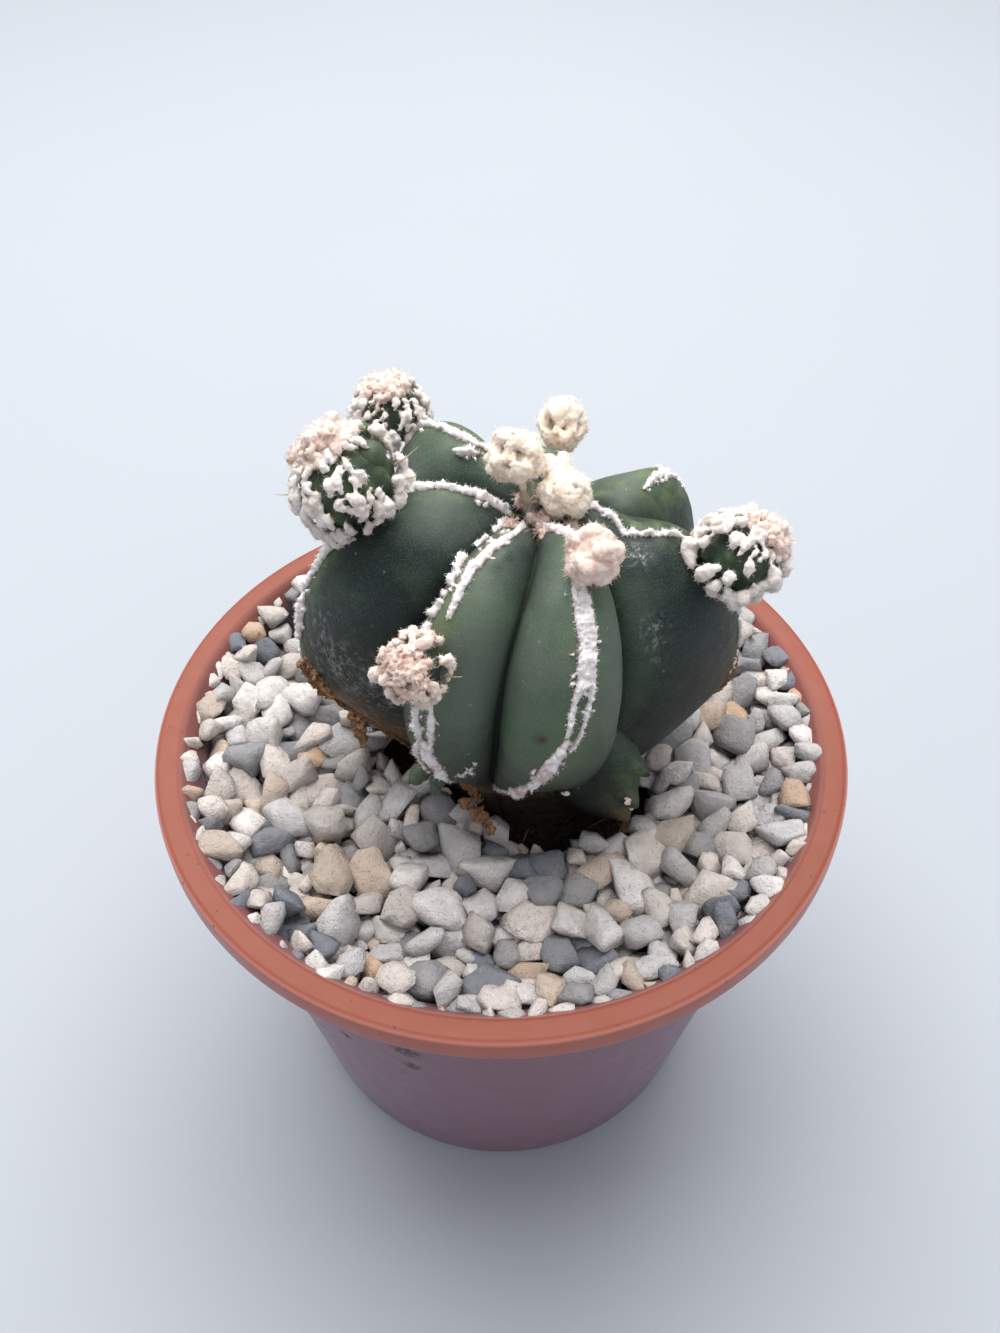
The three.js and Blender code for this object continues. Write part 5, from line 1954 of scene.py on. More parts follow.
@dataclass
class Felt:
    """The bands of wool along the ribs."""

    form: StemForm
    coat: FibreCoat
    step: float = 0.15
    sink: float = 0.12
    suffix: str = "_wool"
    crumbs: float = 1.0

    def build(self, material: bpy.types.Material) -> None:
        """Makes each band and its fibres.

        Args:
            material: The wool's finish.
        """
        for line in FELT_LINES:
            piece = self.band(line)
            hairs = {"density": 12.0, "length": 0.5, "thickness": 0.5, "lean": 1.3}
            self.coat.put_on(piece, material, **hairs, seed=line.seed)
            finish_piece(piece, (line.node,))

    def band(self, line: FeltLine) -> bpy.types.Object:
        """One band: every cell of a fine grid on the rib that lies in a strip is raised into wool.

        Args:
            line: The band's name, rib and strips.

        Returns:
            The band, its mesh in millimetres.
        """
        rib = RIB_NAMES.index(line.rib)
        stations = np.array([s for strip in line.strips for s in strip.stations])
        v_low, v_high = stations[:, 0].min() - 0.03, stations[:, 0].max() + 0.03
        s_low = (stations[:, 1] - stations[:, 2] / 2).min() - 0.6
        s_high = (stations[:, 1] + stations[:, 2] / 2).max() + 0.6
        coarse = np.linspace(v_low, v_high, 40)
        ridge = self.form.beside(rib, coarse, np.zeros(1))[:, 0]
        length = np.linalg.norm(np.diff(ridge, axis=0), axis=1).sum()
        per_share = length / (v_high - v_low)
        v = np.linspace(v_low, v_high, max(8, round(length / self.step)))
        shift = np.arange(s_low, s_high, self.step)
        skin = self.form.beside(rib, v, shift)
        along = np.gradient(skin, axis=0)
        across = np.gradient(skin, axis=1)
        normal = unit(np.cross(across, along))
        outward = self.form.frame(self.form.ribs[rib], v)[1][:, None, :]
        facing = np.sign((normal * outward).sum(axis=2).mean())
        normal = normal * facing
        depth, height = self.strip_depth(line, v, shift, skin, per_share)
        rise = np.sqrt(np.clip(depth / 0.4, 0, 1))
        rise *= 0.70 + 0.55 * cloud(skin, 0.9, line.seed + 40) + 0.5 * cloud(skin, 0.36, line.seed + 60)
        # Where the wool is thin and low it is darkened towards the stain colour, in blotches.
        low = np.clip((0.5 - rise) / 0.4, 0, 1) * np.clip(0.45 + 1.3 * cloud(skin, 2.0, line.seed + 80), 0, 1)
        top = skin + normal * (0.04 + height * np.maximum(rise, 0.05))[..., None]
        bottom = skin - normal * self.sink
        points, faces, used = self.shell(top, bottom, depth > 0, facing < 0)
        piece = mesh_object(line.node + self.suffix, points, faces)
        set_attribute(piece.data, "pit", np.tile(low.reshape(-1), 2)[used] * 0.85)
        return piece

    def strip_depth(
        self, line: FeltLine, v: np.ndarray, shift: np.ndarray, skin: np.ndarray, per_share: float
    ) -> tuple[np.ndarray, np.ndarray]:
        """How far inside a strip each grid point lies, and how high the wool stands there.

        Args:
            line: The band's strips.
            v: Shares of the ridge's length.
            shift: Distances round the rib.
            skin: The grid's points on the skin.
            per_share: The ridge's length in millimetres for a share of 1.

        Returns:
            The depth and the height, by v and by shift.
        """
        depth = np.full((len(v), len(shift)), -1.0)
        height = np.full((len(v), len(shift)), 0.1)
        wobble = 0.26 * cloud(skin, 0.8, line.seed + 7, 3) + 0.20 * cloud(skin, 0.33, line.seed + 21) - 0.05
        draw = np.random.default_rng(line.seed + 100)
        for strip in line.strips:
            rows = np.array(strip.stations)
            middle = np.interp(v, rows[:, 0], rows[:, 1])
            half = np.interp(v, rows[:, 0], rows[:, 2]) / 2
            beyond = np.maximum(rows[0, 0] - v, v - rows[-1, 0]) * per_share
            beyond = np.maximum(beyond, 0)
            away = np.hypot(shift[None] - middle[:, None], beyond[:, None])
            inside = half[:, None] - away + (strip.ragged - 1) * wobble
            height = np.where(inside > depth, strip.height, height)
            depth = np.maximum(depth, inside)
            for _ in range(round(len(rows) * self.crumbs * strip.ragged)):
                at = draw.uniform(rows[0, 0], rows[-1, 0])
                reach = np.interp(at, rows[:, 0], rows[:, 2]) / 2 + draw.uniform(0.1, 0.55)
                shifted = np.interp(at, rows[:, 0], rows[:, 1]) + reach * draw.choice([-1, 1])
                apart = np.hypot(shift[None] - shifted, ((v - at) * per_share)[:, None])
                crumb = draw.uniform(0.16, 0.36) - apart
                depth = np.maximum(depth, crumb)
        return depth + wobble, height

    @staticmethod
    def shell(
        top: np.ndarray, bottom: np.ndarray, kept: np.ndarray, turned: bool
    ) -> tuple[np.ndarray, list, np.ndarray]:
        """A closed shell over the grid cells whose corners are mostly kept.

        Args:
            top: The upper points, by row and column.
            bottom: The lower points, in the same order.
            kept: Which of the grid's points are kept.
            turned: Whether the faces are turned over.

        Returns:
            The points, the faces, and which of all the grid's points they use.
        """
        rows, columns = kept.shape
        corners = kept[:-1, :-1].astype(int) + kept[1:, :-1] + kept[:-1, 1:] + kept[1:, 1:]
        cell = corners >= 3
        index = np.arange(rows * columns).reshape(rows, columns)
        below = rows * columns
        faces = []
        padded = np.pad(cell, 1)
        for i, j in zip(*np.nonzero(cell)):
            a, b, c, d = index[i, j], index[i, j + 1], index[i + 1, j + 1], index[i + 1, j]
            faces.append((a, b, c, d))
            faces.append((below + a, below + d, below + c, below + b))
            edges = ((a, b, i, j + 1), (b, c, i + 1, j + 2), (c, d, i + 2, j + 1), (d, a, i + 1, j))
            for one, other, row, column in edges:
                if not padded[row, column]:
                    faces.append((below + one, below + other, other, one))
        if turned:
            faces = [tuple(reversed(face)) for face in faces]
        points = np.concatenate([top.reshape(-1, 3), bottom.reshape(-1, 3)])
        used = np.unique(np.array(faces).reshape(-1))
        renumber = np.full(len(points), -1)
        renumber[used] = np.arange(len(used))
        return points[used], [tuple(int(renumber[i]) for i in face) for face in faces], used


CORK_LINES = (
    FeltLine(
        "left_rib",
        "left",
        (
            Strip(
                (
                    (0.63, 0.3, 0.9), (0.66, 0.5, 2.0), (0.69, 0.5, 2.2), (0.72, 0.5, 2.0),
                    (0.75, 0.2, 1.0),
                ), 1.0,
            ),
            Strip(
                (
                    (0.745, 0.3, 0.8), (0.79, 0.4, 1.1), (0.84, 0.4, 1.4), (0.87, 0.5, 2.4),
                    (0.93, 0.6, 2.6),
                ), 0.8,
            ),
            Strip(((0.86, -1.4, 0.8), (0.92, -1.9, 1.6), (0.97, -1.6, 1.6)), 0.4),
            Strip(((0.80, 2.0, 0.6), (0.86, 2.8, 1.2), (0.92, 3.4, 1.4)), 0.35),
        ),
        21,
    ),
    FeltLine(
        "right_rib",
        "right",
        (
            Strip(
                (
                    (0.66, 0.0, 0.5), (0.74, -0.3, 1.0), (0.79, -0.3, 1.4), (0.83, -0.4, 1.9),
                    (0.88, 0.0, 1.1),
                ), 0.5,
            ),
            Strip(((0.775, -1.6, 0.5), (0.80, -1.9, 0.8), (0.83, -1.8, 0.5)), 0.3),
        ),
        22,
    ),
    FeltLine(
        "front_left_rib",
        "frontLeft",
        (
            Strip(
                (
                    (0.82, 0.2, 0.9), (0.85, 0.1, 1.8), (0.885, 0.3, 2.4), (0.92, 0.5, 2.0),
                    (0.955, 0.6, 1.3),
                ), 0.85,
            ),
            Strip(((0.80, -1.9, 0.5), (0.84, -2.1, 0.9), (0.87, -1.8, 0.7)), 0.4),
        ),
        23,
    ),
    FeltLine(
        "front_right_rib",
        "frontRight",
        (Strip(((0.85, -1.2, 0.7), (0.875, -0.6, 1.2), (0.90, 0.3, 1.0)), 0.45),),
        24,
    ),
)


@dataclass
class Cork(Felt):
    """Orange brown crust on the worn lower edges of the ribs."""

    suffix: str = "_cork"
    crumbs: float = 2.5

    def build(self, material: bpy.types.Material) -> None:
        """Makes each patch of crust."""
        for line in CORK_LINES:
            finish_piece(self.band(line), (), material)


class BallFuser:
    """Fuses overlapping balls into one closed lumpy mesh."""

    def __init__(self) -> None:
        """Makes the ball that every lump starts from."""
        self.points, self.faces = self.ball_mesh()

    @staticmethod
    def ball_mesh() -> tuple[np.ndarray, list]:
        """The points and faces of a ball of radius one."""
        return loft(ball_rings(rows=9, sides=16), *POLES)

    def fuse(
        self, name: str, centres: list, radii: list, grain: float, smoothing: int = 1
    ) -> bpy.types.Object:
        """Fuses balls.

        Args:
            name: The new object's name.
            centres: Where the balls are, in millimetres.
            radii: Their radii.
            grain: Size of the mesh's cells.
            smoothing: Rounds of smoothing after the fusing.

        Returns:
            The fused object, still in millimetres.
        """
        shapes = Shapes()
        for centre, radius in zip(centres, radii):
            shapes.add(centre + self.points * radius, self.faces)
        piece = shapes.made(name)
        remesh = piece.modifiers.new("fuse", "REMESH")
        remesh.mode = "VOXEL"
        remesh.voxel_size = grain
        remesh.use_smooth_shade = True
        relax = piece.modifiers.new("relax", "SMOOTH")
        relax.factor = 0.5
        relax.iterations = smoothing
        settle_modifiers(piece)
        return piece


def roughen(piece: bpy.types.Object, size: float, depth: float, fine: float, seed: int) -> None:
    """Gives a fused mass the unevenness of wool.

    Args:
        piece: The mass, still in millimetres.
        size: Size of the lumps that are added.
        depth: How far they stand out.
        fine: How far the finest grain stands out.
        seed: Chooses the pattern.
    """
    points = mesh_points(piece.data)
    move = depth * cloud(points, size, seed) + fine * cloud(points, size * 0.3, seed + 5)
    push_out(piece.data, move)


def thin(piece: bpy.types.Object, share: float) -> None:
    """Leaves a share of a mesh's faces, the fewest where it is flat.

    Args:
        piece: The object that is thinned.
        share: The share of its faces that stays.
    """
    fewer = piece.modifiers.new("thin", "DECIMATE")
    fewer.ratio = share
    settle_modifiers(piece)


def front_way(across: float, up: float) -> np.ndarray:
    """A way out of a ball, given where it shows as the plant is seen from the front and above."""
    toward = math.sqrt(max(0.0, 1 - across * across - up * up))
    return np.array([across, 0.73 * up - 0.68 * toward, 0.68 * up + 0.73 * toward])


@dataclass
class Workshop:
    """What the pieces of wool are made with."""

    fuser: BallFuser
    coat: FibreCoat
    finishes: Finishes


@dataclass
class Offset:
    """A small woolly head on a rib: a green ball, its tufts of wool and the cap on its crown."""

    node: str
    at: Place
    radius: float
    facing: Place
    rows: int
    seed: int
    per_row: int = 6
    droop: float = 0.55
    cap_share: float = 0.62
    cap_height: float = 0.15
    tuft_size: float = 1.0
    beige: bool = False
    lightness: float = 0.45
    head_rows: int = 60
    head_sides: int = 96
    kept_clear: tuple[tuple[float, float, float, float], ...] = ()

    def turn(self) -> np.ndarray:
        """The matrix that turns the head's own +Z to the way its crown looks."""
        quaternion = Vector((0, 0, 1)).rotation_difference(Vector(self.facing).normalized())
        return np.array(quaternion.to_matrix())

    def build(self, shop: Workshop) -> None:
        """Makes the green head, its tufts and its cap.

        Args:
            shop: What the wool is made with.
        """
        centre = over_rim(*self.at)
        draw = np.random.default_rng(self.seed)
        self.build_head(centre, shop.finishes.skin)
        self.build_tufts(centre, draw, shop)
        self.build_cap(centre, draw, shop)

    def areoles(self) -> list[tuple[np.ndarray, float]]:
        """Where the tufts grow: directions in the head's own frame and the share down from the cap.

        Returns:
            Each direction with its share.
        """
        made = []
        for row in range(self.rows):
            for k in range(self.per_row):
                share = (k + 0.5 * (row % 2) + 0.15) / self.per_row
                polar = math.radians(33 + 104 * share)
                turn = 2 * math.pi * (row + 0.16 * math.sin(2.3 * row)) / self.rows + 0.06 * k
                made.append((ball_way(polar, turn), share))
        return made

    def build_head(self, centre: np.ndarray, material: bpy.types.Material) -> None:
        """The green ball, swollen into a low knob under each tuft.

        Args:
            centre: The middle of the ball.
            material: Its finish.
        """
        rings = ball_rings(self.head_rows, self.head_sides)
        ways = np.concatenate([rings.reshape(-1, 3), POLES])
        knobs = np.array([way for way, _ in self.areoles()])
        swell = np.exp(42 * (ways @ knobs.T - 1)).sum(axis=1)
        core = self.radius * 0.82
        radius = core * (0.84 + 0.18 * np.minimum(swell, 1.15)) + 0.06 * cloud(ways * 4, 1.2, self.seed)
        points = centre + (ways * radius[:, None]) @ self.turn().T
        points, faces = loft(points[:-2].reshape(rings.shape), points[-2], points[-1])
        head = mesh_object(self.node + "_head", points, faces)
        # Between the knobs the green is painted darker, as painted shade, and the knobs are fresher green.
        ridge = np.clip(swell - 0.3, 0, 1)
        set_skin(head.data, ridge=ridge, crease=np.clip(0.5 - swell, 0, 0.5), lit=self.lightness)
        finish_piece(head, (self.node,), material)

    def build_tufts(self, centre: np.ndarray, draw: np.random.Generator, shop: Workshop) -> None:
        """The tufts: one or two curled drops of wool hang from each areole.

        Args:
            centre: The middle of the ball.
            draw: Where the random numbers come from.
            shop: What the wool is made with.
        """
        turn = self.turn()
        balls, sizes = [], []
        scale = self.tuft_size * self.radius / 6.2
        for way, share in self.areoles():
            out = turn @ way
            down = -turn[:, 2] * 0.75 + np.array([0, 0, -1.0]) * self.droop
            down = unit(down - out * (down @ out))
            side = np.cross(out, down)
            start = out * self.radius * draw.uniform(0.88, 0.95) + side * draw.uniform(-0.25, 0.25) * scale
            lean = draw.uniform(-0.55, 0.55)
            bulk = draw.uniform(0.7, 1.2) * (0.8 + 0.4 * share)
            strands = draw.choice([1, 2, 2])
            spot = centre + start
            if any(np.linalg.norm(spot - over_rim(x, y, z)) < reach for x, y, z, reach in self.kept_clear):
                continue
            for strand in range(strands):
                thick = scale * bulk * draw.uniform(0.50, 0.68) * (1.15 if strands == 1 else 0.85)
                length = scale * bulk * draw.uniform(1.5, 2.5)
                apart = side * scale * 0.55 * (strand - 0.5 * (strands - 1)) * 2
                apart = apart + down * draw.uniform(-0.4, 0.5) * scale
                curl = draw.uniform(-0.9, 0.9) * thick
                lifted = draw.uniform(0.5, 1.1)
                for f in np.linspace(0, 1, 9):
                    width = thick * (0.55 + 0.62 * math.sin(math.pi * f ** 0.75)) * (1 - 0.35 * f)
                    lift = 0.2 + lifted * math.sin(math.pi * (0.12 + 0.8 * f))
                    place = start + apart + out * thick * lift
                    swing = lean * length * f * f + curl * math.sin(5 * f)
                    place = place + down * length * (f - 0.4) + side * swing
                    balls.append(centre + place + 0.07 * scale * draw.standard_normal(3))
                    sizes.append(width * draw.uniform(0.85, 1.15))
            for _ in range(2):
                place = start + out * scale * draw.uniform(0.1, 0.55) + down * scale * draw.uniform(-0.9, 0.5)
                place = place + side * scale * draw.uniform(-0.7, 0.7)
                balls.append(centre + place)
                sizes.append(scale * draw.uniform(0.14, 0.28))
        piece = shop.fuser.fuse(self.node + "_tufts", balls, sizes, grain=0.135 * max(0.85, scale))
        roughen(piece, size=0.6, depth=0.11, fine=0.05, seed=self.seed + 3)
        thin(piece, share=0.55)
        # Deeper in the tufts, nearer the green ball, the wool is painted darker: painted shade between the
        # tufts.
        height = np.linalg.norm(mesh_points(piece.data) - centre, axis=1) / self.radius
        set_attribute(piece.data, "pit", np.clip((0.99 - height) / 0.17, 0, 0.9))
        wool = shop.finishes.beige if self.beige else shop.finishes.tuft
        shop.coat.put_on(piece, wool, density=6.0, length=0.5, thickness=0.5, lean=1.4, seed=self.seed)
        finish_piece(piece, (self.node,))

    def build_cap(self, centre: np.ndarray, draw: np.random.Generator, shop: Workshop) -> None:
        """The cap: a cushion of small woolly knobs over the crown.

        Args:
            centre: The middle of the ball.
            draw: Where the random numbers come from.
            shop: What the wool is made with.
        """
        turn = self.turn()
        reach = math.asin(self.cap_share)
        count = 110
        balls, sizes = [], []
        for i in range(count):
            polar = reach * math.sqrt((i + 0.5) / count) * 1.04
            around = golden_turn(i) + 0.4 * draw.standard_normal()
            way = ball_way(polar, around)
            mound = 0.93 + self.cap_height * math.cos(1.5 * polar / reach)
            out = self.radius * (mound + 0.055 * draw.standard_normal())
            balls.append(centre + turn @ (way * out))
            sizes.append(self.radius * 0.078 * draw.uniform(0.7, 1.5))
        balls.append(centre + turn @ np.array([0, 0, self.radius * 0.72]))
        sizes.append(self.radius * 0.36)
        scale = self.radius / 6.2
        piece = shop.fuser.fuse(self.node + "_cap", balls, sizes, grain=0.15 * max(0.85, scale))
        roughen(piece, size=0.5, depth=0.15, fine=0.08, seed=self.seed + 8)
        thin(piece, share=0.7)
        points = mesh_points(piece.data)
        local = (points - centre) @ turn
        mound = np.linalg.norm(local, axis=1) / self.radius
        away = np.hypot(local[:, 0], local[:, 1]) / (self.radius * self.cap_share)
        # The cap is painted darker in the hollows between its knobs, as painted shade, and in blotches near
        # its edge.
        hollow = np.clip((0.93 + 0.13 * np.cos(1.5 * np.clip(away, 0, 1)) - mound) / 0.14, 0, 0.6)
        edge = ramp(away, 0.55, 0.5) * np.clip(0.2 + cloud(points, 1.6, self.seed + 30), 0, 0.55)
        set_attribute(piece.data, "pit", np.maximum(hollow, edge))
        wool = shop.finishes.dusk if self.beige else shop.finishes.cap
        shop.coat.put_on(piece, wool, density=10.0, length=0.75, thickness=0.65, lean=1.2, seed=self.seed + 1)
        finish_piece(piece, (self.node + "_crown",))


@dataclass(frozen=True)
class Dent:
    """A hole in a bud's wool: where it shows from the front and above, its width, and how strongly painted
    shade darkens it.
    """

    across: float
    up: float
    width: float
    dark: float = 1.0


@dataclass
class Bud:
    """A lumpy ball of cream wool on a short stalk."""

    node: str
    at: Place
    radius: float
    foot: Place
    seed: int
    dents: tuple[Dent, ...] = ()
    lumps: tuple[Place, ...] = ()
    knob: tuple[float, float, float, float] | None = None
    peach: bool = False
    stalk: float = 0.5

    def build(self, shop: Workshop) -> None:
        """Makes the ball of lumps, dents it, and stands it on its stalk.

        Args:
            shop: What the wool is made with.
        """
        centre = over_rim(*self.at)
        draw = np.random.default_rng(self.seed)
        ways = spiral_ways(15)
        ways = unit(ways + 0.3 * draw.standard_normal(ways.shape))
        sizes = draw.uniform(0.42, 0.58, len(ways)) * self.radius
        outs = self.radius * draw.uniform(0.90, 1.04, len(ways)) - sizes
        balls = [*(centre + ways * outs[:, None]), centre]
        sizes = [*sizes, self.radius * 0.74]
        for across, up, size in self.lumps:
            balls.append(centre + front_way(across, up) * self.radius * (1.06 - size))
            sizes.append(size * self.radius)
        if self.knob is not None:
            x, y, height, radius = self.knob
            for _ in range(12):
                way = unit(draw.standard_normal(3))
                balls.append(over_rim(x, y, height) + way * radius * 0.55)
                sizes.append(radius * draw.uniform(0.4, 0.6))
        foot = over_rim(*self.foot)
        for share in np.linspace(0.0, 0.95, 14):
            balls.append(foot + (centre - foot) * share + 0.06 * draw.standard_normal(3))
            sizes.append(self.stalk * draw.uniform(0.85, 1.15))
        piece = shop.fuser.fuse(self.node + "_wool", balls, sizes, grain=0.15, smoothing=4)
        points = mesh_points(piece.data)
        folds = np.abs(cloud(points, 2.1, self.seed + 50)) + 0.14 * np.abs(cloud(points, 0.7, self.seed + 60))
        move = folds - 0.22
        reach = np.linalg.norm(points - centre, axis=1) / self.radius
        on_stalk = ramp(reach, 1.12, 0.15) * ramp(centre[2] - 1.2 - points[:, 2], 0, 0.8)
        # Painted shade in the deepest folds and in the dents, and a darker stalk.
        pit = np.maximum(np.clip((0.06 - folds) / 0.06, 0, 1) * 0.3, 0.5 * on_stalk)
        for dent in self.dents:
            away = np.linalg.norm(points - (centre + front_way(dent.across, dent.up) * self.radius), axis=1)
            away = away * (1 + 0.9 * cloud(points, 0.8, self.seed + 90))
            move -= 1.7 * dent.width * np.exp(-((away / dent.width) ** 2))
            grain = np.clip(0.65 + 0.8 * cloud(points, 0.35, self.seed + 70), 0, 1)
            pit = np.maximum(pit, dent.dark * grain * np.exp(-((away / (0.75 * dent.width)) ** 4)))
        push_out(piece.data, move)
        roughen(piece, size=0.6, depth=0.08, fine=0.05, seed=self.seed + 2)
        set_attribute(piece.data, "pit", pit)
        wool = shop.finishes.peach if self.peach else shop.finishes.bud
        shop.coat.put_on(piece, wool, density=9.0, length=0.6, thickness=0.5, lean=2.4, seed=self.seed)
        finish_piece(piece, (self.node,))


@dataclass
class CrownWool:
    """Reddish brown wool in the sunken crown, between the buds and the felt."""

    node: str = "crown_wool"
    seed: int = 31
    fibre: float = 1.0
    spots: tuple[tuple[float, float, float, float, int], ...] = (
        (4.0, -1.6, 36.0, 1.9, 26), (1.2, -3.4, 36.3, 1.2, 12), (5.2, -4.2, 36.4, 1.1, 12),
        (7.4, -2.6, 35.8, 1.2, 12), (9.0, -0.2, 35.6, 1.0, 9), (2.6, 1.4, 36.2, 1.2, 10),
        (6.8, 2.6, 35.4, 1.3, 10),
    )

    def build(self, shop: Workshop) -> None:
        """Makes the wool from small knobs strewn over the crown.

        Args:
            shop: What the wool is made with.
        """
        draw = np.random.default_rng(self.seed)
        balls, sizes = [], []
        for x, y, height, spread, count in self.spots:
            for _ in range(count):
                offset = draw.standard_normal(3) * np.array([0.5, 0.5, 0.2]) * spread
                balls.append(over_rim(x, y, height) + offset)
                sizes.append(draw.uniform(0.24, 0.5))
        piece = shop.fuser.fuse(self.node + "_knots", balls, sizes, grain=0.15)
        roughen(piece, size=0.5, depth=0.1, fine=0.05, seed=self.seed)
        height = mesh_points(piece.data)[:, 2] - POT_HEIGHT
        # Lower in the sunken crown the wool is painted darker: painted shade.
        set_attribute(piece.data, "pit", np.clip((36.2 - height) / 1.4, 0, 0.5))
        wool = shop.finishes.crown
        shop.coat.put_on(
            piece, wool, density=11.0, length=self.fibre, thickness=0.7, lean=0.9, seed=self.seed
        )
        finish_piece(piece, (self.node,))


@dataclass(frozen=True)
class Disc:
    """A round place on the soil that the gravel leaves bare."""

    x: float
    y: float
    radius: float


BARE = (Disc(STEM_X, STEM_Y, 13.6), Disc(-8.5, 0.5, 6.6), Disc(12.0, -8.5, 7.2), Disc(5.8, -11.4, 5.6))


@dataclass
class Gravel:
    """Limestone chips: shapes cut by random planes, settled as balls and set out by a node tree."""

    stones: int = 840
    edge_stones: int = 220
    stone_faces: int = 96
    stone_grain: float = 0.075
    shapes: int = 24
    planes: int = 13
    smallest: float = 0.95
    spread: float = 1.75
    skew: float = 2.1
    rounds: int = 130
    closeness: float = 0.93
    push_share: float = 0.28
    fall: float = 0.06
    half_height: float = 0.78
    highest_top: float = 64.0
    seed: int = 20

    def build(self, material: bpy.types.Material) -> None:
        """Settles the stones and sets them out.

        Args:
            material: The stones' finish.
        """
        draw = np.random.default_rng(self.seed)
        models = bpy.data.collections.new("stone_shapes")
        for i in range(self.shapes):
            models.objects.link(self.shape(i, draw))
        for model in models.objects:
            bpy.context.scene.collection.objects.unlink(model)
        places, sizes = self.settle(draw)
        count = len(places)
        limits = ((-0.7, 0.7), (-0.7, 0.7), (0, 2 * math.pi))
        turns = np.stack([draw.uniform(low, high, count) for low, high in limits], axis=1)
        carrier = mesh_object("gravel_chips", places, [])
        mesh = carrier.data
        set_attribute(mesh, "size", sizes)
        set_attribute(mesh, "lot", draw.random(count))
        choice = mesh.attributes.new("choice", "INT", "POINT")
        choice.data.foreach_set("value", draw.integers(0, self.shapes, count).astype(np.int32))
        turn = mesh.attributes.new("turn", "FLOAT_VECTOR", "POINT")
        turn.data.foreach_set("vector", turns.astype(np.float32).reshape(-1))
        grow(carrier, self.scatter_tree(), {"Shapes": models, "Material": material})
        self.keep_inside(carrier.data)
        carrier.data.shade_smooth()
        finish_piece(carrier, ("gravel",))
        for model in list(models.objects):
            bpy.data.objects.remove(model)
        bpy.data.collections.remove(models)

    def shape(self, index: int, draw: np.random.Generator) -> bpy.types.Object:
        """One chip of radius one: a block cut back by random faces, its edges worn.

        Args:
            index: The shape's number.
            draw: Where the random numbers come from.

        Returns:
            The chip.
        """
        work = bmesh.new()
        bmesh.ops.create_cube(work, size=2.3)
        for normal in unit(draw.standard_normal((self.planes, 3))):
            everything = [*work.verts, *work.edges, *work.faces]
            place = normal * draw.uniform(0.70, 1.0)
            plane = {"plane_co": place, "plane_no": normal, "clear_outer": True}
            cut = bmesh.ops.bisect_plane(work, geom=everything, **plane)
            rim = [edge for edge in cut["geom_cut"] if isinstance(edge, bmesh.types.BMEdge)]
            if rim:
                bmesh.ops.contextual_create(work, geom=rim)
        stretch = Vector((1.08 + 0.35 * draw.random(), 0.92, 0.62 + 0.24 * draw.random()))
        bmesh.ops.scale(work, vec=stretch, verts=work.verts[:])
        bmesh.ops.recalc_face_normals(work, faces=work.faces[:])
        mesh = bpy.data.meshes.new(f"stone_{index:02d}")
        work.to_mesh(mesh)
        work.free()
        stone = bpy.data.objects.new(mesh.name, mesh)
        bpy.context.scene.collection.objects.link(stone)
        self.wear(stone, index)
        return stone

    def wear(self, stone: bpy.types.Object, seed: int) -> None:
        """Rounds a chip's edges, roughens it and thins its mesh.

        Args:
            stone: The chip that is changed.
            seed: What its roughness starts from.
        """
        remesh = stone.modifiers.new("fine", "REMESH")
        remesh.mode = "VOXEL"
        remesh.voxel_size = self.stone_grain
        relax = stone.modifiers.new("wear", "SMOOTH")
        relax.iterations = 3
        settle_modifiers(stone)
        points = mesh_points(stone.data)
        move = 0.05 * cloud(points, 0.7, seed) + 0.02 * cloud(points, 0.25, seed + 60)
        push_out(stone.data, move)
        thin(stone, self.stone_faces / max(1, 2 * len(stone.data.polygons)))
        stone.data.shade_smooth()

    def settle(self, draw: np.random.Generator) -> tuple[np.ndarray, np.ndarray]:
        """Lets the stones settle as balls against each other, the wall, the soil and the plant.

        Args:
            draw: Where the random numbers come from.

        Returns:
            The places and the sizes of the stones.
        """
        floor = SOIL_TOP + GAP
        wall = self.inner_radius(UNDER_LIP) - GAP
        ledge = UNDER_LIP + GAP
        lip = LIP_INNER_RADIUS + 0.1
        sizes = self.smallest + self.spread * draw.random(self.stones) ** self.skew
        bearing = 2 * math.pi * draw.random(self.stones)
        radius = wall * np.sqrt(draw.random(self.stones))
        height = floor + sizes + 4.5 * draw.random(self.stones)
        edge_sizes = draw.uniform(1.0, 1.95, self.edge_stones)
        sizes = np.concatenate([sizes, edge_sizes])
        bearing = np.concatenate([bearing, 2 * math.pi * draw.random(self.edge_stones)])
        radius = np.concatenate([radius, lip - 0.7 * edge_sizes])
        height = np.concatenate([height, np.full(self.edge_stones, ledge + 1.6)])
        places = np.stack([radius * np.cos(bearing), radius * np.sin(bearing), height], axis=1)
        reach_sum = self.closeness * (sizes[:, None] + sizes[None])
        for _ in range(self.rounds):
            away = places[:, None] - places[None]
            distance = np.linalg.norm(away, axis=2) + 1e-9
            overlap = np.clip(reach_sum - distance, 0, None)
            np.fill_diagonal(overlap, 0)
            push = (self.push_share * overlap / distance)[..., None] * away
            places = places + push.sum(axis=1)
            places[:, 2] -= self.fall
            half = self.half_height * sizes
            outside = np.hypot(places[:, 0], places[:, 1]) + 0.6 * sizes > wall
            raised = outside & (places[:, 2] > ledge - 1.0)
            lowest = np.where(raised, ledge + 0.5, floor) + half
            places[:, 2] = np.clip(places[:, 2], lowest, np.maximum(lowest, self.highest_top - half))
            for disc in BARE:
                centre = np.array([disc.x, disc.y])
                apart = places[:, :2] - centre
                length = np.linalg.norm(apart, axis=1) + 1e-9
                short = np.clip(disc.radius + sizes - length, 0, None)
                places[:, :2] += apart * (short / length)[:, None]
            length = np.linalg.norm(places[:, :2], axis=1) + 1e-9
            in_lip = places[:, 2] - 0.5 * sizes > ledge - 0.3
            limit = np.where(in_lip, lip - 0.75 * sizes, wall - 1.02 * sizes)
            places[:, :2] *= np.minimum(1, limit / length)[:, None]
        return places, sizes

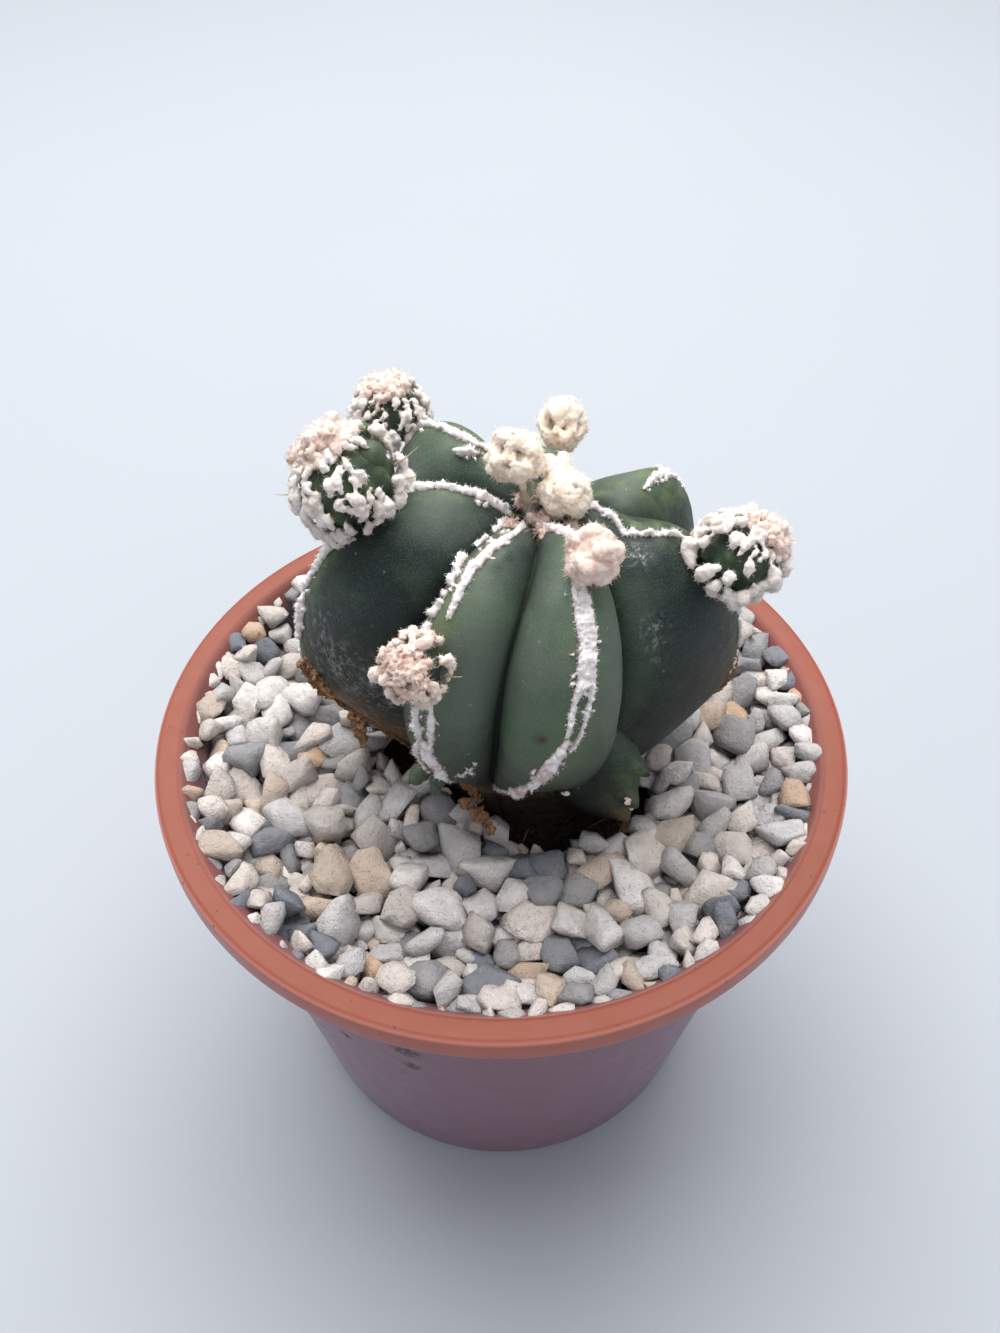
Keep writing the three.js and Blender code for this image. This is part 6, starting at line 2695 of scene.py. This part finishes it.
    def keep_inside(self, mesh: bpy.types.Mesh) -> None:
        """Draws in the corners of stones that would show through the pot's wall.

        Args:
            mesh: The mesh of all the stones.
        """
        points = mesh_points(mesh)
        in_lip = points[:, 2] > UNDER_LIP + 0.6
        reach = np.where(in_lip, LIP_RADIUS - 1.6, self.inner_radius(points[:, 2]) + 0.4)
        away = np.hypot(points[:, 0], points[:, 1])
        points[:, :2] *= np.minimum(1, reach / np.maximum(away, 1))[:, None]
        points[:, 2] = np.minimum(points[:, 2], POT_HEIGHT - 0.3)
        move_points(mesh, points)

    @staticmethod
    def inner_radius(z: float) -> float:
        """Radius of the space inside the pot's wall at a height."""
        return FOOT_RADIUS + WALL_SLOPE * z - WALL

    @staticmethod
    def scatter_tree() -> Tree:
        """The tree: one chosen shape on each point, turned and sized by what is stored there.

        Returns:
            The tree.
        """
        tree = Tree.for_geometry("set_out_stones", {"Shapes": Socket.COLLECTION, "Material": Socket.MATERIAL})
        start = tree.start.outputs
        shapes = tree.add("GeometryNodeCollectionInfo", {"Collection": start["Shapes"]})
        tree.fill(shapes, {"Separate Children": True, "Reset Children": True})
        choice, turn, size = (
            tree.add("GeometryNodeInputNamedAttribute", {"Name": name}, data_type=kind).outputs["Attribute"]
            for name, kind in (("choice", "INT"), ("turn", "FLOAT_VECTOR"), ("size", "FLOAT"))
        )
        placed = tree.instances(start["Geometry"], shapes.outputs[0], turn, size)
        tree.fill(placed, {"Instance Index": choice, "Pick Instance": True})
        tree.end_dressed(placed.outputs[0])
        return tree


@dataclass
class Soil:
    """Potting soil: a filled pot with a crumbly top, and loose crumbs and rootlets in the bare hollow."""

    rows: int = 46
    sides: int = 150
    crumbs_per_mm2: float = 0.85
    crumb_size: float = 0.62
    disc_sides: int = 40
    root_radius: float = 0.13
    strewn: tuple[Disc, ...] = (
        Disc(STEM_X, STEM_Y, 17.5),
        Disc(12.0, -9.5, 8.5),
        Disc(5.8, -11.6, 7.4),
        Disc(-9.0, -0.5, 8.0),
    )
    roots: tuple[tuple[Place, Place], ...] = (
        ((2.0, -17.6, -6.6), (3.6, -13.8, -4.4)),
        ((15.5, -17.8, -5.6), (14.2, -13.4, -5.9)),
        ((17.6, -15.4, -5.2), (15.0, -11.4, -6.5)),
        ((9.0, -14.8, -7.2), (13.0, -13.4, -6.2)),
        ((-3.8, -13.6, -6.9), (-0.6, -16.2, -5.9)),
        ((11.0, -11.8, -7.6), (16.8, -10.0, -5.6)),
    )

    def build(self, finishes: Finishes) -> None:
        """Makes the soil and what lies loose on it.

        Args:
            finishes: The finishes, of which it takes soil and bark.
        """
        body = self.filled_body()
        finish_piece(body, ("soil",), finishes.soil)
        self.crumbs(finishes.soil)
        self.rootlets(finishes.bark)

    def filled_body(self) -> bpy.types.Object:
        """The soil in the pot, with its hole for the root end of the stem.

        Returns:
            The body, its mesh in millimetres.
        """
        bottom = FLOOR_TOP + GAP
        hole = NECK_RADIUS + GAP
        hole_bottom = POT_HEIGHT + NECK_BOTTOM - GAP
        reach = Gravel.inner_radius(SOIL_TOP) - GAP
        turn = round_turns(self.sides)
        way = np.stack([np.cos(turn), np.sin(turn)], axis=1)
        axis = np.array([STEM_X, STEM_Y])
        rings = []

        def ring(centre: np.ndarray, radius: float, z: float) -> None:
            """Adds one level ring."""
            rings.append(np.column_stack([centre + way * radius, np.full(self.sides, z)]))

        ring(np.zeros(2), 12.0, bottom)
        ring(np.zeros(2), Gravel.inner_radius(bottom) - GAP, bottom)
        ring(np.zeros(2), reach, SOIL_TOP)
        outer = np.column_stack([way * (reach - 0.2), np.full(self.sides, SOIL_TOP)])
        inner = np.column_stack([axis + way * hole, np.full(self.sides, SOIL_TOP)])
        for share in np.linspace(0, 1, self.rows):
            rings.append(outer + (inner - outer) * share)
        ring(axis, hole, hole_bottom)
        ring(axis, hole * 0.5, hole_bottom)
        points, faces = loft(np.array(rings), np.array([0, 0, bottom]), np.array([*axis, hole_bottom]))
        body = mesh_object("potting_soil", points, faces)
        points = mesh_points(body.data)
        top = (np.abs(points[:, 2] - SOIL_TOP) < 0.01) & (np.hypot(points[:, 0], points[:, 1]) < 38)
        rise = 0.35 * cloud(points, 3.0, 4, 3) + 0.3 * cloud(points, 0.9, 8)
        points[:, 2] += np.where(top, rise - 0.25, 0)
        move_points(body.data, points)
        return body

    def crumbs(self, material: bpy.types.Material) -> None:
        """Loose crumbs strewn over the bare hollow by a node tree.

        Args:
            material: Their finish.
        """
        sheet = self.hollow_sheet()
        inputs = {
            "Density": Socket.NUMBER,
            "Size": Socket.NUMBER,
            "Seed": Socket.WHOLE,
            "Material": Socket.MATERIAL,
        }
        tree = Tree.for_geometry("strew_crumbs", inputs)
        spots = tree.strewn().outputs["Points"]
        ball = {"Radius": tree.start.outputs["Size"], "Subdivisions": 1}
        crumb = tree.add("GeometryNodeMeshIcoSphere", ball)
        stretch = tree.random((0.4, 0.4, 0.3), (1.6, 1.1, 0.9))
        spin = tree.random((-0.6, -0.6, 0.0), (0.6, 0.6, 6.28))
        placed = tree.instances(spots, crumb.outputs["Mesh"], spin, stretch)
        tree.end_dressed(placed.outputs[0])
        values = {"Density": self.crumbs_per_mm2, "Size": self.crumb_size, "Seed": 6, "Material": material}
        grow(sheet, tree, values)
        finish_piece(sheet)

    def hollow_sheet(self) -> bpy.types.Object:
        """A flat sheet over the bare hollow, where the crumbs are strewn.

        Returns:
            The sheet.
        """
        sheet = Shapes()
        turn = round_turns(self.disc_sides)
        for disc in self.strewn:
            x, y = disc.x + disc.radius * np.cos(turn), disc.y + disc.radius * np.sin(turn)
            sheet.add(np.stack([x, y, np.full_like(x, SOIL_TOP)], axis=1), [range(self.disc_sides)])
        return sheet.made("soil_crumbs")

    def rootlets(self, material: bpy.types.Material) -> None:
        """Thin dry rootlets and fibres that lie in the hollow.

        Args:
            material: Their finish.
        """
        draw = np.random.default_rng(12)
        turn = np.radians([0.0, 90.0, 180.0, 270.0])
        tubes = Shapes()
        for start, end in self.roots:
            rings = []
            a, b = over_rim(*start), over_rim(*end)
            bow = 0.5 * draw.standard_normal(3)
            for share in np.linspace(0, 1, 9):
                radius = self.root_radius * (1 - 0.6 * share)
                centre = a + (b - a) * share + bow * math.sin(math.pi * share)
                rings.append(centre + radius * np.stack([np.cos(turn), 0 * turn, np.sin(turn)], axis=1))
            tubes.add(*loft(np.array(rings), rings[0].mean(axis=0), rings[-1].mean(axis=0)))
        finish_piece(tubes.made("rootlets"), (), material)


@dataclass
class Pot:
    """The tapered plastic pot with its rolled lip, foot ring and drain holes."""

    sides: int = 144
    lip_rounding: float = 0.95
    drain_holes: int = 8
    drain_radius: float = 2.8
    drain_ring: float = 20.5

    def profile(self) -> np.ndarray:
        """The section of the pot, from the middle of its underside round to the middle of its floor.

        Returns:
            Radius and height of each point.
        """
        corners = (
            (6.0, FLOOR_BOTTOM, 0.0),
            (FOOT_RADIUS - FOOT_WIDTH, FLOOR_BOTTOM, 0.25),
            (FOOT_RADIUS - FOOT_WIDTH, 0.0, 0.25),
            (FOOT_RADIUS, 0.0, 0.5),
            (WALL_TOP_RADIUS, UNDER_LIP, 0.5),
            (LIP_RADIUS, UNDER_LIP, 0.8),
            (LIP_RADIUS, POT_HEIGHT, self.lip_rounding),
            (LIP_INNER_RADIUS, POT_HEIGHT, 0.9),
            (WALL_TOP_RADIUS - WALL, UNDER_LIP + 0.8, 0.6),
            (FOOT_RADIUS + WALL_SLOPE * FLOOR_TOP - WALL, FLOOR_TOP, 0.6),
            (6.0, FLOOR_TOP, 0.0),
        )
        made = []
        for i, (x, z, radius) in enumerate(corners):
            here = np.array([x, z])
            if radius == 0.0:
                made.append(here)
                continue
            before = unit(np.array(corners[i - 1][:2]) - here)
            after = unit(np.array(corners[i + 1][:2]) - here)
            half = 0.5 * math.acos(float(np.clip(before @ after, -1, 1)))
            run = radius / math.tan(half)
            for share in np.linspace(0, 1, 7):
                first = here + before * run * (1 - share)
                second = here + after * run * share
                made.append(first * (1 - share) + second * share)
        return np.array(made)

    def build(self, material: bpy.types.Material) -> None:
        """Turns the section, drills the holes and dresses the pot.

        Args:
            material: The plastic's finish.
        """
        profile = self.profile()
        fine = [profile[0]]
        for a, b in zip(profile[:-1], profile[1:]):
            steps = max(1, math.ceil(float(np.linalg.norm(b - a)) / 4.0))
            fine += [a + (b - a) * k / steps for k in range(1, steps + 1)]
        section = np.array(fine)
        turn = round_turns(self.sides)
        radius, height = section[:, :1], section[:, 1:]
        rings = np.stack([radius * np.cos(turn), radius * np.sin(turn), height + 0 * turn], axis=2)
        points, faces = loft(rings, np.array([0, 0, FLOOR_BOTTOM]), np.array([0, 0, FLOOR_TOP]))
        faces = [tuple(reversed(face)) for face in faces]
        pot = mesh_object("flower_pot", points, faces)
        self.check_outward(pot)
        sizes = {"Hole radius": self.drain_radius, "Ring radius": self.drain_ring, "Holes": self.drain_holes}
        grow(pot, self.drain_tree(), sizes)
        points = mesh_points(pot.data)
        height = points[:, 2]
        in_lip = height > UNDER_LIP + 0.2
        reach = np.where(in_lip, LIP_INNER_RADIUS + 0.85, Gravel.inner_radius(height) + 0.4)
        within = (np.hypot(points[:, 0], points[:, 1]) < reach) & (height > FLOOR_TOP - 0.1)
        set_attribute(pot.data, "inside", within * np.clip((POT_HEIGHT - 0.02 - height) / 0.5, 0, 1))
        pot.data.shade_smooth()
        pot.data.set_sharp_from_angle(angle=math.radians(50))
        finish_piece(pot, ("pot",), material)

    @staticmethod
    def check_outward(piece: bpy.types.Object) -> None:
        """Turns a closed mesh's faces outwards where they all point in.

        Args:
            piece: The object that is looked at.
        """
        points = mesh_points(piece.data)
        normals = mesh_normals(piece.data)
        outer = points[:, 2] > POT_HEIGHT - 0.01
        if normals[outer, 2].mean() < 0:
            piece.data.flip_normals()

    @staticmethod
    def drain_tree() -> Tree:
        """The tree that drills the drain holes: one in the middle and a ring of them.

        Returns:
            The tree.
        """
        inputs = {"Hole radius": Socket.NUMBER, "Ring radius": Socket.NUMBER, "Holes": Socket.WHOLE}
        tree = Tree.for_geometry("drain_holes", inputs)
        start = tree.start.outputs
        circle = {"Vertices": start["Holes"], "Radius": start["Ring radius"]}
        ring = tree.add("GeometryNodeMeshCircle", circle)
        middle = tree.add("GeometryNodeMeshLine", {"Count": 1})
        spots = tree.add("GeometryNodeJoinGeometry", {0: ring.outputs[0]})
        tree.feed(spots.inputs[0], middle.outputs[0])
        size = {"Vertices": 28, "Radius": start["Hole radius"], "Depth": 8.0}
        drill = tree.add("GeometryNodeMeshCylinder", size).outputs["Mesh"]
        placed = tree.add("GeometryNodeInstanceOnPoints", {"Points": spots.outputs[0], "Instance": drill})
        real = tree.add("GeometryNodeRealizeInstances", {"Geometry": placed.outputs[0]})
        cut = tree.add("GeometryNodeMeshBoolean", operation="DIFFERENCE")
        tree.fill(cut, {0: start["Geometry"], 1: real.outputs[0]})
        tree.feed(tree.end.inputs["Geometry"], cut.outputs[0])
        return tree


@dataclass
class Trim:
    """Small things on and beside the plant: spines, scraps of wool, flakes, knobs and the bark chip."""

    bumps: tuple[tuple[Place, float], ...] = (((0.5, -9.2, 37.5), 0.5), ((-0.75, -10.55, 37.5), 0.38))
    knobs: tuple[tuple[Place, float], ...] = (
        ((-13.7, 1.2, 42.5), 1.75),
        ((-15.0, 6.0, 42.2), 1.15),
        ((-9.4, -16.0, 10.0), 1.25),
        ((-9.9, -16.5, 9.5), 0.95),
        ((-7.3, -17.9, 10.7), 1.0),
        ((-7.6, -18.7, 10.2), 0.75),
    )
    # These heights are over the floor, and all the others are over the rim.
    scraps: tuple[tuple[Place, float], ...] = (
        ((16.3, -13.9, 74.4), 0.4),
        ((15.4, -16.2, 69.6), 0.5),
        ((14.9, -16.6, 70.8), 0.3),
        ((7.6, -17.0, 73.0), 0.3),
    )
    flakes: tuple[tuple[tuple[float, float, float, float], ...], ...] = (
        (
            (-4.6, -16.6, 5.6, 0.6),
            (-3.8, -17.0, 4.4, 1.0),
            (-2.6, -17.2, 3.2, 1.1),
            (-1.6, -17.4, 1.6, 0.8),
            (-1.2, -17.9, 0.2, 0.4),
        ),
        (
            (-23.4, -1.7, 13.6, 0.35),
            (-22.6, -2.9, 12.2, 0.4),
            (-21.7, -3.8, 11.2, 0.4),
            (-20.6, -4.4, 10.2, 0.3),
        ),
        ((-18.4, -5.9, 8.6, 0.3), (-17.6, -6.8, 7.7, 0.6), (-17.2, -7.3, 6.4, 0.7), (-17.0, -7.6, 4.9, 0.3)),
    )
    spines: tuple[tuple[Place, Place], ...] = (
        ((-11.2, 1.2, 41.2), (-8.6, 2.2, 43.0)),
        ((-11.0, 1.0, 39.6), (-8.8, 0.6, 40.3)),
        ((-22.0, 0.2, 38.4), (-24.4, 0.4, 38.0)),
        ((-5.6, -20.4, 31.4), (-3.8, -20.7, 31.5)),
        ((21.6, -3.6, 34.4), (20.6, -3.4, 35.6)),
    )
    chip_at: tuple[float, float] = (16.2, -11.4)
    chip_turn: float = 0.9

    def build(self, shop: Workshop) -> None:
        """Makes them all.

        Args:
            shop: What they are made with.
        """
        finishes = shop.finishes
        self.build_spines(finishes.spine)
        self.build_chip(finishes.bark)
        knobs = self.balls("green_knobs", self.knobs)
        subdivision = knobs.modifiers.new("smooth", "SUBSURF")
        subdivision.levels = subdivision.render_levels = 1
        settle_modifiers(knobs)
        set_skin(knobs.data, ridge=0.55, lit=0.55)
        finish_piece(knobs, (), finishes.skin)
        self.build_flakes(shop.fuser, finishes.cork)
        finish_piece(self.balls("pale_bumps", self.bumps), (), finishes.pearl)
        self.build_scraps(shop.fuser, finishes.cap)

    @staticmethod
    def balls(name: str, places: Sequence[tuple[Place, float]]) -> bpy.types.Object:
        """Several balls as one object.

        Args:
            name: The object's name.
            places: Each ball's place over the rim and its radius.

        Returns:
            The object.
        """
        ball, faces = BallFuser.ball_mesh()
        shapes = Shapes()
        for at, radius in places:
            shapes.add(over_rim(*at) + ball * radius, faces)
        return shapes.made(name)

    def build_scraps(self, fuser: BallFuser, material: bpy.types.Material) -> None:
        """Scraps of stained wool on the points of the side lobe and under the front ribs.

        Args:
            fuser: Makes the scraps from balls.
            material: Their finish.
        """
        draw = np.random.default_rng(17)
        balls, sizes = [], []
        for place, spread in self.scraps:
            for _ in range(10):
                balls.append(np.array(place) + spread * draw.standard_normal(3) * np.array([0.9, 0.4, 0.9]))
                sizes.append(draw.uniform(0.15, 0.3))
        piece = fuser.fuse("lobe_wool", balls, sizes, grain=0.13)
        roughen(piece, size=0.5, depth=0.1, fine=0.05, seed=9)
        set_attribute(piece.data, "pit", np.full(len(piece.data.vertices), 0.2))
        finish_piece(piece, (), material)

    def build_flakes(self, fuser: BallFuser, material: bpy.types.Material) -> None:
        """Ragged flakes of cork at the feet of the left ribs, each along its line of places and widths.

        Args:
            fuser: Makes the flakes from balls.
            material: Their finish.
        """
        draw = np.random.default_rng(8)
        balls, sizes = [], []
        for line in self.flakes:
            for (*here, width), (*after, next_width) in zip(line[:-1], line[1:]):
                for _ in range(18):
                    share = draw.random()
                    place = np.array(here) * (1 - share) + np.array(after) * share
                    spread = width * (1 - share) + next_width * share
                    side = [draw.uniform(-1, 1) * spread, draw.uniform(-0.3, 0.3), draw.uniform(-0.5, 0.5)]
                    balls.append(over_rim(*(place + np.array(side))))
                    sizes.append(draw.uniform(0.18, 0.40))
        piece = fuser.fuse("cork_flake", balls, sizes, grain=0.13)
        roughen(piece, size=0.5, depth=0.16, fine=0.08, seed=5)
        finish_piece(piece, (), material)

    def build_spines(self, material: bpy.types.Material) -> None:
        """Thin dry spines that stand out of the offsets.

        Args:
            material: Their finish.
        """
        turn = np.radians([0.0, 72.0, 144.0, 216.0, 288.0])[:, None]
        tubes = Shapes()
        for start, end in self.spines:
            a, b = over_rim(*start), over_rim(*end)
            along = unit(b - a)
            side = unit(np.cross(along, np.array([0.3, 0.2, 1.0])))
            other = np.cross(along, side)
            rings = []
            for share, radius in ((0.0, 0.13), (0.5, 0.085), (0.92, 0.04)):
                centre = a + (b - a) * share + other * 0.12 * math.sin(math.pi * share)
                rings.append(centre + radius * (np.cos(turn) * side + np.sin(turn) * other))
            tubes.add(*loft(np.array(rings), a, b))
        finish_piece(tubes.made("spines"), (), material)

    def build_chip(self, material: bpy.types.Material) -> None:
        """The chip of bark in the hollow: a splintered sliver.

        Args:
            material: Its finish.
        """
        draw = np.random.default_rng(4)
        turn = round_turns(12)
        rings = []
        for share in np.linspace(-1, 1, 15):
            width = 0.8 * math.sqrt(max(0.04, 1 - share * share)) * draw.uniform(0.8, 1.1)
            across, up = width * np.cos(turn), 0.45 * width * np.sin(turn)
            ring = np.stack([0 * turn + 1.75 * share, across, up], axis=1)
            rings.append(ring + 0.05 * draw.standard_normal(ring.shape))
        end = np.array([0.15, 0, 0])
        points, faces = loft(np.array(rings), rings[0].mean(axis=0) - end, rings[-1].mean(axis=0) + end)
        cos, sin = math.cos(self.chip_turn), math.sin(self.chip_turn)
        spin = np.array([[cos, -sin, 0], [sin, cos, 0], [0, 0, 1.0]])
        points = points @ spin.T + np.array([*self.chip_at, SOIL_TOP + GAP + 0.5])
        finish_piece(mesh_object("bark_sliver", points, faces), ("bark_chip",), material)


OFFSETS = (
    Offset(
        "offset_left",
        (-16.4, 1.3, 38.8),
        6.2,
        (-0.5, 0.2, 0.84),
        12,
        3,
        per_row=5,
        tuft_size=1.05,
        kept_clear=((-13.7, 0.8, 42.6, 2.3), (-15.0, 6.0, 42.2, 1.5)),
    ),
    Offset(
        "offset_back_left",
        (-13.5, 21.0, 33.8),
        4.8,
        (-0.1, 0.1, 0.98),
        11,
        5,
        per_row=5,
        cap_height=0.06,
        tuft_size=1.15,
    ),
    Offset(
        "offset_right",
        (26.0, -4.0, 32.6),
        5.0,
        (0.72, 0.1, 0.68),
        10,
        8,
        per_row=4,
        tuft_size=1.3,
        kept_clear=((23.3, -6.4, 36.0, 1.9),),
    ),
    Offset(
        "offset_front",
        (-8.6, -20.2, 32.2),
        3.6,
        (-0.25, -0.72, 0.64),
        8,
        11,
        per_row=3,
        cap_share=0.7,
        tuft_size=1.5,
        beige=True,
    ),
)

BUDS = (
    Bud(
        "bud_left",
        (1.7, 1.5, 42.1),
        3.3,
        (3.4, -0.2, 34.6),
        2,
        dents=(
            Dent(-0.62, 0.12, 0.8),
            Dent(0.12, -0.22, 0.6, 0.9),
            Dent(-0.4, -0.45, 0.35, 0.5),
            Dent(-0.05, 0.6, 0.32),
        ),
        lumps=((-0.35, 0.5, 0.52), (0.45, 0.1, 0.6), (-0.5, -0.35, 0.45), (0.1, -0.6, 0.5)),
    ),
    Bud(
        "bud_back",
        (7.1, 9.6, 40.4),
        3.15,
        (7.2, 9.4, 33.6),
        4,
        dents=(Dent(-0.62, -0.1, 0.6), Dent(0.15, -0.3, 0.55), Dent(0.66, -0.2, 0.35)),
        lumps=((-0.05, 0.5, 0.5), (-0.4, 0.2, 0.45), (0.5, 0.2, 0.5), (-0.15, -0.45, 0.45)),
    ),
    Bud(
        "bud_centre",
        (7.1, -0.6, 38.6),
        3.1,
        (6.2, -0.6, 34.0),
        6,
        dents=(Dent(-0.1, -0.7, 0.42), Dent(0.32, 0.12, 0.34, 0.9), Dent(-0.45, 0.25, 0.5, 0.4)),
        lumps=((0.2, -0.3, 0.6), (-0.4, -0.1, 0.55), (0.45, 0.35, 0.45)),
        knob=(6.4, 3.0, 39.2, 1.9),
    ),
    Bud(
        "bud_front",
        (9.2, -12.9, 40.6),
        3.2,
        (8.6, -12.4, 36.4),
        9,
        dents=(Dent(-0.6, 0.35, 0.55, 0.8), Dent(-0.2, 0.1, 0.4, 0.5), Dent(0.5, -0.4, 0.45, 0.3)),
        lumps=((0.05, 0.8, 0.4), (0.35, 0.15, 0.6), (-0.35, -0.35, 0.55)),
        peach=True,
        stalk=0.9,
    ),
)


@dataclass
class Studio:
    """The floor, the soft light and the camera."""

    camera_at: Place = (-0.0581, -102.4023, 186.748)
    camera_fall: float = 0.8212
    camera_roll: float = -0.0066
    focal_pixels: float = 1200.0
    frame_height: float = 1333.0
    sky: Colour = (0.84, 0.90, 1.0)
    sky_strength: float = 0.38
    aim: Place = (0.0, 0.0, 60.0)
    floor_reach: float = 2500.0

    def build(self, floor: bpy.types.Material) -> None:
        """Sets up the stage.

        Args:
            floor: The floor's finish.
        """
        self.floor(floor)
        self.world()
        warm, cool = (1.0, 0.985, 0.965), (0.98, 0.98, 1.0)
        self.lamp("overhead", (-40.0, 280.0, 740.0), size=950.0, power=15.0, colour=warm)
        self.lamp("front_fill", (220.0, -520.0, 620.0), size=420.0, power=1.0, colour=cool)
        self.camera()

    def floor(self, material: bpy.types.Material) -> None:
        """A wide pale floor.

        Args:
            material: Its finish.
        """
        corners = np.array([[-1, -1, 0], [1, -1, 0], [1, 1, 0], [-1, 1, 0]]) * self.floor_reach
        floor = mesh_object("pale_floor", corners, [(0, 1, 2, 3)], smooth=False)
        floor.data.transform(Matrix.Scale(METRES, 4))
        floor.data.materials.append(material)

    def world(self) -> None:
        """An even pale surround."""
        world = bpy.data.worlds.new("pale_surround")
        world.use_nodes = True
        background = world.node_tree.nodes["Background"]
        background.inputs["Color"].default_value = (*self.sky, 1.0)
        background.inputs["Strength"].default_value = self.sky_strength
        bpy.context.scene.world = world
        bpy.context.scene.view_settings.view_transform = "Standard"

    def lamp(self, name: str, place: Place, size: float, power: float, colour: Colour) -> None:
        """A square soft light that looks at the plant.

        Args:
            name: Its name.
            place: Where it is, in millimetres.
            size: How wide it is.
            power: Its power in watts.
            colour: Its colour.
        """
        light = bpy.data.lights.new(name, "AREA")
        light.shape = "SQUARE"
        light.size = size * METRES
        light.energy = power
        light.color = colour
        made = bpy.data.objects.new(name, light)
        made.location = Vector(place) * METRES
        way = Vector(self.aim) - Vector(place)
        made.rotation_euler = way.to_track_quat("-Z", "Y").to_euler()
        bpy.context.scene.collection.objects.link(made)

    def camera(self) -> None:
        """The camera at the photograph's place and angle."""
        data = bpy.data.cameras.new("camera")
        data.sensor_fit = "AUTO"
        data.sensor_width = 36.0
        data.lens = data.sensor_width * self.focal_pixels / self.frame_height
        data.clip_start = 0.005
        data.clip_end = 10.0
        camera = bpy.data.objects.new("camera", data)
        fall = self.camera_fall
        forward = Vector((0.0, math.cos(fall), -math.sin(fall)))
        level_up = Vector((0.0, math.sin(fall), math.cos(fall)))
        right = Vector((1.0, 0.0, 0.0)) * math.cos(self.camera_roll) + level_up * math.sin(self.camera_roll)
        up = right.cross(forward)
        turn = Matrix((right, up, -forward)).transposed()
        camera.rotation_euler = turn.to_euler()
        camera.location = Vector(self.camera_at) * METRES
        bpy.context.scene.collection.objects.link(camera)
        bpy.context.scene.camera = camera


def main() -> None:
    """Builds the plant, its pot and the studio."""
    logging.basicConfig(level=logging.INFO, format="%(message)s")
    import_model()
    finishes = Finishes()
    form = StemForm()
    shop = Workshop(BallFuser(), FibreCoat(), finishes)
    Studio().build(finishes.floor)
    Pot().build(finishes.plastic)
    Soil().build(finishes)
    Gravel().build(finishes.stone)
    Stem(form).build(finishes.skin)
    Felt(form, shop.coat).build(finishes.felt)
    Cork(form, shop.coat).build(finishes.cork)
    for woolly in (*OFFSETS, *BUDS, CrownWool(), Trim()):
        woolly.build(shop)
    bpy.data.objects.remove(shop.coat.fibre)


if __name__ == "__main__":
    main()
